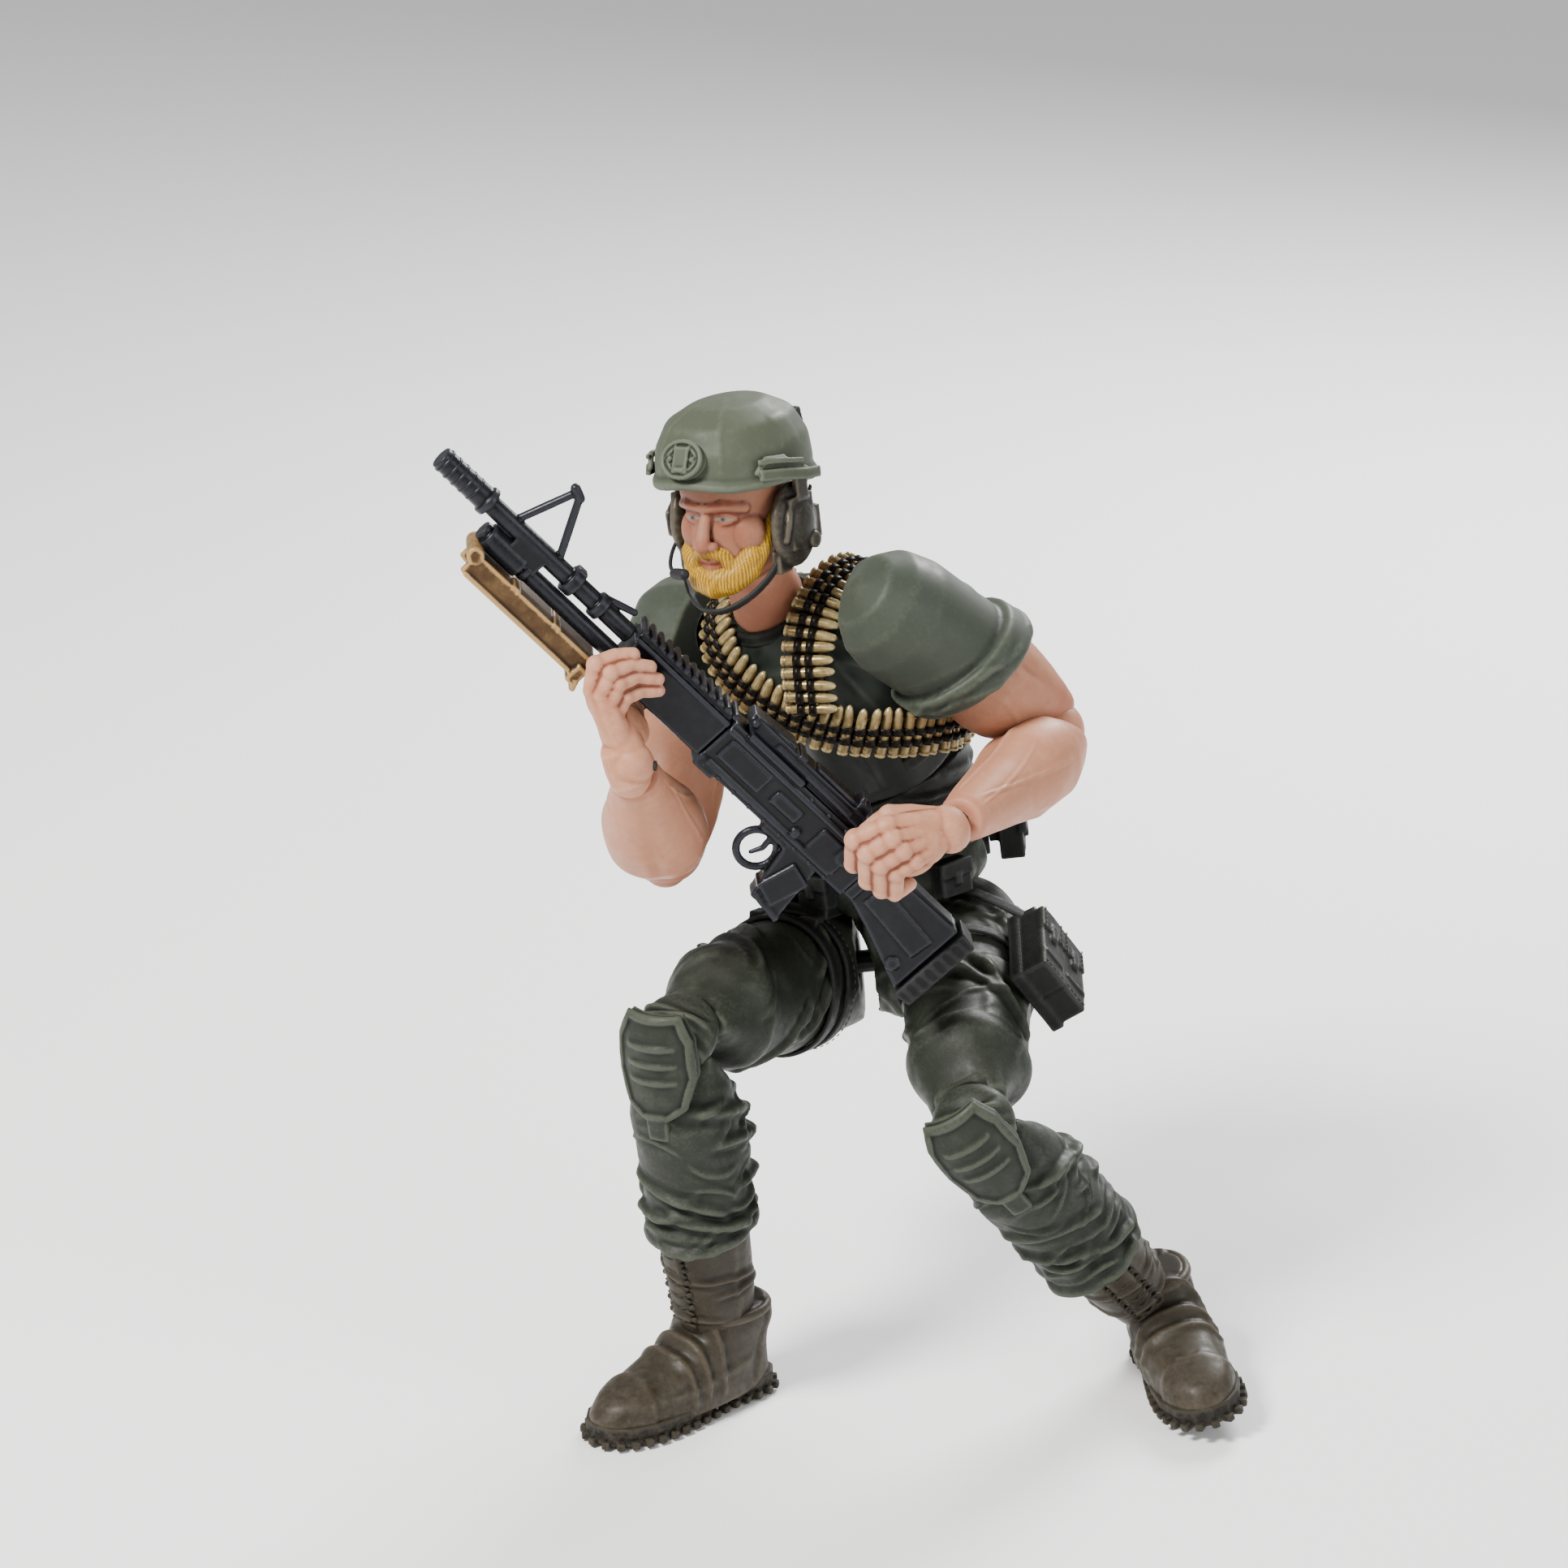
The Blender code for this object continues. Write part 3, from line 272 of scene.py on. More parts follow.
def rod(start, end, r0, r1=None, seg=20):
    # A round-ended bar from start to end.
    r1 = r0 if r1 is None else r1
    start, end = Vector(start), Vector(end)
    length = (end - start).length
    verts, faces = ball((0, 0, 0), 1.0, None, seg)
    upper = verts[:, 2] > 1e-6
    middle = np.abs(verts[:, 2]) <= 1e-6
    grown = verts * np.where(upper, r1, r0)[:, None]
    grown[middle, :2] = verts[middle, :2] * (r0 + r1) / 2
    grown[:, 2] += np.where(middle, length / 2, np.where(upper, length, 0))
    turn = (end - start).to_track_quat("Z", "Y").to_matrix()
    return grown @ np.array(turn).T + np.array(start), faces


def chain(points, radii, seg=16):
    # A soft bar through several points.
    radii = [radii] * len(points) if np.isscalar(radii) else radii
    return [rod(a, b, p, q, seg) for a, b, p, q in zip(points, points[1:], radii, radii[1:])]


def slab(centre, size, turn=None):
    corners = np.array([(x, y, z) for x in (-1, 1) for y in (-1, 1) for z in (-1, 1)], float)
    verts = corners * np.array(size) / 2
    faces = [[0, 1, 3, 2], [4, 6, 7, 5], [0, 4, 5, 1], [2, 3, 7, 6], [0, 2, 6, 4], [1, 5, 7, 3]]
    if turn is not None:
        spin = Matrix.Rotation(math.radians(turn[1]), 3, turn[0])
        verts = verts @ np.array(spin).T
    return verts + np.array(centre, float), faces


def plate(points, thick, middle=0.0, axis="Y"):
    # A flat outline given in two axes, grown evenly along the third.
    n = len(points)
    area = sum(a[0] * b[1] - b[0] * a[1] for a, b in zip(points, points[1:] + points[:1]))
    points = points if area > 0 else points[::-1]
    layers = []
    for level in (middle - thick / 2, middle + thick / 2):
        for p, q in points:
            layers.append({"X": (level, p, q), "Y": (p, level, q), "Z": (p, q, level)}[axis])
    faces = [list(range(n))[::-1], list(range(n, 2 * n))]
    faces += [[i, (i + 1) % n, n + (i + 1) % n, n + i] for i in range(n)]
    if axis == "Y":
        faces = [f[::-1] for f in faces]
    return np.array(layers, float), faces


def drum(centre, radius, length, axis="X", end=None, seg=32):
    end = radius if end is None else end
    ring = [(math.cos(a), math.sin(a)) for a in np.linspace(0, math.tau, seg, endpoint=False)]
    verts = [(c * radius, s * radius, -length / 2) for c, s in ring]
    verts += [(c * end, s * end, length / 2) for c, s in ring]
    faces = [list(range(seg))[::-1], list(range(seg, 2 * seg))]
    faces += [[i, (i + 1) % seg, seg + (i + 1) % seg, seg + i] for i in range(seg)]
    order = {"X": (2, 0, 1), "Y": (1, 2, 0), "Z": (0, 1, 2)}[axis]
    return np.array(verts)[:, order] + np.array(centre, float), faces


def band(path, wide, thick, centre=None, outs=None, bulge=0.0):
    # A flat strap along a path; its face looks away from the centre point.
    points = [Vector(p) for p in path]
    verts, faces = [], []
    profile = [(-1, 0), (1, 0), (1, 1), (0.5, 1 + bulge), (-0.5, 1 + bulge), (-1, 1)]
    n = len(profile)
    for i, point in enumerate(points):
        ahead = (points[min(i + 1, len(points) - 1)] - points[max(i - 1, 0)]).normalized()
        out = Vector(outs[i]) if outs is not None else point - Vector(centre)
        out = (out - out.dot(ahead) * ahead).normalized()
        across = ahead.cross(out)
        verts += [tuple(point + across * a * wide / 2 + out * b * thick) for a, b in profile]
    for i in range(len(points) - 1):
        for k in range(n):
            m = (k + 1) % n
            faces.append([i * n + k, i * n + m, (i + 1) * n + m, (i + 1) * n + k])
    faces += [list(range(n))[::-1], [(len(points) - 1) * n + k for k in range(n)]]
    return np.array(verts, float), [f[::-1] for f in faces]


def smoothPath(points, count):
    # An evenly spaced curve through a few points.
    points = np.array(points, float)
    padded = np.concatenate([2 * points[:1] - points[1:2], points, 2 * points[-1:] - points[-2:-1]])
    out = []
    for i in range(1, len(padded) - 2):
        a, b, c, d = padded[i - 1:i + 3]
        for t in np.linspace(0, 1, 24, endpoint=False):
            out.append(0.5 * (2 * b + (c - a) * t + (2 * a - 5 * b + 4 * c - d) * t ** 2
                + (3 * b - a - 3 * c + d) * t ** 3))
    out = np.array(out + [points[-1]])
    travel = np.r_[0, np.cumsum(np.linalg.norm(np.diff(out, axis=0), axis=1))]
    at = np.linspace(0, travel[-1], count)
    return np.stack([np.interp(at, travel, out[:, k]) for k in range(3)], 1)


def joined(parts):
    verts, faces, start = [], [], 0
    for points, polygons in parts:
        verts.append(points)
        faces += [[start + v for v in polygon] for polygon in polygons]
        start += len(points)
    return np.concatenate(verts), faces


def moved(part, matrix):
    verts, faces = part
    turn = np.array(matrix.to_3x3())
    return verts @ turn.T + np.array(matrix.translation), faces


def between(part, source, target):
    return moved(part, frames[target].inverted() @ frames[source])


def newMesh(name, verts, faces):
    mesh = bpy.data.meshes.new(name)
    mesh.from_pydata(np.asarray(verts).tolist(), [], faces)
    mesh.update()
    return mesh


def meshArrays(mesh):
    verts = np.zeros(len(mesh.vertices) * 3)
    mesh.vertices.foreach_get("co", verts)
    flat = np.zeros(len(mesh.loops), int)
    mesh.loops.foreach_get("vertex_index", flat)
    starts = np.zeros(len(mesh.polygons), int)
    mesh.polygons.foreach_get("loop_start", starts)
    faces = [part.tolist() for part in np.split(flat, starts[1:])]
    return verts.reshape(-1, 3), faces


def fuse(parts, voxel=0.2, turns=3, hold=0.0, tools=()):
    # Several closed parts become one skin; the tools are cut away from it.
    work = placedObject("work", newMesh("work", *joined(parts)))
    skin = work.modifiers.new("skin", "REMESH")
    skin.mode = "VOXEL"
    skin.voxel_size = voxel
    extra = []
    if tools:
        whole = fuse(tools, max(voxel, 0.25), 0) if len(tools) > 1 else tools[0]
        cutter = placedObject("cutter", newMesh("cutter", *whole))
        cut = work.modifiers.new("cut", "BOOLEAN")
        cut.operation, cut.solver, cut.object = "DIFFERENCE", "FAST", cutter
        extra.append(cutter)
        again = work.modifiers.new("skinAgain", "REMESH")
        again.mode, again.voxel_size = "VOXEL", voxel
    seen = work.evaluated_get(bpy.context.evaluated_depsgraph_get())
    made = bpy.data.meshes.new_from_object(seen)
    verts, faces = meshArrays(made)
    for old in [work] + extra:
        bpy.data.objects.remove(old)
    bpy.data.meshes.remove(made)
    return relax(verts, faces, turns, hold), faces


def shaped(part, relief):
    verts, faces = part
    turn = np.degrees(np.arctan2(verts[:, 0], -verts[:, 1]))
    return verts + pointNormals(verts, faces) * relief(turn, verts[:, 2], verts)[:, None], faces


def piece(name, place, part, look, body, nodes=(), masks=None, angle=None):
    # A finished piece: its place goes into the mesh, with its ridges and creases as an attribute.
    verts, faces = part
    matrix = frames[place] if isinstance(place, str) else place
    world = (verts @ np.array(matrix.to_3x3()).T + np.array(matrix.translation)) * mm
    mesh = newMesh(name, world, faces)
    values = {"ridge": hollows(verts, faces)}
    values.update(masks or {})
    for key, value in values.items():
        mesh.attributes.new(key, "FLOAT", "POINT").data.foreach_set("value", np.asarray(value, np.float32))
    mesh.polygons.foreach_set("use_smooth", [True] * len(mesh.polygons))
    if angle:
        mesh.set_sharp_from_angle(angle=math.radians(angle))
    mesh.materials.append(looks[look])
    made = placedObject(name, mesh)
    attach(made, body)
    if nodes:
        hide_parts(*nodes)


# ---- sculpting by rule ----
def bump(value, width):
    return np.exp(-(value / width) ** 2)


def step(value, soft=0.5):
    return 0.5 + 0.5 * np.tanh(value / soft)


def wrapped(angle):
    return (angle + 180) % 360 - 180


def creases(turn, z, lines, radius=7.0):
    # Cloth folds: from angle and height to angle and height, then width, height and bow.
    total = np.zeros_like(z)
    for a0, z0, a1, z1, wide, high, bow in lines:
        span = wrapped(a1 - a0)
        u = np.radians(wrapped(turn - a0)) * radius
        v = z - z0
        eu, ev = math.radians(span) * radius, z1 - z0
        length = math.hypot(eu, ev)
        eu, ev = eu / length, ev / length
        along = u * eu + v * ev
        off = -u * ev + v * eu - bow * (1 - (2 * along / length - 1) ** 2)
        fade = step(along, 0.7) * step(length - along, 0.7)
        total += 0.78 * high * fade * (bump(off, wide) - 0.55 * bump(off + 1.25 * wide, 0.75 * wide)
            - 0.30 * bump(off - 1.5 * wide, 0.9 * wide))
    return total


def scattered(seed, count, zRange, turnRange, slope, length, wide, high):
    draw = np.random.default_rng(seed)
    lines = []
    for _ in range(count):
        a, z = draw.uniform(*turnRange), draw.uniform(*zRange)
        tilt = math.radians(draw.uniform(*slope))
        reach = draw.uniform(*length)
        da, dz = math.degrees(math.cos(tilt) * reach / 7.0), math.sin(tilt) * reach
        lines.append((a - da / 2, z - dz / 2, a + da / 2, z + dz / 2, draw.uniform(*wide),
            draw.uniform(*high), draw.uniform(-0.8, 0.8)))
    return lines


def ripple(points, size, seed, layers=5):
    # A gentle unevenness with no sharp features.
    draw = np.random.default_rng(seed)
    total = np.zeros(len(points))
    for _ in range(layers):
        way = draw.normal(size=3)
        way /= np.linalg.norm(way)
        total += np.sin(points @ way * math.tau / (size * draw.uniform(0.7, 1.5))
            + draw.uniform(0, math.tau))
    return total / layers


# ---- effects shared by the finishes ----
def newGroup(name, ins, outs):
    tree = bpy.data.node_groups.new(name, "ShaderNodeTree")
    # An input with no number is a colour; so is an output called Colour.
    for label, value in ins:
        kind = "NodeSocketColor" if value is None else "NodeSocketFloat"
        made = tree.interface.new_socket(name=label, in_out="INPUT", socket_type=kind)
        if value is not None:
            made.default_value = value
    for label in outs:
        kind = "NodeSocketColor" if label == "Colour" else "NodeSocketFloat"
        tree.interface.new_socket(name=label, in_out="OUTPUT", socket_type=kind)
    return tree, tree.nodes.new("NodeGroupInput"), tree.nodes.new("NodeGroupOutput")


def mathNode(tree, operation, a, b=None, clamp=False):
    made = tree.nodes.new("ShaderNodeMath")
    made.operation, made.use_clamp = operation, clamp
    for k, value in enumerate((a, b)):
        if value is None:
            continue
        if isinstance(value, (int, float)):
            made.inputs[k].default_value = value
        else:
            tree.links.new(value, made.inputs[k])
    return made.outputs[0]


def times(tree, a, b, clamp=False):
    return mathNode(tree, "MULTIPLY", a, b, clamp)


def noiseNode(tree, scale, detail=3.0, rough=0.55, stretch=None):
    place = tree.nodes.new("ShaderNodeTexCoord").outputs["Object"]
    if stretch:
        mapping = tree.nodes.new("ShaderNodeMapping")
        mapping.inputs["Scale"].default_value = stretch
        tree.links.new(place, mapping.inputs["Vector"])
        place = mapping.outputs["Vector"]
    made = tree.nodes.new("ShaderNodeTexNoise")
    tree.links.new(place, made.inputs["Vector"])
    made.inputs["Detail"].default_value, made.inputs["Roughness"].default_value = detail, rough
    if isinstance(scale, (int, float)):
        made.inputs["Scale"].default_value = scale
    else:
        tree.links.new(scale, made.inputs["Scale"])
    return made.outputs["Fac"]


def rangeNode(tree, value, low, high, toLow=0.0, toHigh=1.0):
    made = tree.nodes.new("ShaderNodeMapRange")
    tree.links.new(value, made.inputs["Value"])
    for label, number in (("From Min", low), ("From Max", high), ("To Min", toLow), ("To Max", toHigh)):
        made.inputs[label].default_value = number
    return made.outputs["Result"]


def mixColour(tree, fac, a, b, blend="MIX"):
    made = tree.nodes.new("ShaderNodeMix")
    made.data_type, made.blend_type = "RGBA", blend
    for socket, value in ((made.inputs["Factor"], fac), (made.inputs["A"], a), (made.inputs["B"], b)):
        if isinstance(value, (int, float)):
            socket.default_value = value
        elif isinstance(value, tuple):
            socket.default_value = (*value, 1.0)
        else:
            tree.links.new(value, socket)
    return [out for out in made.outputs if out.type == "RGBA"][0]


def attributeNode(tree, name):
    made = tree.nodes.new("ShaderNodeAttribute")
    made.attribute_name = name
    return made.outputs["Fac"]


def paintedLightGroup():
    # Paint lightened on ridges as a painted highlight and darkened in creases as painted shade, with a
    # speckled edge.
    tree, given, out = newGroup("paintedRidgeLightCreaseShade", [("Colour", None), ("Ridge Colour", None),
        ("Crease Colour", None), ("Ridge Amount", 1.0), ("Crease Amount", 1.0), ("Speckle", 1800.0),
        ("Mottle", 0.25)], ["Colour", "Ridges"])
    ridge = attributeNode(tree, "ridge")
    speck = noiseNode(tree, given.outputs["Speckle"], 4.0, 0.65)
    broad = noiseNode(tree, 260.0, 4.0, 0.6)
    high = mathNode(tree, "ADD", ridge, times(tree, mathNode(tree, "SUBTRACT", speck, 0.5), 0.55))
    high = times(tree, rangeNode(tree, high, 0.06, 0.42), given.outputs["Ridge Amount"], True)
    low = times(tree, rangeNode(tree, ridge, -0.04, -0.42), given.outputs["Crease Amount"], True)
    swing = times(tree, mathNode(tree, "SUBTRACT", broad, 0.5), given.outputs["Mottle"])
    swing = mathNode(tree, "ADD", swing, 0.5)
    toned = mixColour(tree, swing, given.outputs["Crease Colour"], given.outputs["Ridge Colour"])
    base = mixColour(tree, times(tree, mathNode(tree, "ABSOLUTE", mathNode(tree, "SUBTRACT", broad, 0.5)),
        given.outputs["Mottle"], True), given.outputs["Colour"], toned)
    base = mixColour(tree, low, base, given.outputs["Crease Colour"])
    base = mixColour(tree, high, base, given.outputs["Ridge Colour"])
    tree.links.new(base, out.inputs["Colour"])
    tree.links.new(high, out.inputs["Ridges"])
    return tree


def grainGroup():
    # Fine moulded or brushed grain, as a height and as a roughness swing.
    tree, given, out = newGroup("fineGrain", [("Size", 3000.0), ("Coarse", 700.0)], ["Height", "Swing"])
    fine = noiseNode(tree, given.outputs["Size"], 3.0, 0.6)
    coarse = noiseNode(tree, given.outputs["Coarse"], 3.0, 0.55)
    tree.links.new(mathNode(tree, "ADD", times(tree, fine, 0.5), times(tree, coarse, 0.5)),
        out.inputs["Height"])
    tree.links.new(coarse, out.inputs["Swing"])
    return tree


def weaveGroup():
    # Woven cloth: two crossing sets of threads.
    tree, given, out = newGroup("wovenCloth", [("Threads", 2600.0)], ["Height"])
    place = tree.nodes.new("ShaderNodeTexCoord").outputs["Object"]
    waves = []
    for across in ("X", "Z"):
        wave = tree.nodes.new("ShaderNodeTexWave")
        wave.bands_direction = across
        wave.inputs["Distortion"].default_value = 0.6
        wave.inputs["Detail"].default_value = 1.0
        tree.links.new(place, wave.inputs["Vector"])
        tree.links.new(given.outputs["Threads"], wave.inputs["Scale"])
        waves.append(wave.outputs["Fac"])
    tree.links.new(mathNode(tree, "MAXIMUM", *waves), out.inputs["Height"])
    return tree


def dustGroup():
    # Pale dust that gathers low down and fades upward.
    tree, given, out = newGroup("floorDust", [("Colour", None), ("Dust Colour", None), ("Top", 0.012),
        ("Amount", 0.5)], ["Colour"])
    place = tree.nodes.new("ShaderNodeTexCoord").outputs["Object"]
    split = tree.nodes.new("ShaderNodeSeparateXYZ")
    tree.links.new(place, split.inputs[0])
    low = mathNode(tree, "SUBTRACT", 1.0, mathNode(tree, "DIVIDE", split.outputs["Z"],
        given.outputs["Top"]), True)
    patch = rangeNode(tree, noiseNode(tree, 900.0, 5.0, 0.65), 0.38, 0.66)
    fac = times(tree, times(tree, low, patch), given.outputs["Amount"], True)
    tree.links.new(mixColour(tree, fac, given.outputs["Colour"], given.outputs["Dust Colour"]),
        out.inputs["Colour"])
    return tree


groups = {"litRidgesShadedCreases": paintedLightGroup(), "grain": grainGroup(), "weave": weaveGroup(), "dust": dustGroup()}


def placeGroup(tree, kind, values=()):
    made = tree.nodes.new("ShaderNodeGroup")
    made.node_tree = groups[kind]
    for label, value in values:
        socket = made.inputs[label]
        if isinstance(value, tuple):
            socket.default_value = (*value, 1.0)
        elif isinstance(value, (int, float)):
            socket.default_value = value
        else:
            tree.links.new(value, socket)
    return made


def paint(name, base, ridge, crease, rough=0.6, metal=0.0, ridgeAmount=0.6, creaseAmount=0.8,
        speckle=1800.0, mottle=0.6, grain=(3000.0, 700.0), bump=0.25, depth=0.05, weave=None, dust=None,
        sheen=0.0, coat=0.0, masks=(), subsurface=0.0, shine=0.2):
    made = bpy.data.materials.new(name)
    made.use_nodes = True
    tree = made.node_tree
    shader = tree.nodes["Principled BSDF"]
    # Ridges take a painted highlight and creases painted shade before the masks and dust go on.
    paintedLit = placeGroup(tree, "litRidgesShadedCreases", [("Colour", base), ("Ridge Colour", ridge), ("Crease Colour", crease),
        ("Ridge Amount", ridgeAmount), ("Crease Amount", creaseAmount), ("Speckle", speckle),
        ("Mottle", mottle)])
    colour = paintedLit.outputs["Colour"]
    for attribute, tone, strength in masks:
        spot = times(tree, attributeNode(tree, attribute), strength, True)
        colour = mixColour(tree, spot, colour, tone)
    if dust:
        colour = placeGroup(tree, "dust", [("Colour", colour), ("Dust Colour", dust[0]), ("Top", dust[1]),
            ("Amount", dust[2])]).outputs["Colour"]
    tree.links.new(colour, shader.inputs["Base Color"])
    fine = placeGroup(tree, "grain", [("Size", grain[0]), ("Coarse", grain[1])])
    tree.links.new(rangeNode(tree, fine.outputs["Swing"], 0.3, 0.7, rough - 0.09, rough + 0.09),
        shader.inputs["Roughness"])
    height = fine.outputs["Height"]
    if weave:
        woven = placeGroup(tree, "weave", [("Threads", weave)])
        height = mathNode(tree, "ADD", times(tree, woven.outputs["Height"], 0.7), times(tree, height, 0.6))
    bumps = tree.nodes.new("ShaderNodeBump")
    bumps.inputs["Strength"].default_value = bump
    bumps.inputs["Distance"].default_value = depth * mm
    tree.links.new(height, bumps.inputs["Height"])
    tree.links.new(bumps.outputs["Normal"], shader.inputs["Normal"])
    shader.inputs["Metallic"].default_value = metal
    shader.inputs["Specular IOR Level"].default_value = shine
    if sheen:
        shader.inputs["Sheen Weight"].default_value = sheen
        shader.inputs["Sheen Roughness"].default_value = 0.5
    if coat:
        shader.inputs["Coat Weight"].default_value = coat
        shader.inputs["Coat Roughness"].default_value = 0.35
    if subsurface:
        shader.inputs["Subsurface Weight"].default_value = subsurface
        shader.inputs["Subsurface Radius"].default_value = (1.0, 0.35, 0.2)
        shader.inputs["Subsurface Scale"].default_value = 0.6 * mm
    return made


# ---- finishes ----
# Each finish lists a base colour, a lighter ridge colour that is a painted highlight and a darker crease
# colour that is painted shade, then its roughness.
looks = {"skin": paint("skinPaint", (0.4048, 0.1804, 0.1056), (0.5808, 0.3168, 0.2112),
    (0.1496, 0.0422, 0.0229), 0.47, mottle=1.1, ridgeAmount=0.55, creaseAmount=0.95, speckle=900.0,
    bump=0.15, subsurface=0.10, masks=[("flush", (0.3, 0.075, 0.042), 0.75)]),
    # The face paint is the skin paint darkened as painted shade under the helmet rim, and its eye whites are
    # painted dark as painted shade too.
    "face": paint("faceShadedPaint", (0.2592, 0.108, 0.0634), (0.3744, 0.18, 0.1116), (0.0792, 0.023, 0.013),
    0.50, mottle=1.0, ridgeAmount=0.5, creaseAmount=0.95, speckle=900.0, bump=0.15, subsurface=0.08,
    masks=[("flush", (0.21, 0.052, 0.03), 0.8), ("beard", (0.46, 0.245, 0.012), 1.0),
    # The light beard tone is a painted highlight on raised strands; the deep beard tone is painted shade in
    # the grooves between strands, plus the darker hair at the back.
    ("beardGrooveShadeAndHair", (0.085, 0.036, 0.005), 0.85), ("beardStrandHighlight", (0.72, 0.48, 0.075), 0.8),
    ("eyeWhite", (0.20, 0.17, 0.15), 1.0), ("iris", (0.022, 0.018, 0.014), 1.0)]),
    # The shirt body and its sleeves are one cloth: the sleeve paint is a lighter copy as painted light, and
    # the body paint a darker copy as painted shade.
    "shirt": paint("shirtBodyShadedPaint", (0.0223, 0.0291, 0.0242), (0.0527, 0.0632, 0.0496),
    (0.005, 0.0068, 0.0056), 0.50, mottle=0.9, ridgeAmount=0.45, grain=(4200.0, 500.0), bump=0.16,
    sheen=0.05, masks=[("covered", (0.008, 0.009, 0.008), 1.0)]),
    "sleeve": paint("sleeveLitPaint", (0.0344, 0.0424, 0.0304), (0.08, 0.0944, 0.0672),
    (0.0072, 0.0096, 0.0064), 0.52, mottle=0.9, ridgeAmount=0.5, grain=(4200.0, 500.0), bump=0.18,
    sheen=0.05), "trousers": paint("trouserPaint", (0.015, 0.018, 0.0126), (0.066, 0.075, 0.054),
    (0.0027, 0.0033, 0.0024), 0.52, ridgeAmount=0.62, creaseAmount=0.95, speckle=2400.0, mottle=1.6,
    grain=(3600.0, 900.0), bump=0.42, depth=0.07), "vest": paint("vestPaint", (0.0066, 0.0077, 0.0066),
    (0.033, 0.0363, 0.0303), (0.0014, 0.0017, 0.0014), 0.52, ridgeAmount=0.55, creaseAmount=0.9,
    weave=1500.0, bump=0.4, depth=0.06, mottle=1.0), "webbing": paint("webbingPaint",
    (0.0054, 0.006, 0.006), (0.0276, 0.03, 0.027), (0.0012, 0.0012, 0.0012), 0.52, ridgeAmount=0.5,
    weave=2300.0, bump=0.45, depth=0.06, mottle=0.9), "helmet": paint("helmetPaint",
    (0.0561, 0.0663, 0.0442), (0.119, 0.1343, 0.0952), (0.0136, 0.0161, 0.0102), 0.55, ridgeAmount=0.5,
    creaseAmount=0.85, speckle=1200.0, mottle=1.1, grain=(5200.0, 420.0), bump=0.28, depth=0.05),
    "headset": paint("headsetPaint", (0.024, 0.021, 0.017), (0.115, 0.098, 0.070), (0.004, 0.004, 0.003),
    0.40, metal=0.25, ridgeAmount=0.7, mottle=1.3, bump=0.25),
    "boot": paint("bootPaint", (0.0231, 0.0182, 0.0112), (0.0686, 0.056, 0.0378), (0.0042, 0.0034, 0.0021),
    0.48, ridgeAmount=0.55, creaseAmount=0.9, speckle=2000.0, mottle=1.4, grain=(3800.0, 1100.0), bump=0.45,
    depth=0.05, dust=((0.11, 0.092, 0.066), 0.013, 0.4)), "sole": paint("solePaint",
    (0.007, 0.0063, 0.0049), (0.0385, 0.0322, 0.0224), (0.0014, 0.0014, 0.0011), 0.64, ridgeAmount=0.6,
    mottle=1.0, bump=0.4, dust=((0.095, 0.08, 0.058), 0.005, 0.45)),
    "gun": paint("gunPaint", (0.0031, 0.0034, 0.0051), (0.0276, 0.0294, 0.0384), (0.0006, 0.0006, 0.0008),
    0.34, metal=0.25, ridgeAmount=0.5, creaseAmount=0.8, speckle=2600.0, mottle=1.0, grain=(5200.0, 1300.0),
    bump=0.2, coat=0.05), "rubber": paint("rubberPaint", (0.005, 0.005, 0.0055), (0.028, 0.028, 0.030),
    (0.001, 0.001, 0.001), 0.58, ridgeAmount=0.5, bump=0.45, grain=(4200.0, 1500.0)),
    "bronze": paint("bronzePaint", (0.054, 0.027, 0.0108), (0.45, 0.279, 0.1125), (0.009, 0.0054, 0.0027),
    0.40, metal=0.35, ridgeAmount=0.8, speckle=2200.0, mottle=1.2, bump=0.3),
    "steel": paint("steelPaint", (0.030, 0.030, 0.034), (0.22, 0.22, 0.23), (0.006, 0.006, 0.007), 0.32,
    metal=0.6, ridgeAmount=0.6, mottle=0.9, bump=0.2), "buckle": paint("bucklePaint", (0.50, 0.50, 0.50),
    (0.75, 0.75, 0.75), (0.08, 0.08, 0.08), 0.35, metal=0.5, ridgeAmount=0.6, mottle=0.6, bump=0.2),
    "brass": paint("brassPaint", (0.11, 0.0633, 0.0209), (0.473, 0.374, 0.1815), (0.0088, 0.0044, 0.0022),
    0.34, metal=0.45, ridgeAmount=0.95, creaseAmount=1.0, speckle=1500.0, mottle=1.3, bump=0.25),
    "link": paint("linkPaint", (0.018, 0.0108, 0.006), (0.12, 0.075, 0.0348), (0.0024, 0.0017, 0.0012),
    0.42, metal=0.4, ridgeAmount=0.6, mottle=1.0, bump=0.25),
    "peg": paint("pegPaint", (0.012, 0.0132, 0.0108), (0.042, 0.045, 0.036), (0.003, 0.003, 0.0024), 0.5,
    ridgeAmount=0.4, bump=0.2),}
print("finishes ready:", len(looks))


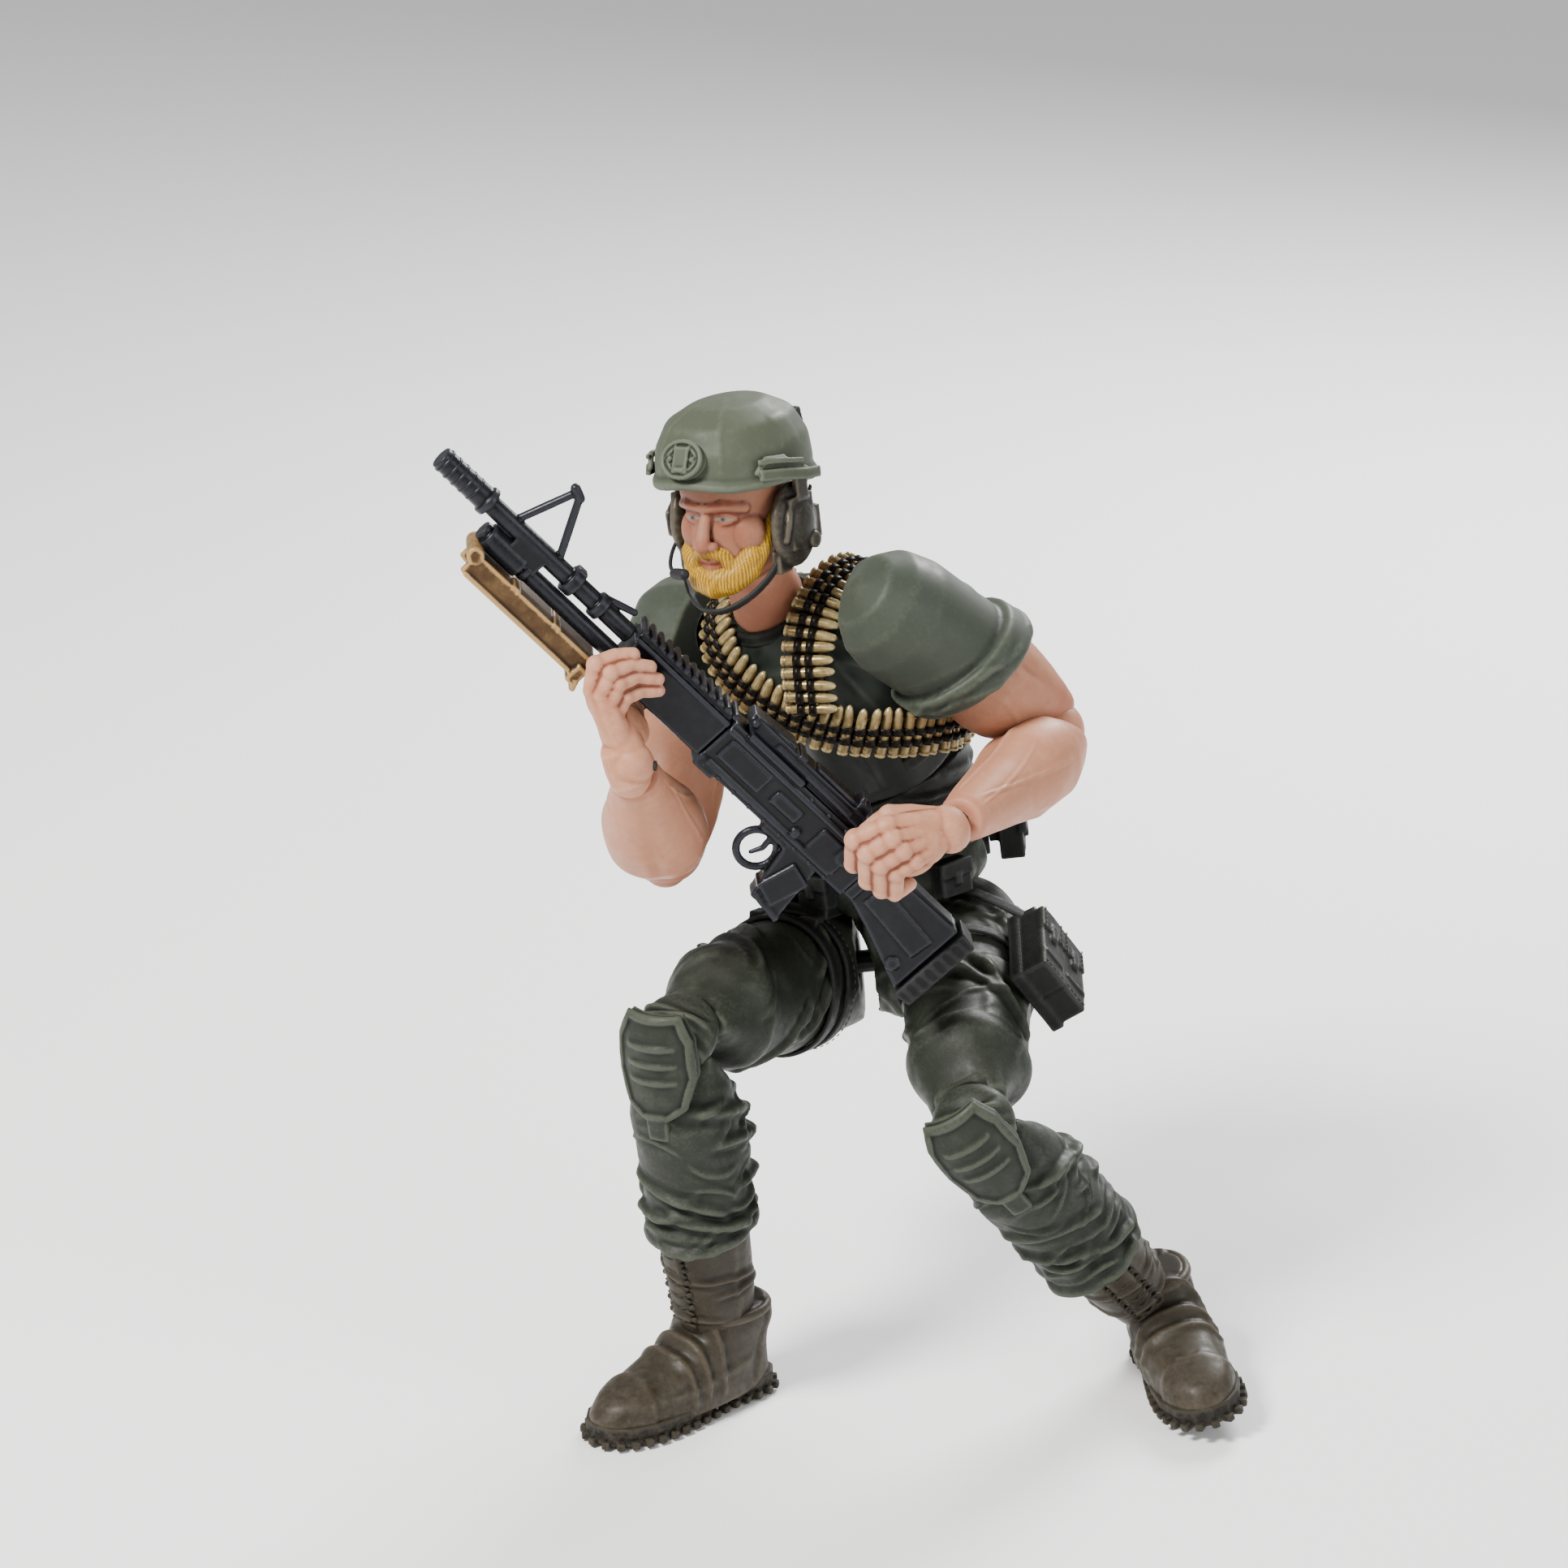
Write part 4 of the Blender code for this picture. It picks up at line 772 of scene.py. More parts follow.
# ---- rows of small parts, made by geometry nodes ----
def rowTree():
    # Copies of one item stand along a path, each facing along it and away from the piece.
    tree = bpy.data.node_groups.new("rowAlongPath", "GeometryNodeTree")
    face = tree.interface
    face.new_socket(name="Geometry", in_out="INPUT", socket_type="NodeSocketGeometry")
    for label, kind, value in (("Item", "NodeSocketObject", None), ("Spacing", "NodeSocketFloat", 1.0),
            ("Size", "NodeSocketFloat", 1.0), ("Jitter", "NodeSocketFloat", 0.0),
            ("Seed", "NodeSocketInt", 3), ("Finish", "NodeSocketMaterial", None)):
        made = face.new_socket(name=label, in_out="INPUT", socket_type=kind)
        if value is not None:
            made.default_value = value
    face.new_socket(name="Geometry", in_out="OUTPUT", socket_type="NodeSocketGeometry")
    add, link = tree.nodes.new, tree.links.new
    given, out = add("NodeGroupInput"), add("NodeGroupOutput")
    curve, resample = add("GeometryNodeMeshToCurve"), add("GeometryNodeResampleCurve")
    resample.mode = "LENGTH"
    link(given.outputs["Geometry"], curve.inputs[0])
    link(curve.outputs[0], resample.inputs["Curve"])
    link(given.outputs["Spacing"], resample.inputs["Length"])
    outward, tangent = add("GeometryNodeInputNamedAttribute"), add("GeometryNodeInputTangent")
    outward.data_type = "FLOAT_VECTOR"
    outward.inputs["Name"].default_value = "outward"
    first, second = add("FunctionNodeAlignRotationToVector"), add("FunctionNodeAlignRotationToVector")
    first.axis, second.axis, second.pivot_axis = "Z", "X", "Z"
    link(outward.outputs["Attribute"], first.inputs["Vector"])
    link(tangent.outputs[0], second.inputs["Vector"])
    link(first.outputs["Rotation"], second.inputs["Rotation"])
    wobble = add("FunctionNodeRandomValue")
    wobble.data_type = "FLOAT_VECTOR"
    spread = add("ShaderNodeVectorMath")
    spread.operation = "SCALE"
    spread.inputs[0].default_value = (1, 1, 1)
    link(given.outputs["Jitter"], spread.inputs["Scale"])
    flip = add("ShaderNodeVectorMath")
    flip.operation = "SCALE"
    flip.inputs["Scale"].default_value = -1.0
    link(spread.outputs[0], flip.inputs[0])
    link(flip.outputs[0], wobble.inputs["Min"])
    link(spread.outputs[0], wobble.inputs["Max"])
    link(given.outputs["Seed"], wobble.inputs["Seed"])
    turn, toTurn = add("FunctionNodeRotateRotation"), add("FunctionNodeEulerToRotation")
    turn.rotation_space = "LOCAL"
    link(wobble.outputs[0], toTurn.inputs[0])
    link(second.outputs["Rotation"], turn.inputs["Rotation"])
    link(toTurn.outputs[0], turn.inputs["Rotate By"])
    info, stand = add("GeometryNodeObjectInfo"), add("GeometryNodeInstanceOnPoints")
    link(given.outputs["Item"], info.inputs["Object"])
    link(resample.outputs[0], stand.inputs["Points"])
    link(info.outputs["Geometry"], stand.inputs["Instance"])
    link(turn.outputs["Rotation"], stand.inputs["Rotation"])
    link(given.outputs["Size"], stand.inputs["Scale"])
    real, dress = add("GeometryNodeRealizeInstances"), add("GeometryNodeSetMaterial")
    link(stand.outputs[0], real.inputs[0])
    link(real.outputs[0], dress.inputs["Geometry"])
    link(given.outputs["Finish"], dress.inputs["Material"])
    link(dress.outputs[0], out.inputs[0])
    return tree


rowsTree = rowTree()


def item(name, part):
    # A small part in millimetres: X runs along its row, Z away from the piece.
    verts, faces = part
    mesh = newMesh(name, verts * mm, faces)
    mesh.attributes.new("ridge", "FLOAT", "POINT").data.foreach_set("value",
        np.asarray(hollows(verts, faces, 0.25), np.float32))
    return placedObject(name, mesh)


def row(name, place, paths, thing, spacing, look, body, size=1.0, jitter=0.0, smooth=True):
    # Paths are lists of points with the outward direction at each.
    matrix = frames[place] if isinstance(place, str) else place
    turn = np.array(matrix.to_3x3())
    points, edges, outs, start = [], [], [], 0
    for path, outward in paths:
        path, outward = np.asarray(path, float), np.asarray(outward, float)
        points.append((path @ turn.T + np.array(matrix.translation)) * mm)
        outs.append(outward @ turn.T)
        edges += [(start + k, start + k + 1) for k in range(len(path) - 1)]
        start += len(path)
    mesh = bpy.data.meshes.new(name + "Path")
    mesh.from_pydata(np.concatenate(points).tolist(), edges, [])
    mesh.attributes.new("outward", "FLOAT_VECTOR", "POINT").data.foreach_set("vector",
        np.concatenate(outs).ravel())
    carrier = placedObject(name + "Path", mesh)
    grow = carrier.modifiers.new("row", "NODES")
    grow.node_group = rowsTree
    socketShade = {s.name: s.identifier for s in rowsTree.interface.items_tree if s.in_out == "INPUT"}
    for label, value in (("Item", thing), ("Spacing", spacing * mm), ("Size", size), ("Jitter", jitter),
            ("Seed", 7), ("Finish", looks[look])):
        grow[socketShade[label]] = value
    seen = carrier.evaluated_get(bpy.context.evaluated_depsgraph_get())
    final = bpy.data.meshes.new_from_object(seen)
    bpy.data.objects.remove(carrier)
    final.name = name
    final.polygons.foreach_set("use_smooth", [smooth] * len(final.polygons))
    made = placedObject(name, final)
    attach(made, body)


def around(height, rx, ry, first, last, count=40, dx=0.0, dy=0.0, square=2.2, lift=0.0):
    # A path round a limb at one height (or a pair of heights), with its outward directions.
    turns = np.radians(np.linspace(first, last, count))
    s, c = np.sin(turns), -np.cos(turns)
    x, y = np.sign(s) * np.abs(s) ** (2 / square) * rx + dx, np.sign(c) * np.abs(c) ** (2 / square) * ry + dy
    heights = np.linspace(height, height + lift, count)
    out = np.stack([np.sign(s) * np.abs(s) ** (2 - 2 / square) / rx,
        np.sign(c) * np.abs(c) ** (2 - 2 / square) / ry, 0 * s], 1)
    return np.stack([x, y, heights], 1), out / np.linalg.norm(out, axis=1)[:, None]


# ---- pelvis, belt and lower vest ----
hipSettings = {"pelvis": [(14.6, 11.0, 8.0), (12.4, 12.2, 8.9), (10.6, 12.4, 9.0), (9.0, 11.2, 8.4),
    (6.6, 5.0, 7.6), (2.0, 4.2, 7.2), (-3.0, 4.1, 6.6), (-6.4, 3.4, 4.6), (-7.2, 1.4, 2.4)], "foldSeed": 5,
    "beltTop": 13.9, "beltLow": 10.3}


def hipRooms(grown):
    rooms = []
    for side in ("left", "right"):
        at = frames["pelvis"].inverted() @ jointAt(f"{side}_hip_swing")
        rooms.append(ball(tuple(at), grown, None, 40))
    return rooms


def makeHips():
    lines = scattered(hipSettings["foldSeed"], 16, (-6, 9), (-60, 60), (40, 140), (4, 9), (0.4, 0.8),
        (0.25, 0.5))

    def relief(turn, z, points):
        fly = 0.35 * step(1.0 - np.abs(points[:, 0]), 0.15) * step(-points[:, 1]) * step(9.0 - z)
        return creases(turn, z, lines, 7.0) + fly + 0.12 * ripple(points, 7, 2)

    part = tube(hipSettings["pelvis"], 112, 0.3, 2.3, relief, 1.0)
    part = fuse([part], 0.26, 1, 0.0, hipRooms(8.1))
    piece("hips", "pelvis", part, "trousers", "pelvis", ["pelvis"])
    rings = [(hipSettings["beltTop"], 13.0, 9.6), (13.3, 13.5, 10.1), (11.0, 13.7, 10.2),
        (hipSettings["beltLow"], 13.3, 9.9)]

    def beltRelief(turn, z, points):
        return 0.10 * np.sin(z * 6.0) + 0.1 * ripple(points, 9, 4)

    belt = fuse([tube(rings, 120, 0.25, 2.3, beltRelief, 0.3)], 0.25, 1, 0.0,
        [tube([(16, 11.6, 8.5), (8, 11.9, 8.7)], 60, 1.0, 2.3)] + hipRooms(7.9))
    piece("beltBand", "pelvis", belt, "webbing", "pelvis", ["belt"])
    pouches = []
    for turn in (-62, -38, 38, 128, -128):
        a = math.radians(turn)
        at = Vector((math.sin(a) * 12.4, -math.cos(a) * 9.6, 11.6))
        spin = Matrix.Rotation(a, 4, "Z") @ Matrix.Identity(4)
        place = Matrix.Translation(at) @ spin
        box = fuse([slab((0, -0.8, 0), (4.4, 2.4, 4.2)), slab((0, -1.9, 1.3), (4.7, 0.7, 1.9)),
            slab((0, -2.2, 0.2), (0.9, 0.5, 1.7))], 0.16, 3)
        pouches.append(moved(box, place))
    pouches = [p for p in pouches]
    piece("beltPouches", "pelvis", joined(pouches), "webbing", "pelvis", ())
    pouch = fuse([slab((15.4, 4.2, 12.4), (3.0, 5.6, 5.0)), slab((16.9, 4.2, 14.1), (1.0, 6.0, 1.9)),
        slab((17.2, 4.2, 12.9), (0.6, 1.1, 2.2)), slab((13.6, 4.2, 13.0), (1.8, 3.6, 2.0)),
        slab((16.7, 4.2, 11.0), (0.7, 4.8, 0.5))], 0.14, 3)
    piece("backPouch", "pelvis", pouch, "webbing", "pelvis", ["back_pouch"])


def abdomenParts():
    top = frames["abdomen"].inverted() @ frames["chest"].translation
    rings = []
    for rise, halfX, halfY in ((3.9, 10.2, 7.8), (0.5, 10.8, 8.3), (-3.0, 11.2, 8.6), (-6.4, 11.8, 9.0),
            (0.5 - top.z, 12.2, 9.3)):
        lean = (top.z + rise) / top.z
        rings.append((top.z + rise, halfX, halfY, top.x * lean, top.y * lean))
    return rings, top


def makeAbdomen():
    rings, top = abdomenParts()

    def relief(turn, z, points):
        # Rows of sewn webbing on the lower vest, with a tucked edge.
        rowsHigh = 0.28 * step(0.22 - np.abs((z - 0.2) % 2.5 - 1.25) / 2.0, 0.05)
        ties = step(np.abs((turn % 24) - 12) - 1.8, 0.5)
        skirt = creases(turn, z, scattered(31, 22, (0.5, top.z + 1), (-180, 180), (-30, 30), (3, 8),
            (0.35, 0.6), (0.25, 0.5)), 9.0)
        return rowsHigh * ties + skirt + 0.15 * ripple(points, 6, 9)

    body = tube(rings, 144, 0.28, 2.3, relief, 0.6)
    room = between(slab((0, 0, 10.4), (40, 40, 20)), "chest", "abdomen")
    body = fuse([body], 0.26, 1, 0.0, [room])
    dome = between(ball((0, 0, 0), 7.4, None, 60), "chest", "abdomen")
    piece("lowerVest", "abdomen", joined([body, dome]), "vest", "abdomen", ["abdomen"])


# ---- chest ----
chestSettings = {"rings": [(27.4, 4.6, 4.4, 0, -1), (26.6, 7.0, 5.8, 0, -0.6), (24.8, 9.8, 7.2),
    (21.5, 11.3, 8.4), (16.0, 12.0, 9.2), (10.5, 12.0, 9.4), (5.0, 11.8, 8.9), (1.6, 11.4, 8.6)],
    "plateHalf": 46, "plateLow": 3.4, "plateTop": 23.4, "plateRise": 0.55}


def makeChest():
    s = chestSettings
    lines = [(62, 22, 84, 12, 0.6, 0.5, 0.6), (58, 24, 70, 8, 0.5, 0.35, -0.5),
        (-62, 22, -84, 12, 0.6, 0.5, -0.6), (75, 10, 120, 8, 0.6, 0.5, 0.4),
        (70, 6, 118, 5, 0.6, 0.45, 0.4), (-75, 10, -120, 8, 0.6, 0.5, 0.4),
        (140, 20, 176, 12, 0.8, 0.5, 0.8), (-140, 20, -176, 12, 0.8, 0.5, -0.8),
        (150, 9, 200, 7, 0.7, 0.4, 0.4)]

    def relief(turn, z, points):
        pecs = 0.9 * bump(np.abs(turn) - 30, 24) * bump(z - 16.5, 6.0) - 0.7 * bump(turn, 7) * bump(z - 16,
            7)
        blades = 0.8 * bump(np.abs(turn) - 148, 20) * bump(z - 18, 6) - 0.6 * bump(wrapped(turn - 180),
            8) * step(24 - z)
        edge = s["plateHalf"] + 0.5 * (z - 14)
        plateMask = (step(edge - np.abs(turn), 1.3) * step(z - s["plateLow"],
            0.25) * step(s["plateTop"] - z, 0.3))
        seam = -0.30 * bump(np.abs(turn) - edge + 5.5, 0.9) * step(z - s["plateLow"]) * step(s["plateTop"]
            - z)
        return pecs + blades + s["plateRise"] * plateMask + seam + creases(turn, z, lines,
            10) + 0.1 * ripple(points, 9, 8)

    body = tube(s["rings"], 160, 0.28, 2.3, relief, 0.8)
    tools = [ball((0, 0, 0), 8.2, None, 60)]
    for side in ("left", "right"):
        sign = 1 if side == "left" else -1
        at = frames["chest"].inverted() @ jointAt(f"{side}_shoulder_swing")
        tools.append(drum((sign * (abs(at.x) - 4.2 + 7), at.y, at.z), 7.9, 14, "X", None, 64))
    body = fuse([body], 0.26, 1, 0.0, tools)
    # Below the crossing ammunition belt the shirt is covered by the dark vest.
    spots = body[0]
    border = np.where(spots[:, 1] < 1.0, np.clip(17.0 - 0.9 * (spots[:, 0] - 5.0), 6.0, 19.0), 15.0)
    piece("torsoShirt", "chest", body, "shirt", "chest", ["chest"],
        {"covered": step(border - spots[:, 2], 0.3)})
    collar = []
    for height, wide, deep, thick in ((26.4, 5.4, 5.2, 0.55), (27.2, 4.9, 4.8, 0.5)):
        path = around(height, wide, deep, -180, 180, 49, 0, -1.0)[0]
        collar += chain([tuple(p) for p in path], thick, 10)
    piece("shirtCollar", "chest", fuse(collar, 0.2, 2), "vest", "chest", ())


def makeTorsoGear():
    # Straps over the shoulders and round the sides of the vest.
    straps = []
    for sign in (-1, 1):
        path = smoothPath([(sign * 6.6, 8.9, 8), (sign * 6.6, 9.0, 15), (sign * 6.8, 7.8, 21.5),
            (sign * 7.0, 4.6, 25.2), (sign * 7.0, -0.6, 26.0), (sign * 6.8, -5.0, 24.3),
            (sign * 6.5, -8.4, 20.0)], 36)
        straps.append(band(path, 3.0, 0.8, (0, 0, 12)))
    for height in (5.4, 9.4):
        for first, last in ((52, 128), (-52, -128)):
            path, out = around(height, 12.0, 9.2, first, last, 24)
            straps.append(band(path, 1.8, 0.55, None, out))
    piece("vestStraps", "chest", fuse(straps, 0.2, 2), "webbing", "chest", ())
    lower = frames["abdomen"].inverted() @ frames["chest"]
    packs = []
    for turn, tall in ((-46, 5.0), (-20, 5.4), (10, 5.4), (36, 5.2)):
        a = math.radians(turn)
        place = Matrix.Translation((math.sin(a) * 11.2, -math.cos(a) * 8.8, -0.4)) @ Matrix.Rotation(a, 4,
            "Z")
        box = fuse([slab((0, -0.5, -1.0), (4.4, 2.0, tall)), slab((0, -1.5, 0.9), (4.7, 0.6, 1.9)),
            slab((0, -1.7, -0.3), (0.9, 0.5, 1.8))], 0.16, 3)
        packs.append(moved(box, lower @ place @ Matrix.Translation((0, 0, -3.2))))
    piece("vestPouches", "abdomen", joined(packs), "vest", "abdomen", ())


makeHips()
makeAbdomen()
makeChest()
makeTorsoGear()
print("torso made")


# ---- legs ----
legSettings = {"left": {"upper": (jointAt("left_knee_upper") - jointAt("left_hip_swing")).length,
    "lower": (jointAt("left_ankle_pitch") - jointAt("left_knee_lower")).length,
    "thighFolds": [(-70, -4, 20, -11, 0.9, 0.75, 1.0), (-60, -9, 30, -17, 0.8, 0.65, 1.2),
    (60, -3, 95, -16, 0.8, 0.7, 0.8), (-20, -15, 70, -20, 0.8, 0.7, 0.8),
    (40, -14, 110, -23, 0.8, 0.85, -0.8), (100, -8, 170, -14, 0.9, 0.8, 0.6),
    (-110, -6, -170, -15, 0.9, 0.8, 0.6), (-90, -16, -30, -24, 0.7, 0.55, 0.8)],
    "shinFolds": [(-60, -9, 60, -13, 0.7, 0.75, 1.0), (-80, -13, 40, -17, 0.7, 0.85, 0.8),
    (-40, -16, 80, -19.5, 0.6, 0.8, 0.8), (30, -3, 120, -9, 0.8, 0.8, 0.8),
    (80, -7, 200, -12, 0.8, 0.9, 1.0), (100, -12, 220, -17, 0.7, 0.9, 0.8)], "seed": 3},
    "right": {"upper": (jointAt("right_knee_upper") - jointAt("right_hip_swing")).length,
    "lower": (jointAt("right_ankle_pitch") - jointAt("right_knee_lower")).length,
    "thighFolds": [(-80, -14, 10, -22, 0.9, 0.8, 1.4), (-60, -20, 40, -27, 0.8, 0.75, 1.0),
    (60, -12, 130, -20, 0.9, 0.9, 0.8), (90, -18, 170, -27, 0.8, 0.8, 0.8),
    (-100, -16, -170, -24, 0.9, 0.8, 0.8), (0, -8, 70, -16, 0.8, 0.6, 0.8),
    (150, -6, 220, -16, 0.9, 0.9, 0.8)], "shinFolds": [(40, -2, 150, -8, 0.9, 0.9, 0.8),
    (60, -7, 180, -13, 0.8, 0.85, 0.8), (-60, -12, 60, -16.5, 0.7, 0.8, 0.8),
    (-30, -16, 100, -20, 0.7, 0.9, 0.6), (-160, -10, -60, -16, 0.8, 0.85, 0.8),
    (90, -14, 220, -19, 0.7, 0.9, 0.6)], "seed": 8}}
hemAt = -21.5


def makeThigh(side):
    s, sign = legSettings[side], (1 if side == "left" else -1)
    upper = s["upper"]
    fine = scattered(s["seed"], 26, (-upper + 3, -1), (-180, 180), (-50, 50), (3, 8), (0.35, 0.65),
        (0.18, 0.42))

    def relief(turn, z, points):
        outer = wrapped(turn - sign * 92)
        seam = 0.22 * bump(outer, 3.2) * step(-z - 1) * step(z + upper - 3)
        pocket = 0.35 * step(30 - np.abs(outer + sign * 14), 2.5) * step(-z - 13.5, 0.2) * step(z + 24.5,
            0.2)
        flap = 0.32 * step(31 - np.abs(outer + sign * 14), 2.0) * step(-z - 13.0, 0.15) * step(z + 16.6,
            0.15)
        knee = 0.5 * bump(z + upper - 5.5, 1.4) * step(-upper + 12 - z)
        return (creases(turn, z, s["thighFolds"], 7.5) + creases(turn, z, fine, 7.5) + seam + pocket + flap
            + knee + 0.14 * ripple(points, 8, s["seed"]))

    rings = [(7.6, 1.2, 1.2), (6.4, 4.6, 4.6), (3.8, 6.7, 6.7), (0.0, 7.6, 7.7), (-7.0, 7.7, 7.9),
        (-15.0, 7.3, 8.0), (-upper + 7.5, 6.7, 7.4), (-upper + 4.2, 6.6, 6.9), (-upper + 2.8, 6.0, 5.9),
        (-upper + 1.2, 5.5, 4.2), (-upper - 0.6, 5.1, 3.0), (-upper - 2.4, 4.8, 1.6)]
    part = tube(rings, 144, 0.26, 2.15, relief, 0.7)
    hub, own = frames[f"{side}_hip_hub"], frames[f"{side}_thigh"]
    inward = own.inverted().to_3x3() @ hub.to_3x3() @ Vector((-sign, 0, 0))
    turn = inward.to_track_quat("X", "Z").to_matrix().to_4x4()
    face = moved(drum((0, 0, 0), 9.4, 10, "X", None, 64), Matrix.Translation(inward * (3.7 + 5)) @ turn)
    well = ball((0, 0, 0), 3.8, None, 40)
    throat = moved(drum((0, 0, 0), 3.6, 9, "X", None, 32), Matrix.Translation(inward * 4.5) @ turn)
    part = fuse([part], 0.25, 1, 0.0, [face, well, throat])
    piece(f"{side}TrouserThigh", f"{side}_thigh", part, "trousers", f"{side}_thigh", [f"{side}_thigh"])


def makeKnee(side):
    # The double hinge's floating piece, with its strapped outer cap.
    span = 7.4
    tongue = [rod((-1.5, 0, 0), (1.5, 0, 0), 3.1), rod((-1.5, 0, -span), (1.5, 0, -span), 3.1),
        slab((0, 0, -span / 2), (3.5, 5.6, span))]
    cap = [ball((0, -3.6, -span / 2), (5.2, 2.9, 5.0), None, 40),
        ball((0, -2.6, -span / 2), (4.6, 3.0, 4.2)), drum((0, 0, 0), 0.9, 7.2),
        drum((0, 0, -span), 0.9, 7.2)]
    strapPath, out = around(-span / 2 + 0.6, 5.5, 6.7, -52, 52, 20, 0, 0.0)
    strap = band(strapPath, 1.7, 0.45, None, out)

    def relief(turn, z, points):
        folds = creases(turn, z, [(-50, -1.5, 40, -3.0, 0.5, 0.4, 0.4),
            (-40, -5.4, 50, -6.2, 0.5, 0.45, 0.4)], 5.0)
        return folds + 0.1 * ripple(points, 5, 6)

    part = shaped(fuse(tongue + cap + [strap], 0.2, 3), relief)
    piece(f"{side}KneeLink", f"{side}_knee", part, "trousers", f"{side}_knee_link", [f"{side}_knee_link"])


def makeShin(side):
    s = legSettings[side]
    fine = scattered(s["seed"] + 20, 34, (hemAt + 1, -2), (-180, 180), (-35, 35), (3, 7), (0.3, 0.55),
        (0.2, 0.45))
    sag = scattered(s["seed"] + 40, 18, (hemAt + 0.5, -14), (-180, 180), (-14, 14), (4, 9), (0.45, 0.7),
        (0.35, 0.65))

    def relief(turn, z, points):
        calf = 0.7 * bump(wrapped(turn - 180), 60) * bump(z + 8, 6)
        hem = 0.3 * bump(z - hemAt - 0.9, 0.5) - 0.25 * bump(z - hemAt - 1.9, 0.4)
        return (creases(turn, z, s["shinFolds"], 6.5) + creases(turn, z, fine, 6.5)
            + creases(turn, z, sag, 6.5) + calf + hem + 0.15 * ripple(points, 6, s["seed"] + 2))

    rings = [(3.2, 4.6, 1.0), (2.0, 5.0, 2.6), (0.0, 5.4, 3.9), (-1.6, 5.9, 5.0), (-4.4, 6.2, 6.1),
        (-10.0, 6.3, 6.6, 0, 0.6), (-17.0, 6.2, 6.5, 0, 0.4), (hemAt + 1.6, 6.6, 6.8),
        (hemAt + 0.4, 6.3, 6.5), (hemAt, 5.6, 5.8)]
    part = tube(rings, 144, 0.25, 2.15, relief, 0.5)
    piece(f"{side}TrouserShin", f"{side}_shin", part, "trousers", f"{side}_shin", [f"{side}_shin"])
    makeKneePad(side)


padRise = {"left": 9.6, "right": 8.6}


def makeKneePad(side):
    # A shell with three raised bars inside a rim, and a tab below.
    parts = []
    outlinePoints = [(-3.2, 1.2), (3.2, 1.2), (4.4, -1.0), (4.6, -4.6), (3.5, -7.6), (1.6, -8.6),
        (-1.6, -8.6), (-3.5, -7.6), (-4.6, -4.6), (-4.4, -1.0)]
    parts.append(plate(outlinePoints, 1.5, 0.0, "Y"))
    rim = [(x * 0.96, -0.8, z) for x, z in outlinePoints] + [(outlinePoints[0][0] * 0.96, -0.8,
        outlinePoints[0][1])]
    parts += chain(rim, 0.42, 12)
    for k in range(3):
        z = -1.4 - 1.75 * k
        parts += chain([(-2.7, -0.75, z), (0, -0.8, z), (2.7, -0.75, z)], [0.36, 0.40, 0.36], 12)
    parts.append(slab((0, -0.5, -9.8), (2.6, 0.8, 3.0)))
    verts, faces = fuse(parts, 0.15, 3)
    verts = verts * np.array((1.05, 1.0, 1.22)) + np.array((0, 0, padRise[side]))
    bend = verts[:, 0] ** 2 * 0.085 + np.maximum(0, verts[:, 2] - 5.0) ** 2 * 0.06
    drop = -4.9 - 0.10 * np.clip(6.0 - verts[:, 2], 0, 6.0) + bend
    verts = verts + np.stack([0 * drop, drop, 0 * drop], 1)
    piece(f"{side}KneePad", f"{side}_shin", (verts, faces), "trousers", f"{side}_shin",
        [f"{side}_knee_pad"])


def makeBootShaft(side):
    s = legSettings[side]
    drop = s["lower"] + hemAt
    lines = [(-70, -3, 20, -4.6, 0.4, 0.35, 0.3), (30, -4.5, 140, -6.6, 0.5, 0.45, 0.4),
        (60, -7, 180, -8.4, 0.45, 0.45, 0.3), (-150, -5, -60, -7.6, 0.45, 0.4, 0.3),
        (-60, -drop + 4.6, 60, -drop + 3.4, 0.4, 0.4, 0.3)]

    def relief(turn, z, points):
        tongue = 0.25 * step(17 - np.abs(turn), 1.2) - 0.35 * bump(np.abs(turn) - 19, 2.0)
        stay = 0.22 * bump(np.abs(turn) - 90, 7.0) + 0.25 * bump(wrapped(turn - 180), 12)
        return (creases(turn, z, lines, 5) + (tongue + stay) * step(-z - 0.4) * step(z + drop - 2.4)
            + 0.06 * ripple(points, 4, 11))

    rings = [(2.0, 3.6, 3.8), (1.4, 4.8, 5.1), (-0.4, 5.1, 5.5), (-4.0, 4.8, 5.3), (-drop + 5.0, 4.5, 5.1),
        (-drop + 3.2, 4.2, 4.9), (-drop + 1.2, 3.9, 4.5), (-drop - 0.4, 3.4, 3.9), (-drop - 1.6, 2.4, 2.8)]
    part = tube(rings, 112, 0.2, 2.2, relief, 0.5)
    piece(f"{side}BootShaft", f"{side}_boot", part, "boot", f"{side}_boot_shaft", [f"{side}_boot_shaft"])
    lace = []
    count = 6
    for k in range(count):
        z = -0.6 - k * (drop - 3.2) / count
        front = -5.5 + 0.05 * k
        lace += chain([(-1.9, front + 0.35, z), (0, front - 0.15, z - 0.65), (1.9, front + 0.35, z - 1.1)],
            0.26, 8)
        lace += chain([(1.9, front + 0.35, z), (0, front - 0.15, z - 0.65), (-1.9, front + 0.35, z - 1.1)],
            0.26, 8)
        for sign in (-1, 1):
            lace.append(ball((sign * 2.0, front + 0.45, z - 0.1), 0.42, None, 10))
    piece(f"{side}BootLaces", f"{side}_boot", fuse(lace, 0.12, 2), "sole", f"{side}_boot_shaft", ())


footSettings = {"sole": [(0, -19.4), (2.2, -18.9), (4.0, -17.0), (5.0, -13.6), (5.1, -9.5), (4.5, -4.6),
    (3.9, -0.5), (4.1, 3.0), (3.6, 5.6), (2.0, 7.0), (0, 7.4)], "soleDrop": -9.5}


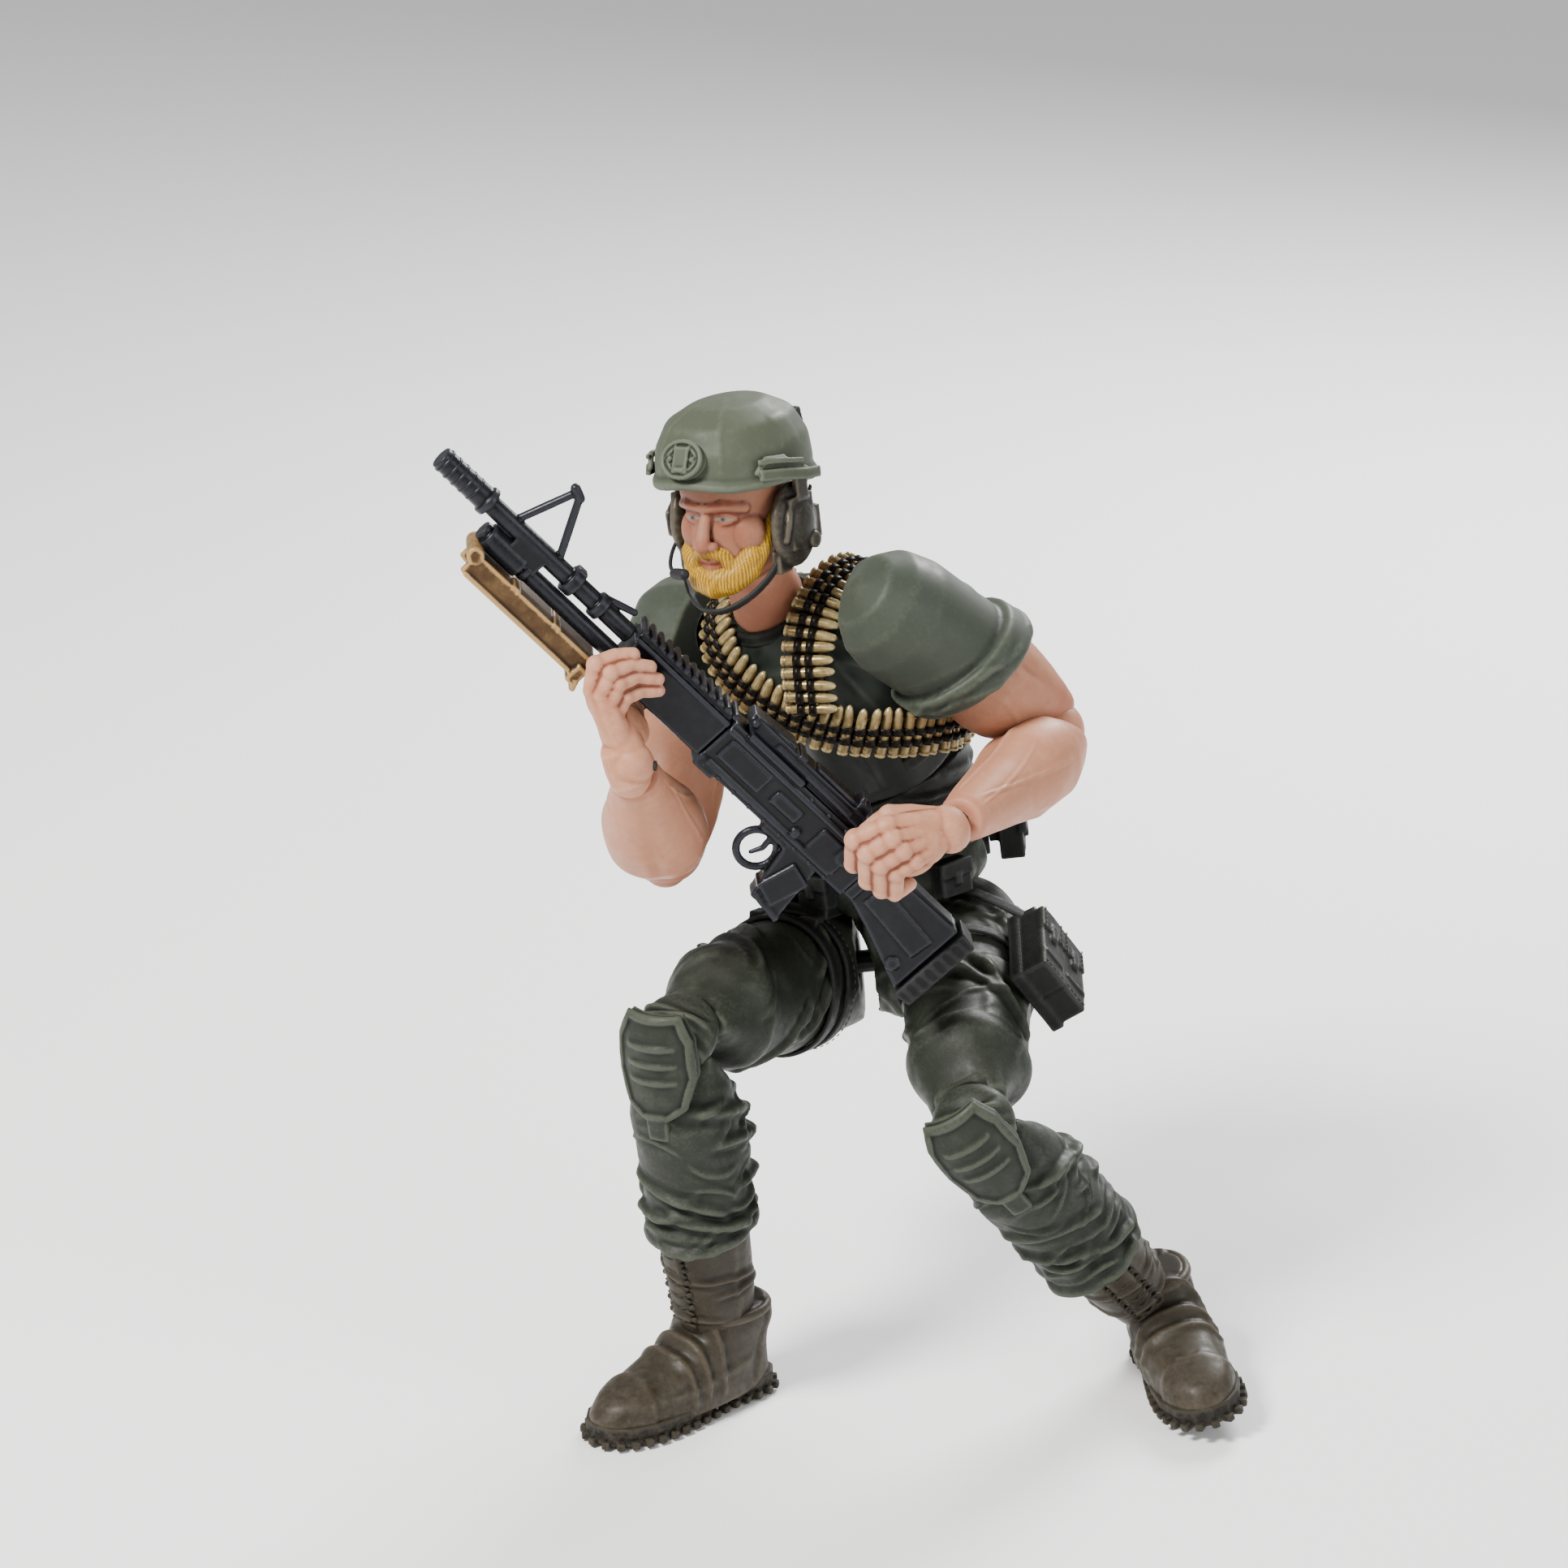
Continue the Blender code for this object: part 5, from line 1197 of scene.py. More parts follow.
def makeFoot(side):
    place = f"{side}_foot"
    s = footSettings
    creaseLines = [(-6.0, 0.55), (-8.2, 0.5), (-3.6, 0.5)]

    def relief(turn, z, points):
        y, top = points[:, 1], step(z + 6.6, 0.5)
        toe = 0.38 * step(-y - 12.4 - 0.05 * points[:, 0] ** 2, 0.16) * step(z + 7.4)
        folds = sum(h * (bump(y - at - 0.10 * np.abs(points[:, 0]), 0.55) - 0.6 * bump(y - at - 0.9, 0.42))
            for at, h in creaseLines) * top
        heel = 0.35 * step(y - 2.4 - 0.25 * (z + 6), 0.16) * step(z + 7.3)
        side = 0.22 * bump(z + 5.0 - 0.12 * (y + 12), 0.5) * step(y + 11) * step(2 - y)
        return toe + folds + heel + side + 0.08 * ripple(points, 5, 13)

    rings = [(2.9, 3.9, 4.7, 0, 1.2), (2.3, 4.5, 5.3, 0, 1.1), (0.6, 4.6, 5.9, 0, 0.7),
        (-1.2, 4.4, 7.2, 0, -1.0), (-3.0, 4.6, 9.6, 0, -3.5), (-4.8, 4.9, 11.9, 0, -5.6),
        (-6.6, 5.0, 12.7, 0, -6.1), (-7.8, 4.9, 12.6, 0, -6.1)]
    upper = tube(rings, 160, 0.25, 2.35, relief, 0.7)
    upper = fuse([upper], 0.24, 1)
    rim = around(2.2, 4.3, 5.2, -180, 180, 41, 0, 1.1)[0]
    padding = chain([tuple(p) for p in rim], 0.7, 10)
    piece(f"{side}BootUpper", place, joined([upper, fuse(padding, 0.2, 2)]), "boot", f"{side}_foot",
        [f"{side}_foot"])
    half = s["sole"]
    outlinePoints = half + [(-x, y) for x, y in half[-2:0:-1]]
    welt = plate(outlinePoints, 1.1, s["soleDrop"] + 2.2, "Z")
    front = plate([(x * 0.95, y) for x, y in outlinePoints if y < -2.0], 1.5, s["soleDrop"] + 1.15, "Z")
    heel = plate([(x * 0.95, y) for x, y in outlinePoints if y > -0.6], 1.7, s["soleDrop"] + 1.25, "Z")
    sole = fuse([welt, front, heel], 0.2, 2)
    piece(f"{side}BootSole", place, sole, "sole", f"{side}_foot", ())
    lug = item(f"{side}Lug", fuse([slab((0, 0, 0), (1.0, 0.9, 1.3))], 0.2, 1))
    ring = smoothPath([(x * 0.97, y, s["soleDrop"] + 0.75) for x, y in outlinePoints + outlinePoints[:1]],
        90)
    outs = np.stack([ring[:, 0] / 25, (ring[:, 1] + 6) / 150, 0 * ring[:, 0]], 1)
    row(f"{side}SoleLugs", place, [(ring, outs / np.linalg.norm(outs, axis=1)[:, None])], lug, 1.75, "sole",
        f"{side}_foot", 1.0, 0.04, False)
    bpy.data.objects.remove(lug)


for limbSide in ("left", "right"):
    makeThigh(limbSide)
    makeKnee(limbSide)
    makeShin(limbSide)
    makeBootShaft(limbSide)
    makeFoot(limbSide)
print("legs made")


# ---- arms and hands ----
armSettings = {side: {"upper": (jointAt(f"{side}_elbow_upper") - jointAt(f"{side}_shoulder_swing")).length,
    "lower": (jointAt(f"{side}_wrist_turn") - jointAt(f"{side}_elbow_lower")).length}
    for side in ("left", "right")}


def makeSleeve(side):
    sign = 1 if side == "left" else -1
    folds = scattered(17 if side == "left" else 18, 14, (-12.0, -8.6), (-180, 180), (-35, 35), (3, 7),
        (0.35, 0.55), (0.25, 0.5))

    def relief(turn, z, points):
        pull = creases(turn, z, [(-30, -5.5, 50, -7.6, 0.7, 0.12, 0.5),
            (120, -4.5, 190, -7.4, 0.7, 0.16, 0.5), (-150, -5.0, -80, -7.4, 0.7, 0.16, 0.5)], 7.2)
        tuck = -0.35 * bump(z + 8.1, 0.3)
        cuff = creases(turn, z, folds, 7.5) * step(-8.4 - z, 0.2)
        return pull + tuck + cuff + 0.06 * ripple(points, 9, 3)

    rings = [(7.35, 0.9, 0.9), (6.2, 4.5, 4.5), (3.6, 6.6, 6.6), (0.0, 7.4, 7.4), (-4.0, 7.3, 7.4),
        (-8.0, 7.2, 7.4), (-8.3, 8.2, 8.4), (-11.7, 8.3, 8.5), (-12.5, 8.0, 8.2), (-12.7, 6.4, 6.6)]
    verts, faces = tube(rings, 144, 0.26, 2.05, relief, 0.25)
    slope = -0.30 * (0.57 * verts[:, 0] * sign + 0.82 * verts[:, 1]) * step(-5.0 - verts[:, 2], 3.0)
    part = verts + np.stack([0 * slope, 0 * slope, np.clip(slope, -2.2, 2.2)], 1), faces
    hub, own = frames[f"{side}_shoulder_hub"], frames[f"{side}_arm"]
    inward = own.inverted().to_3x3() @ hub.to_3x3() @ Vector((-sign, 0, 0))
    turn = inward.to_track_quat("X", "Z").to_matrix().to_4x4()
    face = moved(drum((0, 0, 0), 9.0, 10, "X", None, 64), Matrix.Translation(inward * (3.9 + 5)) @ turn)
    part = fuse([part], 0.25, 1, 0.0, [face, fuse([ball((0, 0, 0), 3.2, None, 40),
        moved(drum((0, 0, 0), 3.0, 9, "X", None, 32), Matrix.Translation(inward * 4.5) @ turn)], 0.3, 0)])
    piece(f"{side}Sleeve", f"{side}_arm", part, "sleeve", f"{side}_shoulder_cap", [f"{side}_shoulder_cap"])


def makeArm(side):
    s = armSettings[side]
    upper, lower = s["upper"], s["lower"]

    def muscles(turn, z, points):
        front = 0.9 * bump(turn, 42) * bump(z + upper - 8.0, 4.5)
        back = 0.7 * bump(wrapped(turn - 180), 46) * bump(z + upper - 8.5, 5.0)
        groove = -0.5 * (bump(turn - 78, 12) + bump(turn + 78, 12)) * bump(z + upper - 7.5, 5.0)
        veins = creases(turn, z, [(30, -13, 14, -upper + 5, 0.28, 0.16, 0.6)], 6)
        return front + back + groove + veins + 0.06 * ripple(points, 6, 4)

    part = tube([(-11.9, 4.6, 4.8), (-12.4, 5.6, 5.8), (-14.6, 6.0, 6.3), (-upper + 6.0, 5.9, 6.0),
        (-upper + 3.0, 5.5, 5.2), (-upper + 0.6, 5.0, 4.1), (-upper - 1.4, 4.4, 3.0),
        (-upper - 2.4, 3.4, 1.6)], 120, 0.25, 2.05, muscles, 0.7)
    flush = bump(part[0][:, 2] + upper, 2.6) * 0.6
    piece(f"{side}UpperArm", f"{side}_arm", part, "skin", f"{side}_bicep", [f"{side}_bicep"],
        {"flush": flush})
    span = 5.4
    elbow = fuse([rod((-1.6, 0, 0), (1.6, 0, 0), 2.6), rod((-1.6, 0, -span), (1.6, 0, -span), 2.6),
        ball((0, 0.7, -span / 2), (4.5, 4.0, 4.0)), ball((0, 2.9, -span / 2 + 0.2), (2.6, 2.4, 2.6)),
        drum((0, 0, 0), 0.8, 7.6), drum((0, 0, -span), 0.8, 7.6)], 0.2, 3)
    piece(f"{side}Elbow", f"{side}_elbow", elbow, "skin", f"{side}_elbow_link", [f"{side}_elbow_link"],
        {"flush": 0.45 * bump(elbow[0][:, 1] - 4.6, 2.0)})

    def sinews(turn, z, points):
        bulge = 0.9 * bump(wrapped(turn - 60), 46) * bump(z + 5.0, 5.0) + 0.7 * bump(turn + 70,
            42) * bump(z + 6, 5)
        groove = -0.45 * bump(turn - 4, 11) * bump(z + 6, 6) - 0.35 * bump(wrapped(turn - 170),
            12) * bump(z + 7, 6)
        veins = creases(turn, z, [(100, -5, 70, -lower + 5, 0.26, 0.18, 0.8),
            (60, -9, 84, -lower + 4, 0.24, 0.15, 0.5), (-60, -6, -40, -lower + 5, 0.26, 0.15, -0.6),
            (20, -7, 10, -lower + 5, 0.4, 0.2, 0.3), (-20, -9, -14, -lower + 4, 0.35, 0.18, 0.2)], 4.6)
        return bulge + groove + veins + 0.05 * ripple(points, 5, 7)

    part = tube([(2.4, 3.4, 1.4), (1.4, 4.4, 2.8), (-0.6, 5.0, 4.0), (-3.4, 5.5, 5.2), (-8.0, 5.2, 5.3),
        (-13.0, 4.2, 4.3), (-lower + 5.6, 3.3, 3.2), (-lower + 3.4, 3.05, 2.85), (-lower + 2.7, 2.6, 2.4)],
        120, 0.24, 2.05, sinews, 0.6)
    flush = 0.5 * bump(part[0][:, 2] - 0.5, 2.4) + 0.5 * bump(part[0][:, 2] + lower - 3.0, 0.7)
    piece(f"{side}Forearm", f"{side}_forearm", part, "skin", f"{side}_forearm", [f"{side}_forearm"],
        {"flush": flush})


def handSkin(name, place, parts, body, node, knuckleMarks, tips):
    part = fuse(parts, 0.15, 4)
    verts = part[0]
    flush = np.zeros(len(verts))
    for point, wide, amount in knuckleMarks + tips:
        flush = np.maximum(flush, amount * np.exp(-((verts - np.array(point)) ** 2).sum(1) / wide ** 2))
    verts = verts + pointNormals(*part) * (0.04 * ripple(verts, 2.2, 6))[:, None]
    piece(name, place, (verts, part[1]), "skin", body, [node], {"flush": flush})


def makeLeftHand():
    knuckles = [(3.9, 2.0, -6.4), (2.5, 2.5, -6.6), (0.8, 2.4, -6.2), (-0.9, 1.8, -5.5)]
    fingers = [[(4.35, 0.7, -10.0), (2.0, -1.9, -11.2), (1.2, -3.4, -9.2)],
        [(2.4, 1.4, -9.6), (-0.4, -1.1, -10.9), (-1.0, -3.0, -8.6)],
        [(0.6, 1.3, -9.0), (-2.1, -1.1, -10.1), (-2.3, -2.9, -7.8)],
        [(-1.1, 0.9, -8.0), (-3.2, -1.1, -9.0), (-3.3, -2.7, -6.8)]]
    sizes = [1.32, 1.28, 1.22, 1.12]
    parts = [ball((0, 0, -0.2), (2.9, 2.5, 2.5)), ball((0.8, -0.4, -5.0), (3.7, 2.5, 3.6)),
        ball((0.6, 0.6, -3.4), (3.1, 2.3, 3.0))]
    for knuckle, bends, size in zip(knuckles, fingers, sizes):
        parts.append(rod((knuckle[0] * 0.3, 0.5, -1.4), knuckle, 2.0, size * 0.95))
        parts += chain([knuckle] + bends, [size, size * 0.97, size * 0.9, size * 0.78])
        parts += [ball(knuckle, size * 1.1), ball(bends[0], size * 1.05)]
    parts += chain([(2.0, -0.6, -1.6), (4.5, -1.4, -5.0), (4.2, -2.5, -8.0), (3.0, -3.0, -9.8)],
        [1.9, 1.5, 1.25, 1.05])
    marks = [(p, 1.1, 0.75) for p in knuckles] + [(r[0], 1.0, 0.7) for r in fingers]
    handSkin("leftFist", "left_hand", parts, "left_hand", "left_hand", marks, [((0, 0, 2.2), 2.0, 0.5)])


def makeRightHand():
    # Worked in the gun's frame: the palm lies under the hand guard and the fingers close on its near side.
    wrist = (44.2, 6.3, -8.0)
    knuckles = [(53.2, 4.8, -5.4), (52.3, 5.6, -4.8), (50.9, 5.9, -5.0), (49.4, 5.7, -5.5)]
    fingers = [[(55.0, 4.6, -3.0), (54.0, 3.9, -1.0), (52.6, 3.5, 0.5)],
        [(53.3, 5.2, -2.4), (52.2, 4.2, -0.5), (50.2, 3.5, 0.8)],
        [(51.8, 5.3, -2.7), (50.7, 4.2, -0.9), (48.5, 3.5, 0.4)],
        [(50.0, 5.1, -3.3), (49.0, 4.1, -1.8), (47.4, 3.5, -0.5)]]
    sizes = [1.05, 1.02, 0.98, 0.92]
    parts = [ball(wrist, (2.7, 2.5, 2.5)), ball((48.4, 3.0, -6.2), (4.6, 3.4, 1.9)),
        rod(wrist, (50.5, 3.6, -5.9), 2.5, 1.7), ball((46.6, 1.2, -6.4), (3.4, 3.2, 2.0)),
        rod((45.4, 5.6, -8.3), (43.1, 6.0, -9.4), 2.5, 2.5)]
    for knuckle, bends, size in zip(knuckles, fingers, sizes):
        parts.append(rod((46.4, 5.8, -7.4), knuckle, 1.9, size))
        parts += chain([knuckle] + bends, [size * 1.05, size, size * 0.92, size * 0.82])
        parts.append(ball(bends[0], size * 1.08))
        parts.append(ball(Vector(bends[2]) + Vector((0.1, size * 0.62, 0.05)), (0.5, 0.28, 0.42), None, 12))
    parts += chain([(46.0, -1.2, -6.2), (47.8, -3.9, -4.4), (49.4, -4.0, -1.0), (50.0, -3.8, 0.8)],
        [1.9, 1.35, 1.15, 0.95])
    marks = [(p, 1.1, 0.75) for p in knuckles] + [(r[0], 0.9, 0.75) for r in fingers] + [(r[2], 0.8, 0.6)
        for r in fingers]
    handSkin("rightGrip", "gun", parts, "right_hand", "right_hand", marks, [(wrist, 1.6, 0.7)])


for limbSide in ("left", "right"):
    makeSleeve(limbSide)
    makeArm(limbSide)
makeLeftHand()
makeRightHand()
print("arms made")


# ---- head, helmet and headset ----
headSettings = {"eyeHeight": 0.5, "eyeApart": 2.45, "eyeSize": 1.2, "browHeight": 2.2, "noseBase": -3.3,
    "mouth": -5.3, "strandSize": 9.0}


def chainDistance(points, path, radii):
    best = np.full(len(points), 99.0)
    for a, b, p, q in zip(path, path[1:], radii, radii[1:]):
        a, b = np.array(a, float), np.array(b, float)
        t = np.clip(((points - a) @ (b - a)) / ((b - a) ** 2).sum(), 0, 1)
        best = np.minimum(best, np.linalg.norm(points - a - t[:, None] * (b - a), axis=1)
            - (p + (q - p) * t))
    return best


def faceForms():
    s = headSettings
    eye, brow, apart = s["eyeHeight"], s["browHeight"], s["eyeApart"]
    skull = tube([(12.2, 1.6, 2.0), (11.6, 4.4, 5.2), (8.8, 6.5, 8.0), (4.4, 6.9, 8.5),
        (2.4, 6.7, 8.0, 0, -0.1), (0.4, 6.3, 7.3, 0, -0.1), (-2.6, 6.0, 6.7, 0, -0.9),
        (-5.6, 5.2, 5.4, 0, -2.2), (-8.0, 3.8, 3.8, 0, -3.6), (-9.2, 2.2, 2.4, 0, -4.6)], 96, 0.4, 2.2,
        None, 1.2)
    parts = [skull, ball((0, 0.6, -4.4), (4.9, 5.2, 5.2))]
    parts += chain([(-4.9, -5.6, brow - 0.3), (-2.6, -7.3, brow + 0.25), (-0.7, -7.7, brow - 0.1),
        (0.7, -7.7, brow - 0.1), (2.6, -7.3, brow + 0.25), (4.9, -5.6, brow - 0.3)],
        [0.7, 0.9, 0.75, 0.75, 0.9, 0.7])
    parts += chain([(0, -7.3, brow - 0.6), (0, -8.4, -0.6), (0, -9.2, s["noseBase"] + 0.5)],
        [0.75, 0.8, 1.05])
    for sign in (-1, 1):
        parts.append(ball((sign * 1.05, -8.4, s["noseBase"] + 0.25), (0.75, 0.95, 0.65)))
        parts.append(ball((sign * 3.3, -3.9, -2.0), (3.2, 2.7, 3.4)))
        parts.append(ball((sign * apart, -6.15, eye), s["eyeSize"], None, 32))
        for lift, size in ((0.62, 0.30), (-0.58, 0.24)):
            arc = [(sign * apart + dx, -7.15 + 0.30 * dx * dx, eye + lift * (1 - (dx / 1.55) ** 2))
                for dx in np.linspace(-1.5, 1.5, 7)]
            parts += chain(arc, size, 12)
        parts.append(ball((sign * 6.7, 1.2, -0.6), (0.9, 1.9, 2.6)))
    mouth = s["mouth"]
    parts += chain([(-2.0, -7.2, mouth), (-0.9, -7.9, mouth + 0.28), (0, -7.95, mouth + 0.15),
        (0.9, -7.9, mouth + 0.28), (2.0, -7.2, mouth)], [0.25, 0.42, 0.4, 0.42, 0.25])
    parts += chain([(-1.8, -7.2, mouth - 0.5), (0, -7.85, mouth - 0.75), (1.8, -7.2, mouth - 0.5)],
        [0.25, 0.5, 0.25])
    return parts


def beardPaths():
    # Moustache, jaw and chin of one side, and the same again for the other.
    beards = [([(6.3, -1.6, -0.6), (5.9, -3.4, -4.0), (4.5, -5.2, -6.8), (2.4, -6.7, -8.3),
        (0, -7.3, -8.8)], [0.5, 0.95, 1.45, 1.6, 1.7]), ([(2.9, -6.7, -6.6), (2.0, -7.5, -4.5),
        (0.8, -8.2, -3.9), (0, -8.3, -4.0)], [0.75, 0.75, 0.72, 0.6]),
        ([(4.9, -4.9, -4.9), (3.4, -6.2, -7.0), (1.6, -7.0, -7.9), (0, -7.3, -7.9)], [1.4, 1.5, 1.6, 1.6])]
    beards += [([(-x, y, z) for x, y, z in path], radii) for path, radii in beards]
    return beards


def faceMasks(verts, beard, hair, mask, strand, lips):
    s = headSettings
    eye, brow, apart = s["eyeHeight"], s["browHeight"], s["eyeApart"]
    x, y, z = verts.T
    side = np.abs(x) - apart
    opening = step(0.30 * (1 - (side / 1.45) ** 2) - np.abs(z - eye - 0.02), 0.04) * step(-y - 6.2, 0.2)
    iris = bump(np.hypot(side, z - eye - 0.02), 0.5) ** 2 * opening
    browMask = step(0.32 - np.abs(z - brow - 0.35 - 0.06 * np.abs(x)), 0.08) * step(4.4 - np.abs(x),
        0.3) * step(np.abs(x) - 0.9, 0.2) * step(-y - 5.0)
    cheeks = 0.55 * bump(np.abs(x) - 3.9, 1.7) * bump(z + 1.4, 1.7) * step(-y - 3) + 0.7 * bump(x,
        1.3) * bump(z - s["noseBase"] - 0.6, 1.2) * step(-y - 8)
    # The eye sockets take the darker flush colour as painted shade; cheeks, lips and brows are the face's
    # own colour.
    socketShade = 0.6 * bump(side, 2.0) * bump(z - eye - 0.6, 1.3) * step(-y - 5)
    # The light beard mask is a painted highlight on the raised strands; the deep beard mask is painted shade
    # in the grooves between them, plus the hair at the back of the head.
    return {"beard": beard * (1 - opening), "beardGrooveShadeAndHair": np.clip(mask * (0.5 - 0.9 * strand), 0, 1) * 0.9
        + hair * 0.6, "beardStrandHighlight": beard * np.clip(strand - 0.35, 0, 0.5), "eyeWhite": opening,
        "iris": iris, "flush": np.clip(cheeks + socketShade + 0.9 * lips + 0.8 * browMask, 0, 1)}


def makeHead():
    s = headSettings
    mouth = s["mouth"]
    parts = faceForms()
    beards = beardPaths()
    for path, radii in beards:
        parts += chain(path, radii)
    verts, faces = fuse(parts, 0.17, 4)
    reach = np.min([chainDistance(verts, path, radii) for path, radii in beards], axis=0)
    lips = bump(verts[:, 2] - mouth + 0.2, 0.75) * step(1.9 - np.abs(verts[:, 0]),
        0.2) * step(-verts[:, 1] - 7.1, 0.1)
    beard = step(0.22 - reach, 0.10) * (1 - lips)
    hair = step(verts[:, 1] - 1.8, 0.5) * step(verts[:, 2] + 5.2, 0.5)
    across = np.degrees(np.arctan2(verts[:, 0], -verts[:, 1] - 1.0)) / 10.0
    flow = across * s["strandSize"] + 2.2 * ripple(verts, 3.0, 3) + 0.22 * verts[:,
        2] * np.sign(verts[:, 0])
    strand = np.sin(flow * 2.0) * 0.6 + 0.4 * np.sin(flow * 4.3 + 1.2 * ripple(verts, 2.4, 9))
    mask = np.maximum(beard, hair * 0.7)
    verts = verts + pointNormals(verts, faces) * (mask * (0.03 * strand + 0.05)
        + 0.03 * ripple(verts, 3, 5))[:, None]
    masks = faceMasks(verts, beard, hair, mask, strand, lips)
    piece("headFace", "head", (verts, faces), "face", "head", ["head"], masks)


def makeNeck():
    neck = tube([(7.6, 3.2, 3.2), (6.0, 3.9, 4.0), (3.0, 4.1, 4.2), (0.0, 4.4, 4.4), (-2.4, 3.4, 3.4)], 96,
        0.25, 2.0, lambda turn, z, p: 0.35 * (bump(turn - 28, 9) + bump(turn + 28, 9)) - 0.2 * bump(turn, 9)
        + 0.08 * ripple(p, 4, 3), 0.6)
    piece("neckColumn", "neck", neck, "skin", "neck", ["neck"], {"flush": 0.35 + 0 * neck[0][:, 2]})


def makeHelmet():
    def relief(turn, z, points):
        rim = 0.38 * bump(z - 5.3, 0.55) - 0.16 * bump(z - 6.3, 0.35)
        seam = 0.16 * bump(turn - 26, 1.6) * step(z - 7.0) + 0.16 * bump(turn + 26, 1.6) * step(z - 7.0)
        brow = 0.20 * step(38 - np.abs(turn), 2) * bump(z - 5.0, 0.5)
        patch = 0.14 * step(13 - np.abs(wrapped(turn - 90)) % 180, 1.0) * step(z - 9.2,
            0.15) * step(13.4 - z, 0.15)
        return rim + seam + brow + patch + 0.05 * ripple(points, 7, 5)

    shell = tube([(15.3, 1.2, 1.6), (14.8, 4.6, 5.6), (12.9, 7.9, 9.1), (9.6, 9.6, 10.9), (5.8, 10.0, 11.4),
        (5.1, 10.15, 11.55), (4.6, 9.9, 11.3)], 160, 0.26, 2.1, relief, 0.9)
    room = tube([(13.9, 2.0, 2.4), (12.4, 6.0, 7.2), (9.2, 8.2, 9.4), (5.6, 8.7, 10.0), (0.6, 8.9, 10.2)],
        72, 0.8, 2.1)
    lift = np.array(shell[0])
    low = step(7.1 - lift[:, 2], 1.2)
    lift[:, 2] += low * (0.9 * bump(lift[:, 0], 5.0) * step(-lift[:, 1])
        - 1.5 * step(lift[:, 1] - 2.5, 2.0))
    part = fuse([(lift, shell[1])], 0.25, 1, 0.0, [room])
    piece("helmetShell", "head", part, "helmet", "head", ["helmet"])
    tilt = Matrix.Translation((0, -11.0, 9.4)) @ Matrix.Rotation(math.radians(-24), 4, "X")
    plateParts = [drum((0, 0.1, 0), 2.55, 1.3, "Y", None, 48)]
    verts, faces = plateParts[0]
    verts = verts * np.array((1.24, 1, 1))
    rim = [(3.0 * math.cos(a), -0.62, 2.42 * math.sin(a)) for a in np.linspace(0, math.tau, 25)]
    mount = [(verts, faces)] + chain(rim, 0.36, 10)
    mount += [slab((0, -0.75, -0.1), (2.3, 0.7, 3.5)), slab((0, -1.05, -1.5), (1.5, 0.5, 0.5))]
    for sign in (-1, 1):
        mount += chain([(sign * 1.1, -0.7, 1.7), (sign * 2.6, -0.6, 0.1), (sign * 1.1, -0.7, -1.7)], 0.26,
            8)
        mount.append(ball((sign * 1.75, -0.75, 0), 0.42, None, 12))
    shroud = moved(fuse(mount, 0.13, 2), tilt)
    piece("helmetMount", "head", shroud, "helmet", "head", ["helmet_shroud"])
    rails = []
    for sign in (-1, 1):
        path = [(sign * 8.7, -6.9, 6.6), (sign * 9.9, -3.4, 6.1), (sign * 10.5, 0.6, 5.2),
            (sign * 10.2, 4.2, 4.6)]
        points = smoothPath(path, 18)
        rails.append(band(points, 1.5, 0.75, (0, 0, 5)))
        points = smoothPath([(x, y, z + 1.8) for x, y, z in path[:3]], 12)
        rails.append(band(points, 0.7, 0.55, (0, 0, 6)))
        rails += chain([(sign * 8.6, -7.0, 7.0), (sign * 9.2, -5.6, 8.6), (sign * 9.9, -2.6, 8.2)], 0.42,
            10)
        for y in (-5.2, -1.8, 1.8):
            rails.append(ball((sign * (10.15 - 0.03 * y * y), y, 6.1 - 0.16 * (y + 2)), 0.55, None, 12))
    piece("helmetRails", "head", fuse(rails, 0.15, 2), "helmet", "head", ())
    pack = fuse([slab((0, 12.6, 8.6), (4.8, 2.0, 4.4), ("X", 12)),
        slab((0, 13.5, 9.6), (3.4, 1.0, 1.2), ("X", 12)), slab((0, 13.5, 7.4), (3.8, 0.8, 0.5), ("X", 12)),
        slab((0, 12.0, 5.4), (2.4, 0.8, 3.4), ("X", 4))], 0.15, 2)
    piece("helmetPack", "head", pack, "webbing", "head", ["helmet_pack"])


cupStretch = (1.1, 1.3, 1.25)


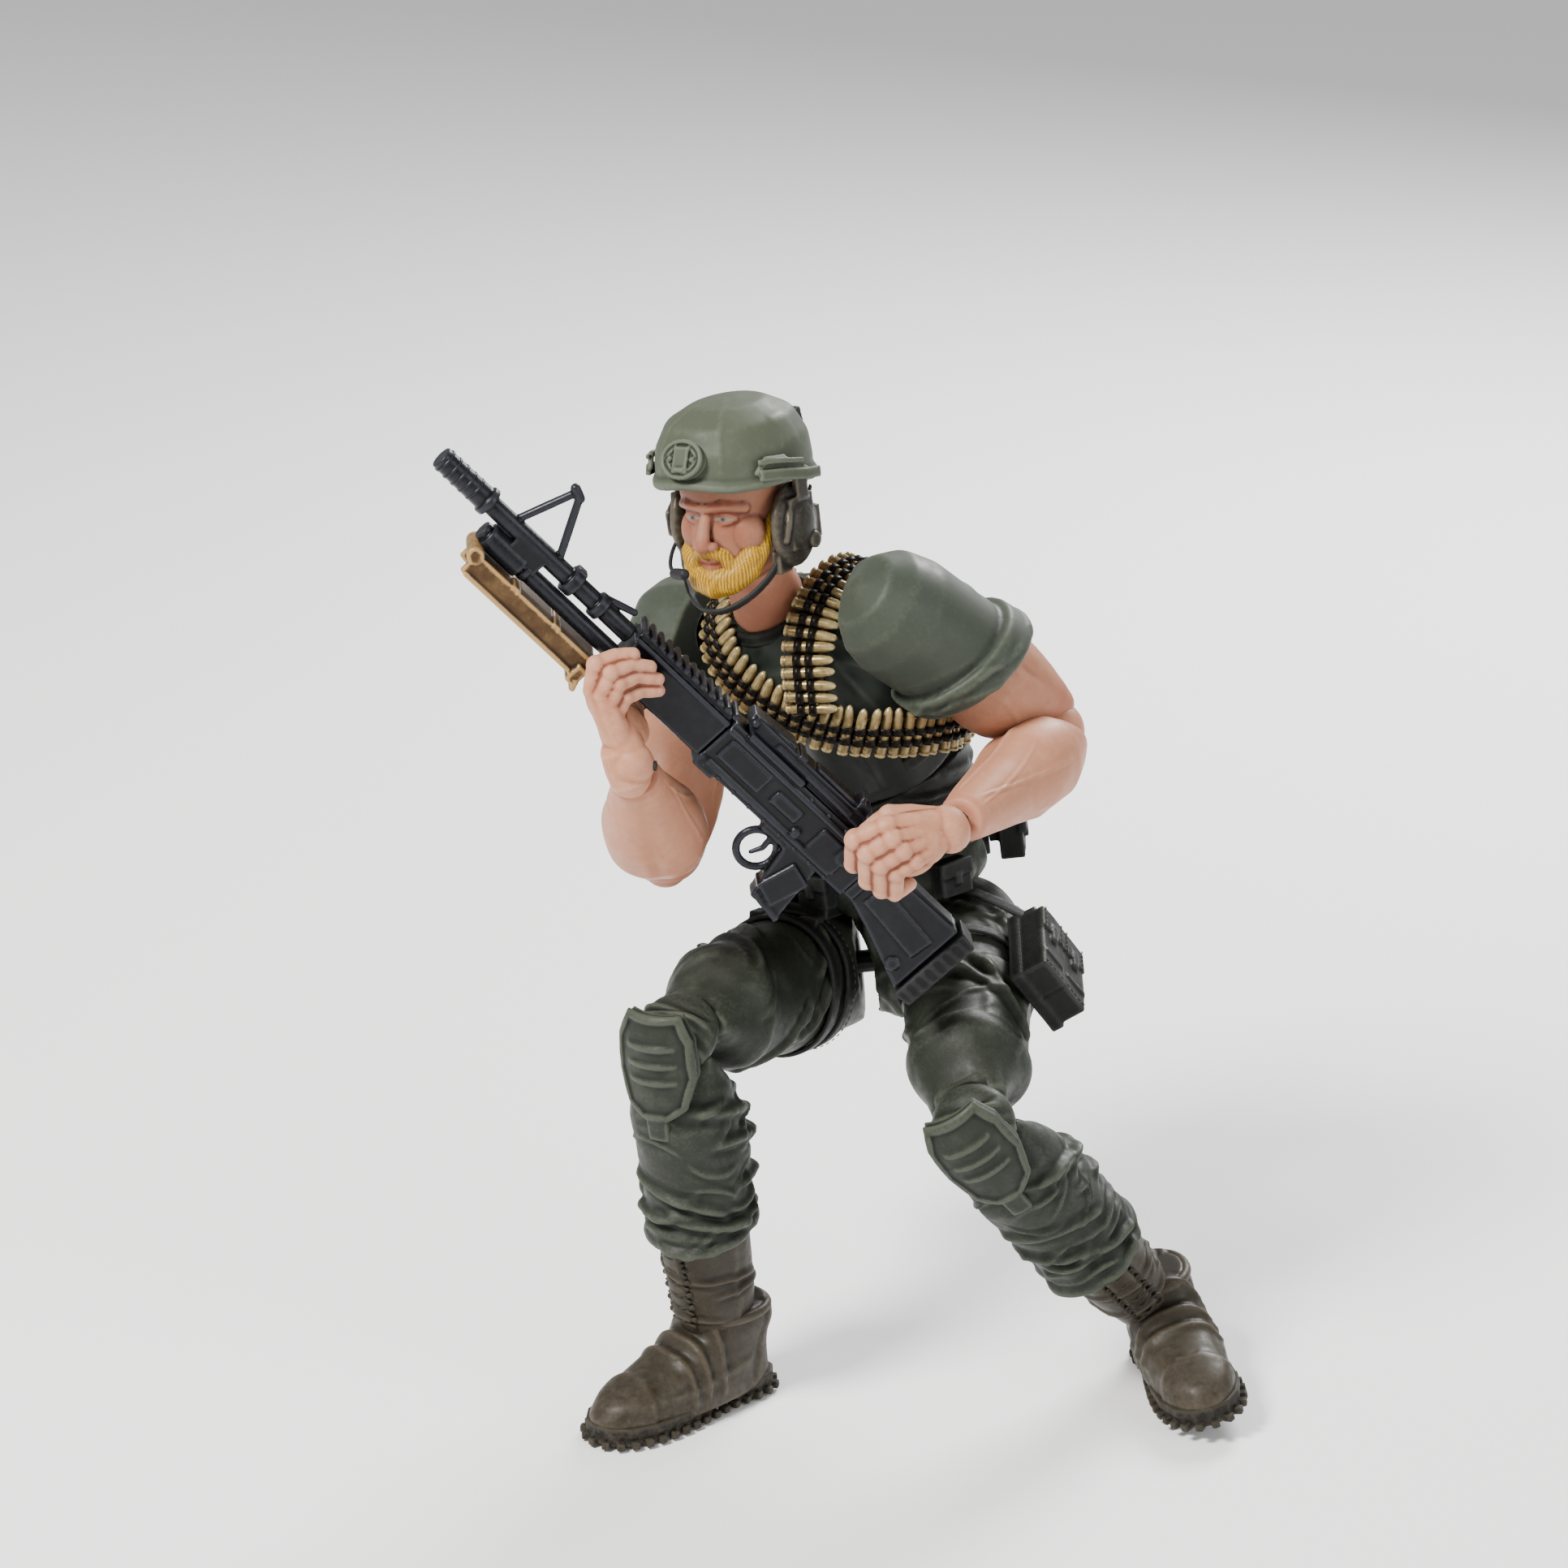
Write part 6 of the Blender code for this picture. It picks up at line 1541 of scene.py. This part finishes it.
def makeHeadset():
    for side, sign in (("left", 1), ("right", -1)):
        parts = [ball((sign * 8.2, 0.6, -1.6), (1.6, 3.7, 4.6)),
            slab((sign * 8.9, 0.7, -1.2), (1.5, 4.2, 5.6)), ball((sign * 9.3, 0.7, -1.6), (0.9, 2.2, 2.9)),
            slab((sign * 9.4, 1.0, 2.6), (0.8, 2.0, 3.0)), slab((sign * 9.3, 2.6, 3.3), (0.8, 3.6, 1.0)),
            slab((sign * 8.0, 3.6, -2.2), (1.6, 2.4, 3.6))]
        parts += chain([(sign * 9.2, -1.0, 0.8), (sign * 9.7, -1.9, -0.6), (sign * 9.3, -2.2, -2.6)], 0.42,
            10)
        parts += [drum((sign * 9.6, 2.0, -3.6), 0.9, 1.4, "X"),
            slab((sign * 7.6, -1.4, -5.2), (1.2, 2.2, 2.4))]
        verts, faces = fuse(parts, 0.16, 2)
        middle = np.array((sign * 8.6, 0.6, -0.6))
        part = (verts - middle) * np.array(cupStretch) + middle, faces
        piece(f"{side}EarCup", "head", part, "headset", "head", [f"ear_cup_{side}"])
    path = smoothPath([(-9.0, -1.4, -3.4), (-8.6, -4.4, -5.4), (-7.0, -7.2, -6.6), (-4.6, -9.2, -6.9)], 24)
    boom = chain([tuple(p) for p in path], 0.32, 10) + [rod((-4.9, -9.2, -6.8), (-3.0, -9.9, -6.6), 0.8)]
    piece("micBoom", "head", fuse(boom, 0.15, 2), "rubber", "head", ())
    strap = smoothPath([(-7.9, -1.2, -3.2), (-7.0, -3.4, -7.0), (-5.0, -6.0, -9.8), (-2.4, -7.8, -11.4),
        (0, -8.3, -11.8), (2.4, -7.8, -11.4), (5.0, -6.0, -9.8), (7.0, -3.4, -7.0), (7.9, -1.2, -3.2)], 48)
    rear = [smoothPath([(sign * 7.7, 1.8, -2.6), (sign * 7.0, 4.6, -1.0), (sign * 6.6, 7.2, 1.6)], 14)
        for sign in (-1, 1)]
    bands = [band(strap, 1.3, 0.5, (0, -2, -4))] + [band(path, 1.2, 0.5, (0, 0, 0)) for path in rear]
    piece("chinStrap", "head", fuse(bands, 0.16, 2), "webbing", "head", ["chin_strap"])


makeHead()
makeNeck()
makeHelmet()
makeHeadset()
print("head made")


# ---- ammunition belts ----
beltSettings = {"spacing": 1.42, "bodyRadius": 0.66, "neckRadius": 0.50}


def roundShape():
    # One round lying across its belt: brass case along Y, with a shoulder and a pointed end.
    s = beltSettings
    profile = [(-3.0, 0.0), (-3.0, 0.62), (-2.72, 0.68), (-2.6, 0.54), (-2.4, 0.66),
        (1.9, s["bodyRadius"] * 0.94), (2.2, s["neckRadius"] + 0.05), (2.6, s["neckRadius"]), (3.0, 0.36),
        (3.2, 0.18), (3.3, 0.0)]
    seg = 9
    verts = [(0, profile[0][0], 0)]
    for y, r in profile[1:-1]:
        verts += [(r * math.cos(math.tau * k / seg), y, r * math.sin(math.tau * k / seg))
            for k in range(seg)]
    verts.append((0, profile[-1][0], 0))
    faces, rowsCount, last = [], len(profile) - 2, len(verts) - 1
    for i in range(rowsCount - 1):
        for k in range(seg):
            m = (k + 1) % seg
            a, b = 1 + i * seg, 1 + (i + 1) * seg
            faces.append([a + k, a + m, b + m, b + k])
    faces += [[0, 1 + (k + 1) % seg, 1 + k] for k in range(seg)]
    end = 1 + (rowsCount - 1) * seg
    faces += [[last, end + k, end + (k + 1) % seg] for k in range(seg)]
    verts = np.array(verts, float)
    return verts + np.array((0, 0, 0.72)), [f[::-1] for f in faces]


def linkShape():
    # The metal link that clips over each round.
    arc = [(0.90 * math.cos(a), 0.72 + 0.90 * math.sin(a)) for a in np.linspace(-0.5, math.pi + 0.5, 7)]
    parts = []
    for y in (-1.1, 0.35):
        verts, faces = [], []
        for x, z in arc:
            k = 0.86
            verts += [(x, y - 0.42, z), (x, y + 0.42, z), (x * k, y + 0.42, 0.72 + (z - 0.72) * k),
                (x * k, y - 0.42, 0.72 + (z - 0.72) * k)]
        for i in range(len(arc) - 1):
            for a, b in ((0, 1), (1, 2), (2, 3), (3, 0)):
                faces.append([i * 4 + a, i * 4 + b, i * 4 + 4 + b, i * 4 + 4 + a])
        faces += [[3, 2, 1, 0], [len(verts) - 4 + k for k in range(4)]]
        parts.append((np.array(verts), [f[::-1] for f in faces]))
    return joined(parts)


def bandolierPaths():
    overLeft = [(7.6, 9.9, 14.0), (8.0, 9.4, 19.5), (8.1, 7.0, 24.5), (7.9, 2.0, 27.3), (7.6, -3.6, 26.9),
        (7.2, -7.2, 24.4), (6.8, -9.0, 21.6), (6.4, -9.9, 19.4)]
    overRight = [(-6.8, 9.5, 15.0), (-7.4, 9.2, 20.0), (-7.5, 6.6, 24.8), (-7.2, 1.2, 27.5),
        (-5.8, -4.4, 26.9), (-2.8, -8.4, 24.4), (1.2, -10.2, 21.2), (5.0, -10.4, 18.0), (8.7, -9.0, 14.8),
        (11.7, -5.9, 11.2), (13.2, -1.9, 7.6), (13.0, 2.2, 4.6), (11.4, 6.6, 3.4)]
    return smoothPath(overLeft, 120), smoothPath(overRight, 160)


def beltOutward(path):
    out = (path - np.array((0, 0, 12))) / np.array((169.0, 100.0, 196.0))
    return out / np.linalg.norm(out, axis=1)[:, None]


def makeBandoliers():
    case, clip = item("beltRound", roundShape()), item("beltLink", linkShape())
    for name, path, node, wide in (("beltOverLeft", *bandolierPaths()[:1], "bandolier_left", 3.4),
            ("beltOverRight", *bandolierPaths()[1:], "bandolier_right", 3.0)):
        out = beltOutward(path)
        backing = band(path[::2] - out[::2] * 0.15, wide, 0.5, None, out[::2])
        piece(name + "Backing", "chest", fuse([backing], 0.2, 1), "link", "chest", [node])
        row(name + "Rounds", "chest", [(path, out)], case, beltSettings["spacing"], "brass", "chest", 1.0,
            0.09, True)
        row(name + "Links", "chest", [(path, out)], clip, beltSettings["spacing"], "link", "chest", 1.0,
            0.05, True)
    for old in (case, clip):
        bpy.data.objects.remove(old)


# ---- leg gear ----
pouchDrop = 2.4
pocketsAt = (-1.2, 3.4)


def ringBand(z, rx, ry, wide, thick, tilt=0.0):
    path, out = around(z, rx, ry, -180, 180, 61, 0, 0, 2.15)
    path[:, 2] += tilt * np.cos(np.radians(np.linspace(-180, 180, 61)))
    return band(path, wide, thick, None, out)


def makeRightLegGear(stitch):
    loops = [ringBand(-10.0, 7.75, 8.1, 1.9, 0.55, 0.6), ringBand(-13.4, 7.6, 8.1, 1.9, 0.55, 0.3)]
    loops += [slab((3.4, -8.3, -11.6), (2.4, 0.9, 2.0)), slab((-3.6, -8.0, -11.9), (1.6, 1.0, 2.6))]
    piece("rightLegLoops", "right_thigh", fuse(loops, 0.18, 2), "webbing", "right_thigh",
        ["right_thigh_strap"])
    path, out = around(-9.3, 8.35, 8.7, -170, 170, 80, 0, 0, 2.15)
    row("rightLoopStitches", "right_thigh", [(path, out)], stitch, 0.9, "trousers", "right_thigh", 1.0, 0.0,
        False)
    holster = [slab((-10.3, 0, -9.2), (2.9, 5.6, 8.8)), slab((-10.6, 0, -4.4), (2.4, 4.2, 2.6), ("Y", 8)),
        slab((-11.9, 0, -7.0), (0.7, 6.0, 1.4)), slab((-11.9, 0, -11.0), (0.7, 6.0, 1.4)),
        rod((-10.6, 1.6, -3.4), (-10.4, 3.2, -2.2), 0.9), slab((-9.0, 0, -8.6), (1.2, 7.0, 7.0)),
        slab((-12.2, 0, -9.0), (0.5, 1.4, 4.6))]
    piece("rightHolster", "right_thigh", fuse(holster, 0.16, 3), "webbing", "right_thigh",
        ["right_holster"])
    small = [slab((1.2, -8.6, -6.4), (6.2, 1.8, 6.6)), slab((1.2, -9.6, -4.6), (6.5, 0.6, 2.6)),
        slab((1.2, -9.9, -6.0), (1.2, 0.5, 2.2)), slab((-2.4, -8.6, -9.6), (1.2, 1.0, 2.6))]
    piece("rightFrontPouch", "right_thigh", fuse(small, 0.16, 3), "vest", "right_thigh", ())


def makeDropPouch(stitch):
    pouch = []
    for y in pocketsAt:
        pouch += [slab((11.2, y, -10.2), (3.8, 4.3, 11.4)), slab((12.9, y, -6.6), (0.9, 4.5, 3.8)),
            slab((13.3, y, -8.4), (0.6, 1.1, 3.0)), slab((13.1, y, -13.0), (0.5, 3.6, 0.7))]
    pouch += [slab((9.0, 1.2, -10.0), (1.6, 9.6, 12.2)), slab((11.0, 1.2, -15.2), (3.4, 8.6, 0.8)),
        slab((10.4, 1.2, -4.0), (3.2, 8.8, 0.9))]
    verts, faces = fuse(pouch, 0.16, 4)
    verts = verts + pointNormals(verts, faces) * (0.12 * ripple(verts, 5, 3))[:, None]
    verts = verts - np.array((0, 0, pouchDrop))
    piece("leftDropPouch", "left_thigh", (verts, faces), "vest", "left_thigh", ["left_drop_pouch"])
    edges = []
    for y in pocketsAt:
        for dy in (-1.7, 1.7):
            line = [(13.36, y + dy, -4.9 - pouchDrop), (13.36, y + dy, -8.3 - pouchDrop)]
            edges.append((np.array(line), np.array([(1, 0, 0)] * 2)))
        line = [(13.12, y - 1.6, -15.0 - pouchDrop), (13.12, y + 1.6, -15.0 - pouchDrop)]
        edges.append((np.array(line), np.array([(1, 0, 0)] * 2)))
    row("leftPouchStitches", "left_thigh", edges, stitch, 0.75, "trousers", "left_thigh", 1.0, 0.0, False)


def makeHanger():
    loops = [ringBand(-9.6, 7.8, 8.2, 1.5, 0.5, 0.2)]
    piece("leftLegLoop", "left_thigh", fuse(loops, 0.18, 2), "webbing", "left_thigh", ["left_pouch_strap"])
    hanger = smoothPath([(-2.2, -7.6, 3.4), (0.6, -8.1, 1.0), (4.0, -7.6, -1.6), (7.2, -5.6, -4.0),
        (9.6, -3.4, -6.0)], 30)
    straps = [band(hanger, 1.5, 0.5, (0, 0, -2))]
    straps.append(band(smoothPath([(9.6, -3.4, -6.0), (11.2, -1.8, -7.6), (12.2, -0.6, -8.8)], 10), 1.3,
        0.5, (0, 0, -2)))
    piece("leftHanger", "left_thigh", fuse(straps, 0.16, 2), "webbing", "left_thigh", ())
    buckle = fuse([slab((2.3, -8.6, 0.0), (2.2, 0.6, 1.5), ("Y", 38)),
        slab((2.3, -8.9, 0.0), (1.2, 0.5, 0.7), ("Y", 38)), rod((1.2, -8.5, 1.2), (-1.8, -8.2, 4.6), 0.26)],
        0.12, 2)
    piece("leftBuckle", "left_thigh", buckle, "buckle", "left_thigh", ())


def makeLegGear():
    stitch = item("stitch", slab((0, 0, 0.03), (0.42, 0.13, 0.12)))
    makeRightLegGear(stitch)
    makeDropPouch(stitch)
    makeHanger()
    bpy.data.objects.remove(stitch)


# ---- machine gun, in its own frame: X ahead, Y to its left, Z up ----
gunSettings = {"thick": 4.6, "ribSpacing": 1.28, "ribStart": 38.4, "ribEnd": 53.0, "voxel": 0.14}


def gunPiece(name, parts, look, node, voxel=None, place="gun", body="right_hand", turns=2):
    part = fuse(parts, voxel or gunSettings["voxel"], turns)
    piece(name, place, part, look, body, [node] if node else ())


def makeReceiver():
    t = gunSettings["thick"]
    parts = [slab((26, 0, -0.6), (24, t, 6.4)), slab((27, 0, 1.5), (21.6, t + 0.5, 0.5)),
        slab((27, 0, -2.9), (20.0, t + 0.5, 0.6)), slab((31.4, 0, 2.7), (8.6, t + 1.1, 0.9)),
        slab((33.4, 0, -0.4), (6.4, t + 0.5, 2.6)), slab((19.0, 0, -1.0), (4.6, t + 0.5, 3.2)),
        slab((36.6, 0, -3.5), (3.0, t + 0.3, 1.6)), rod((30, -2.4, 0.4), (30, -4.2, 0.6), 0.6),
        slab((26.4, 2.3, -0.6), (4.0, 0.6, 1.5)), slab((22.6, 0, 3.0), (8.0, 3.2, 0.8)),
        drum((17.2, 0, -0.3), 1.0, t + 0.9, "Y"), drum((23.4, 0, -2.0), 0.55, t + 0.8, "Y")]
    gunPiece("gunReceiver", parts, "gun", "gun_receiver")
    cover = [slab((27.2, 0, 3.9), (18.6, 3.7, 1.6)), slab((33.8, 0, 4.5), (6.4, 3.0, 1.0), ("Y", 5)),
        slab((23.6, 0, 4.8), (6.4, 2.2, 0.7)), slab((19.6, 0, 4.9), (1.8, 3.3, 1.7)),
        slab((20.3, 0, 5.9), (0.6, 2.5, 0.9)), slab((29.2, 0, 4.8), (1.0, 4.0, 0.5)),
        rod((36.2, -1.8, 4.0), (36.2, 1.8, 4.0), 0.55), slab((26.4, 1.8, 3.7), (12.0, 0.5, 0.7))]
    gunPiece("gunFeedCover", cover, "gun", "gun_feed_cover")
    rivet = item("rivet", ball((0, 0, 0), (0.30, 0.30, 0.17), None, 8))
    lines = []
    for sign in (-1, 1):
        for z, a, b in ((-3.55, 17, 37), (2.15, 16.5, 25)):
            lines.append((np.array([(a, sign * (t / 2 + 0.02), z), (b, sign * (t / 2 + 0.02), z)]),
                np.array([(0, sign, 0)] * 2, float)))
    row("gunRivets", "gun", lines, rivet, 2.4, "gun", "right_hand", 1.0, 0.0, True)
    bpy.data.objects.remove(rivet)


def makeForeEnd():
    t, s = gunSettings["thick"], gunSettings
    guard = [slab((45.6, 0, -0.6), (14.6, t - 0.1, 5.4)), slab((45.6, 0, -2.9), (14.0, t - 1.3, 1.2)),
        slab((45.8, 0, 1.75), (15.0, t + 0.2, 0.5)), slab((45.8, 0, 2.3), (14.6, 3.6, 1.0))]
    gunPiece("gunHandGuard", guard, "gun", "gun_handguard")
    rib = item("coverRib", fuse([slab((0, 0, 0), (0.66, 4.3, 0.95)), slab((0, 0, -0.3), (0.9, 3.7, 0.4))],
        0.26, 1))
    line = [(s["ribStart"], 0, 2.95), (s["ribEnd"], 0, 2.95)]
    row("gunCoverRibs", "gun", [(np.array(line, float), np.array([(0, 0, 1.0)] * 2))], rib, s["ribSpacing"],
        "gun", "right_hand", 1.0, 0.0, False)
    bpy.data.objects.remove(rib)
    barrel = [drum((68.2, 0, 1.0), 1.15, 29.6, "X"), drum((79.6, 0, 1.0), 1.45, 7.4, "X", 1.35),
        drum((76.0, 0, 1.0), 1.75, 0.8, "X"), drum((62.6, 0, 1.0), 1.75, 1.4, "X"),
        drum((58.4, 0, 1.0), 1.6, 1.2, "X"), rod((65.4, 0, 1.6), (69.2, 0, 8.6), 0.5),
        rod((72.2, 0, 1.6), (69.8, 0, 8.6), 0.5), rod((69.0, 0, 8.4), (70.2, 0, 8.9), 0.6),
        slab((62.6, 0, 2.0), (1.3, 1.6, 1.6)), slab((68.6, 0, -0.4), (4.4, 2.2, 2.4)),
        rod((58.4, 0, 2.2), (55.0, 0, 3.2), 0.45)]
    gunPiece("gunBarrel", barrel, "gun", "gun_barrel", voxel=0.12)
    ring = item("muzzleRing", drum((0, 0, 0), 1.52, 0.3, "X", None, 20))
    row("muzzleRings", "gun", [(np.array([(78.0, 0, 1.0), (82.6, 0, 1.0)]), np.array([(0, 0, 1.0)] * 2))],
        ring, 1.1, "gun", "right_hand", 0.97, 0.0, True)
    bpy.data.objects.remove(ring)
    gasTube = [drum((62.6, 0, -1.9), 1.05, 18.6, "X"), drum((70.6, 0, -1.8), 1.6, 5.4, "X"),
        drum((67.2, 0, -1.8), 1.3, 0.8, "X"), drum((73.6, 0, -1.8), 1.15, 1.0, "X")]
    gunPiece("gunGasTube", gasTube, "gun", "gun_gas_tube", voxel=0.13)


def makeGripAndStock():
    grip = [plate([(17.8, -3.9), (22.7, -3.9), (20.9, -11.4), (16.7, -10.9)], 2.8),
        slab((19.3, 0, -7.8), (3.2, 3.4, 5.0), ("Y", -14)), slab((18.7, 0, -11.1), (4.4, 3.2, 0.8),
        ("Y", -8)), slab((22.4, 0, -4.2), (7.6, 2.6, 1.0))]
    circle = [(24.3 + 2.35 * math.cos(a), 0, -7.1 + 2.35 * math.sin(a))
        for a in np.linspace(0, math.tau, 21)]
    grip += chain(circle, 0.5, 12)
    grip += chain([(24.0, 0, -5.0), (23.8, 0, -6.6), (24.4, 0, -7.9)], [0.45, 0.38, 0.3], 10)
    gunPiece("gunGrip", grip, "gun", "gun_grip")
    stock = [plate([(13.6, 2.2), (13.6, -3.2), (9.0, -4.6), (0.7, -7.6), (0.7, 2.4)], 3.8),
        slab((7.4, 0, 2.3), (12.0, 3.0, 0.7)), slab((6.6, 0, -1.6), (9.0, 4.3, 3.0), ("Y", -6)),
        slab((13.2, 0, -0.6), (1.4, 4.5, 5.6)), drum((3.2, 0, -5.6), 0.8, 4.3, "Y")]
    gunPiece("gunStock", stock, "gun", "gun_stock")
    pad = [plate([(0.2, 2.8), (0.2, -8.2), (-2.2, -7.9), (-2.2, 2.4)], 4.3)]
    pad += [slab((-1.0, 0, z), (1.9, 4.6, 0.55)) for z in np.linspace(-6.9, 1.5, 7)]
    gunPiece("gunButtPad", pad, "rubber", "gun_butt_pad")


def makeBipod():
    parts = [slab((-9.2, 0, 0.15), (18.6, 5.2, 0.7)), slab((-9.2, 2.2, -1.1), (18.4, 0.8, 2.4)),
        slab((-9.2, -2.2, -1.1), (18.4, 0.8, 2.4)), slab((-9.4, 2.35, -2.2), (17.6, 0.9, 0.5)),
        slab((-9.4, -2.35, -2.2), (17.6, 0.9, 0.5)), slab((-18.0, 0, -2.0), (1.4, 6.0, 2.4)),
        slab((-18.6, 0, -3.0), (0.7, 6.2, 1.4), ("Y", 20)), drum((0, 0, 0.1), 1.0, 5.4, "Y"),
        slab((-6.0, 0, 0.4), (1.0, 5.4, 0.6)), slab((-12.4, 0, 0.4), (1.0, 5.4, 0.6))]
    gunPiece("gunBipod", parts, "bronze", "gun_bipod", None, "bipod", "gun_bipod")


makeBandoliers()
makeLegGear()
makeReceiver()
makeForeEnd()
makeGripAndStock()
makeBipod()
print("gear and gun made")


# ---- carried-over solids, floor, light and camera ----
def dressFrame():
    for node in frame["nodes"].values():
        if not node.hide_render:
            node.data.materials.clear()
            node.data.materials.append(looks["peg"])


def areaLight(name, at, aim, size, power, tint):
    made = bpy.data.lights.new(name, "AREA")
    made.shape, made.size, made.energy, made.color = "DISK", size, power, tint
    holder = placedObject(name, made)
    holder.location = at
    holder.rotation_euler = (Vector(aim) - Vector(at)).to_track_quat("-Z", "Y").to_euler()


# Metres, watts and degrees; each lamp has its place, the point it aims at, its size, power and tint.
stageSettings = {"floorHalf": 3, "floorTone": (0.94, 0.94, 0.94, 1), "floorRough": 0.8, "skyStrength": 0.50,
    "lens": 115.5, "sensor": 36.0, "cameraAt": (-0.0074, -0.5508, 0.2753), "cameraPitch": 70}
lamps = {"key": ((-0.30, -0.26, 0.48), (0, 0, 0.07), 0.16, 6.6, (1, 0.98, 0.95)),
    "fill": ((0.42, -0.28, 0.22), (0, 0, 0.06), 0.30, 1.2, (1, 1, 1)),
    "rim": ((0.22, 0.42, 0.38), (0, 0, 0.08), 0.25, 5.0, (1, 1, 1))}


def makeStage():
    s = stageSettings
    half = s["floorHalf"]
    corners = [(-half, -half, 0), (half, -half, 0), (half, half, 0), (-half, half, 0)]
    mesh = newMesh("floor", corners, [[0, 1, 2, 3]])
    floor = placedObject("floor", mesh)
    look = bpy.data.materials.new("floorPaint")
    look.use_nodes = True
    look.node_tree.nodes["Principled BSDF"].inputs["Base Color"].default_value = s["floorTone"]
    look.node_tree.nodes["Principled BSDF"].inputs["Roughness"].default_value = s["floorRough"]
    mesh.materials.append(look)
    world = bpy.data.worlds.new("studio")
    world.use_nodes = True
    world.node_tree.nodes["Background"].inputs["Color"].default_value = (1, 1, 1, 1)
    world.node_tree.nodes["Background"].inputs["Strength"].default_value = s["skyStrength"]
    bpy.context.scene.world = world
    for name, settings in lamps.items():
        areaLight(name, *settings)
    lens = bpy.data.cameras.new("view")
    lens.lens, lens.sensor_width, lens.clip_start = s["lens"], s["sensor"], 0.01
    camera = placedObject("view", lens)
    camera.location = s["cameraAt"]
    camera.rotation_euler = (math.radians(s["cameraPitch"]), 0, 0)
    bpy.context.scene.camera = camera


dressFrame()
makeStage()


print("stage set")
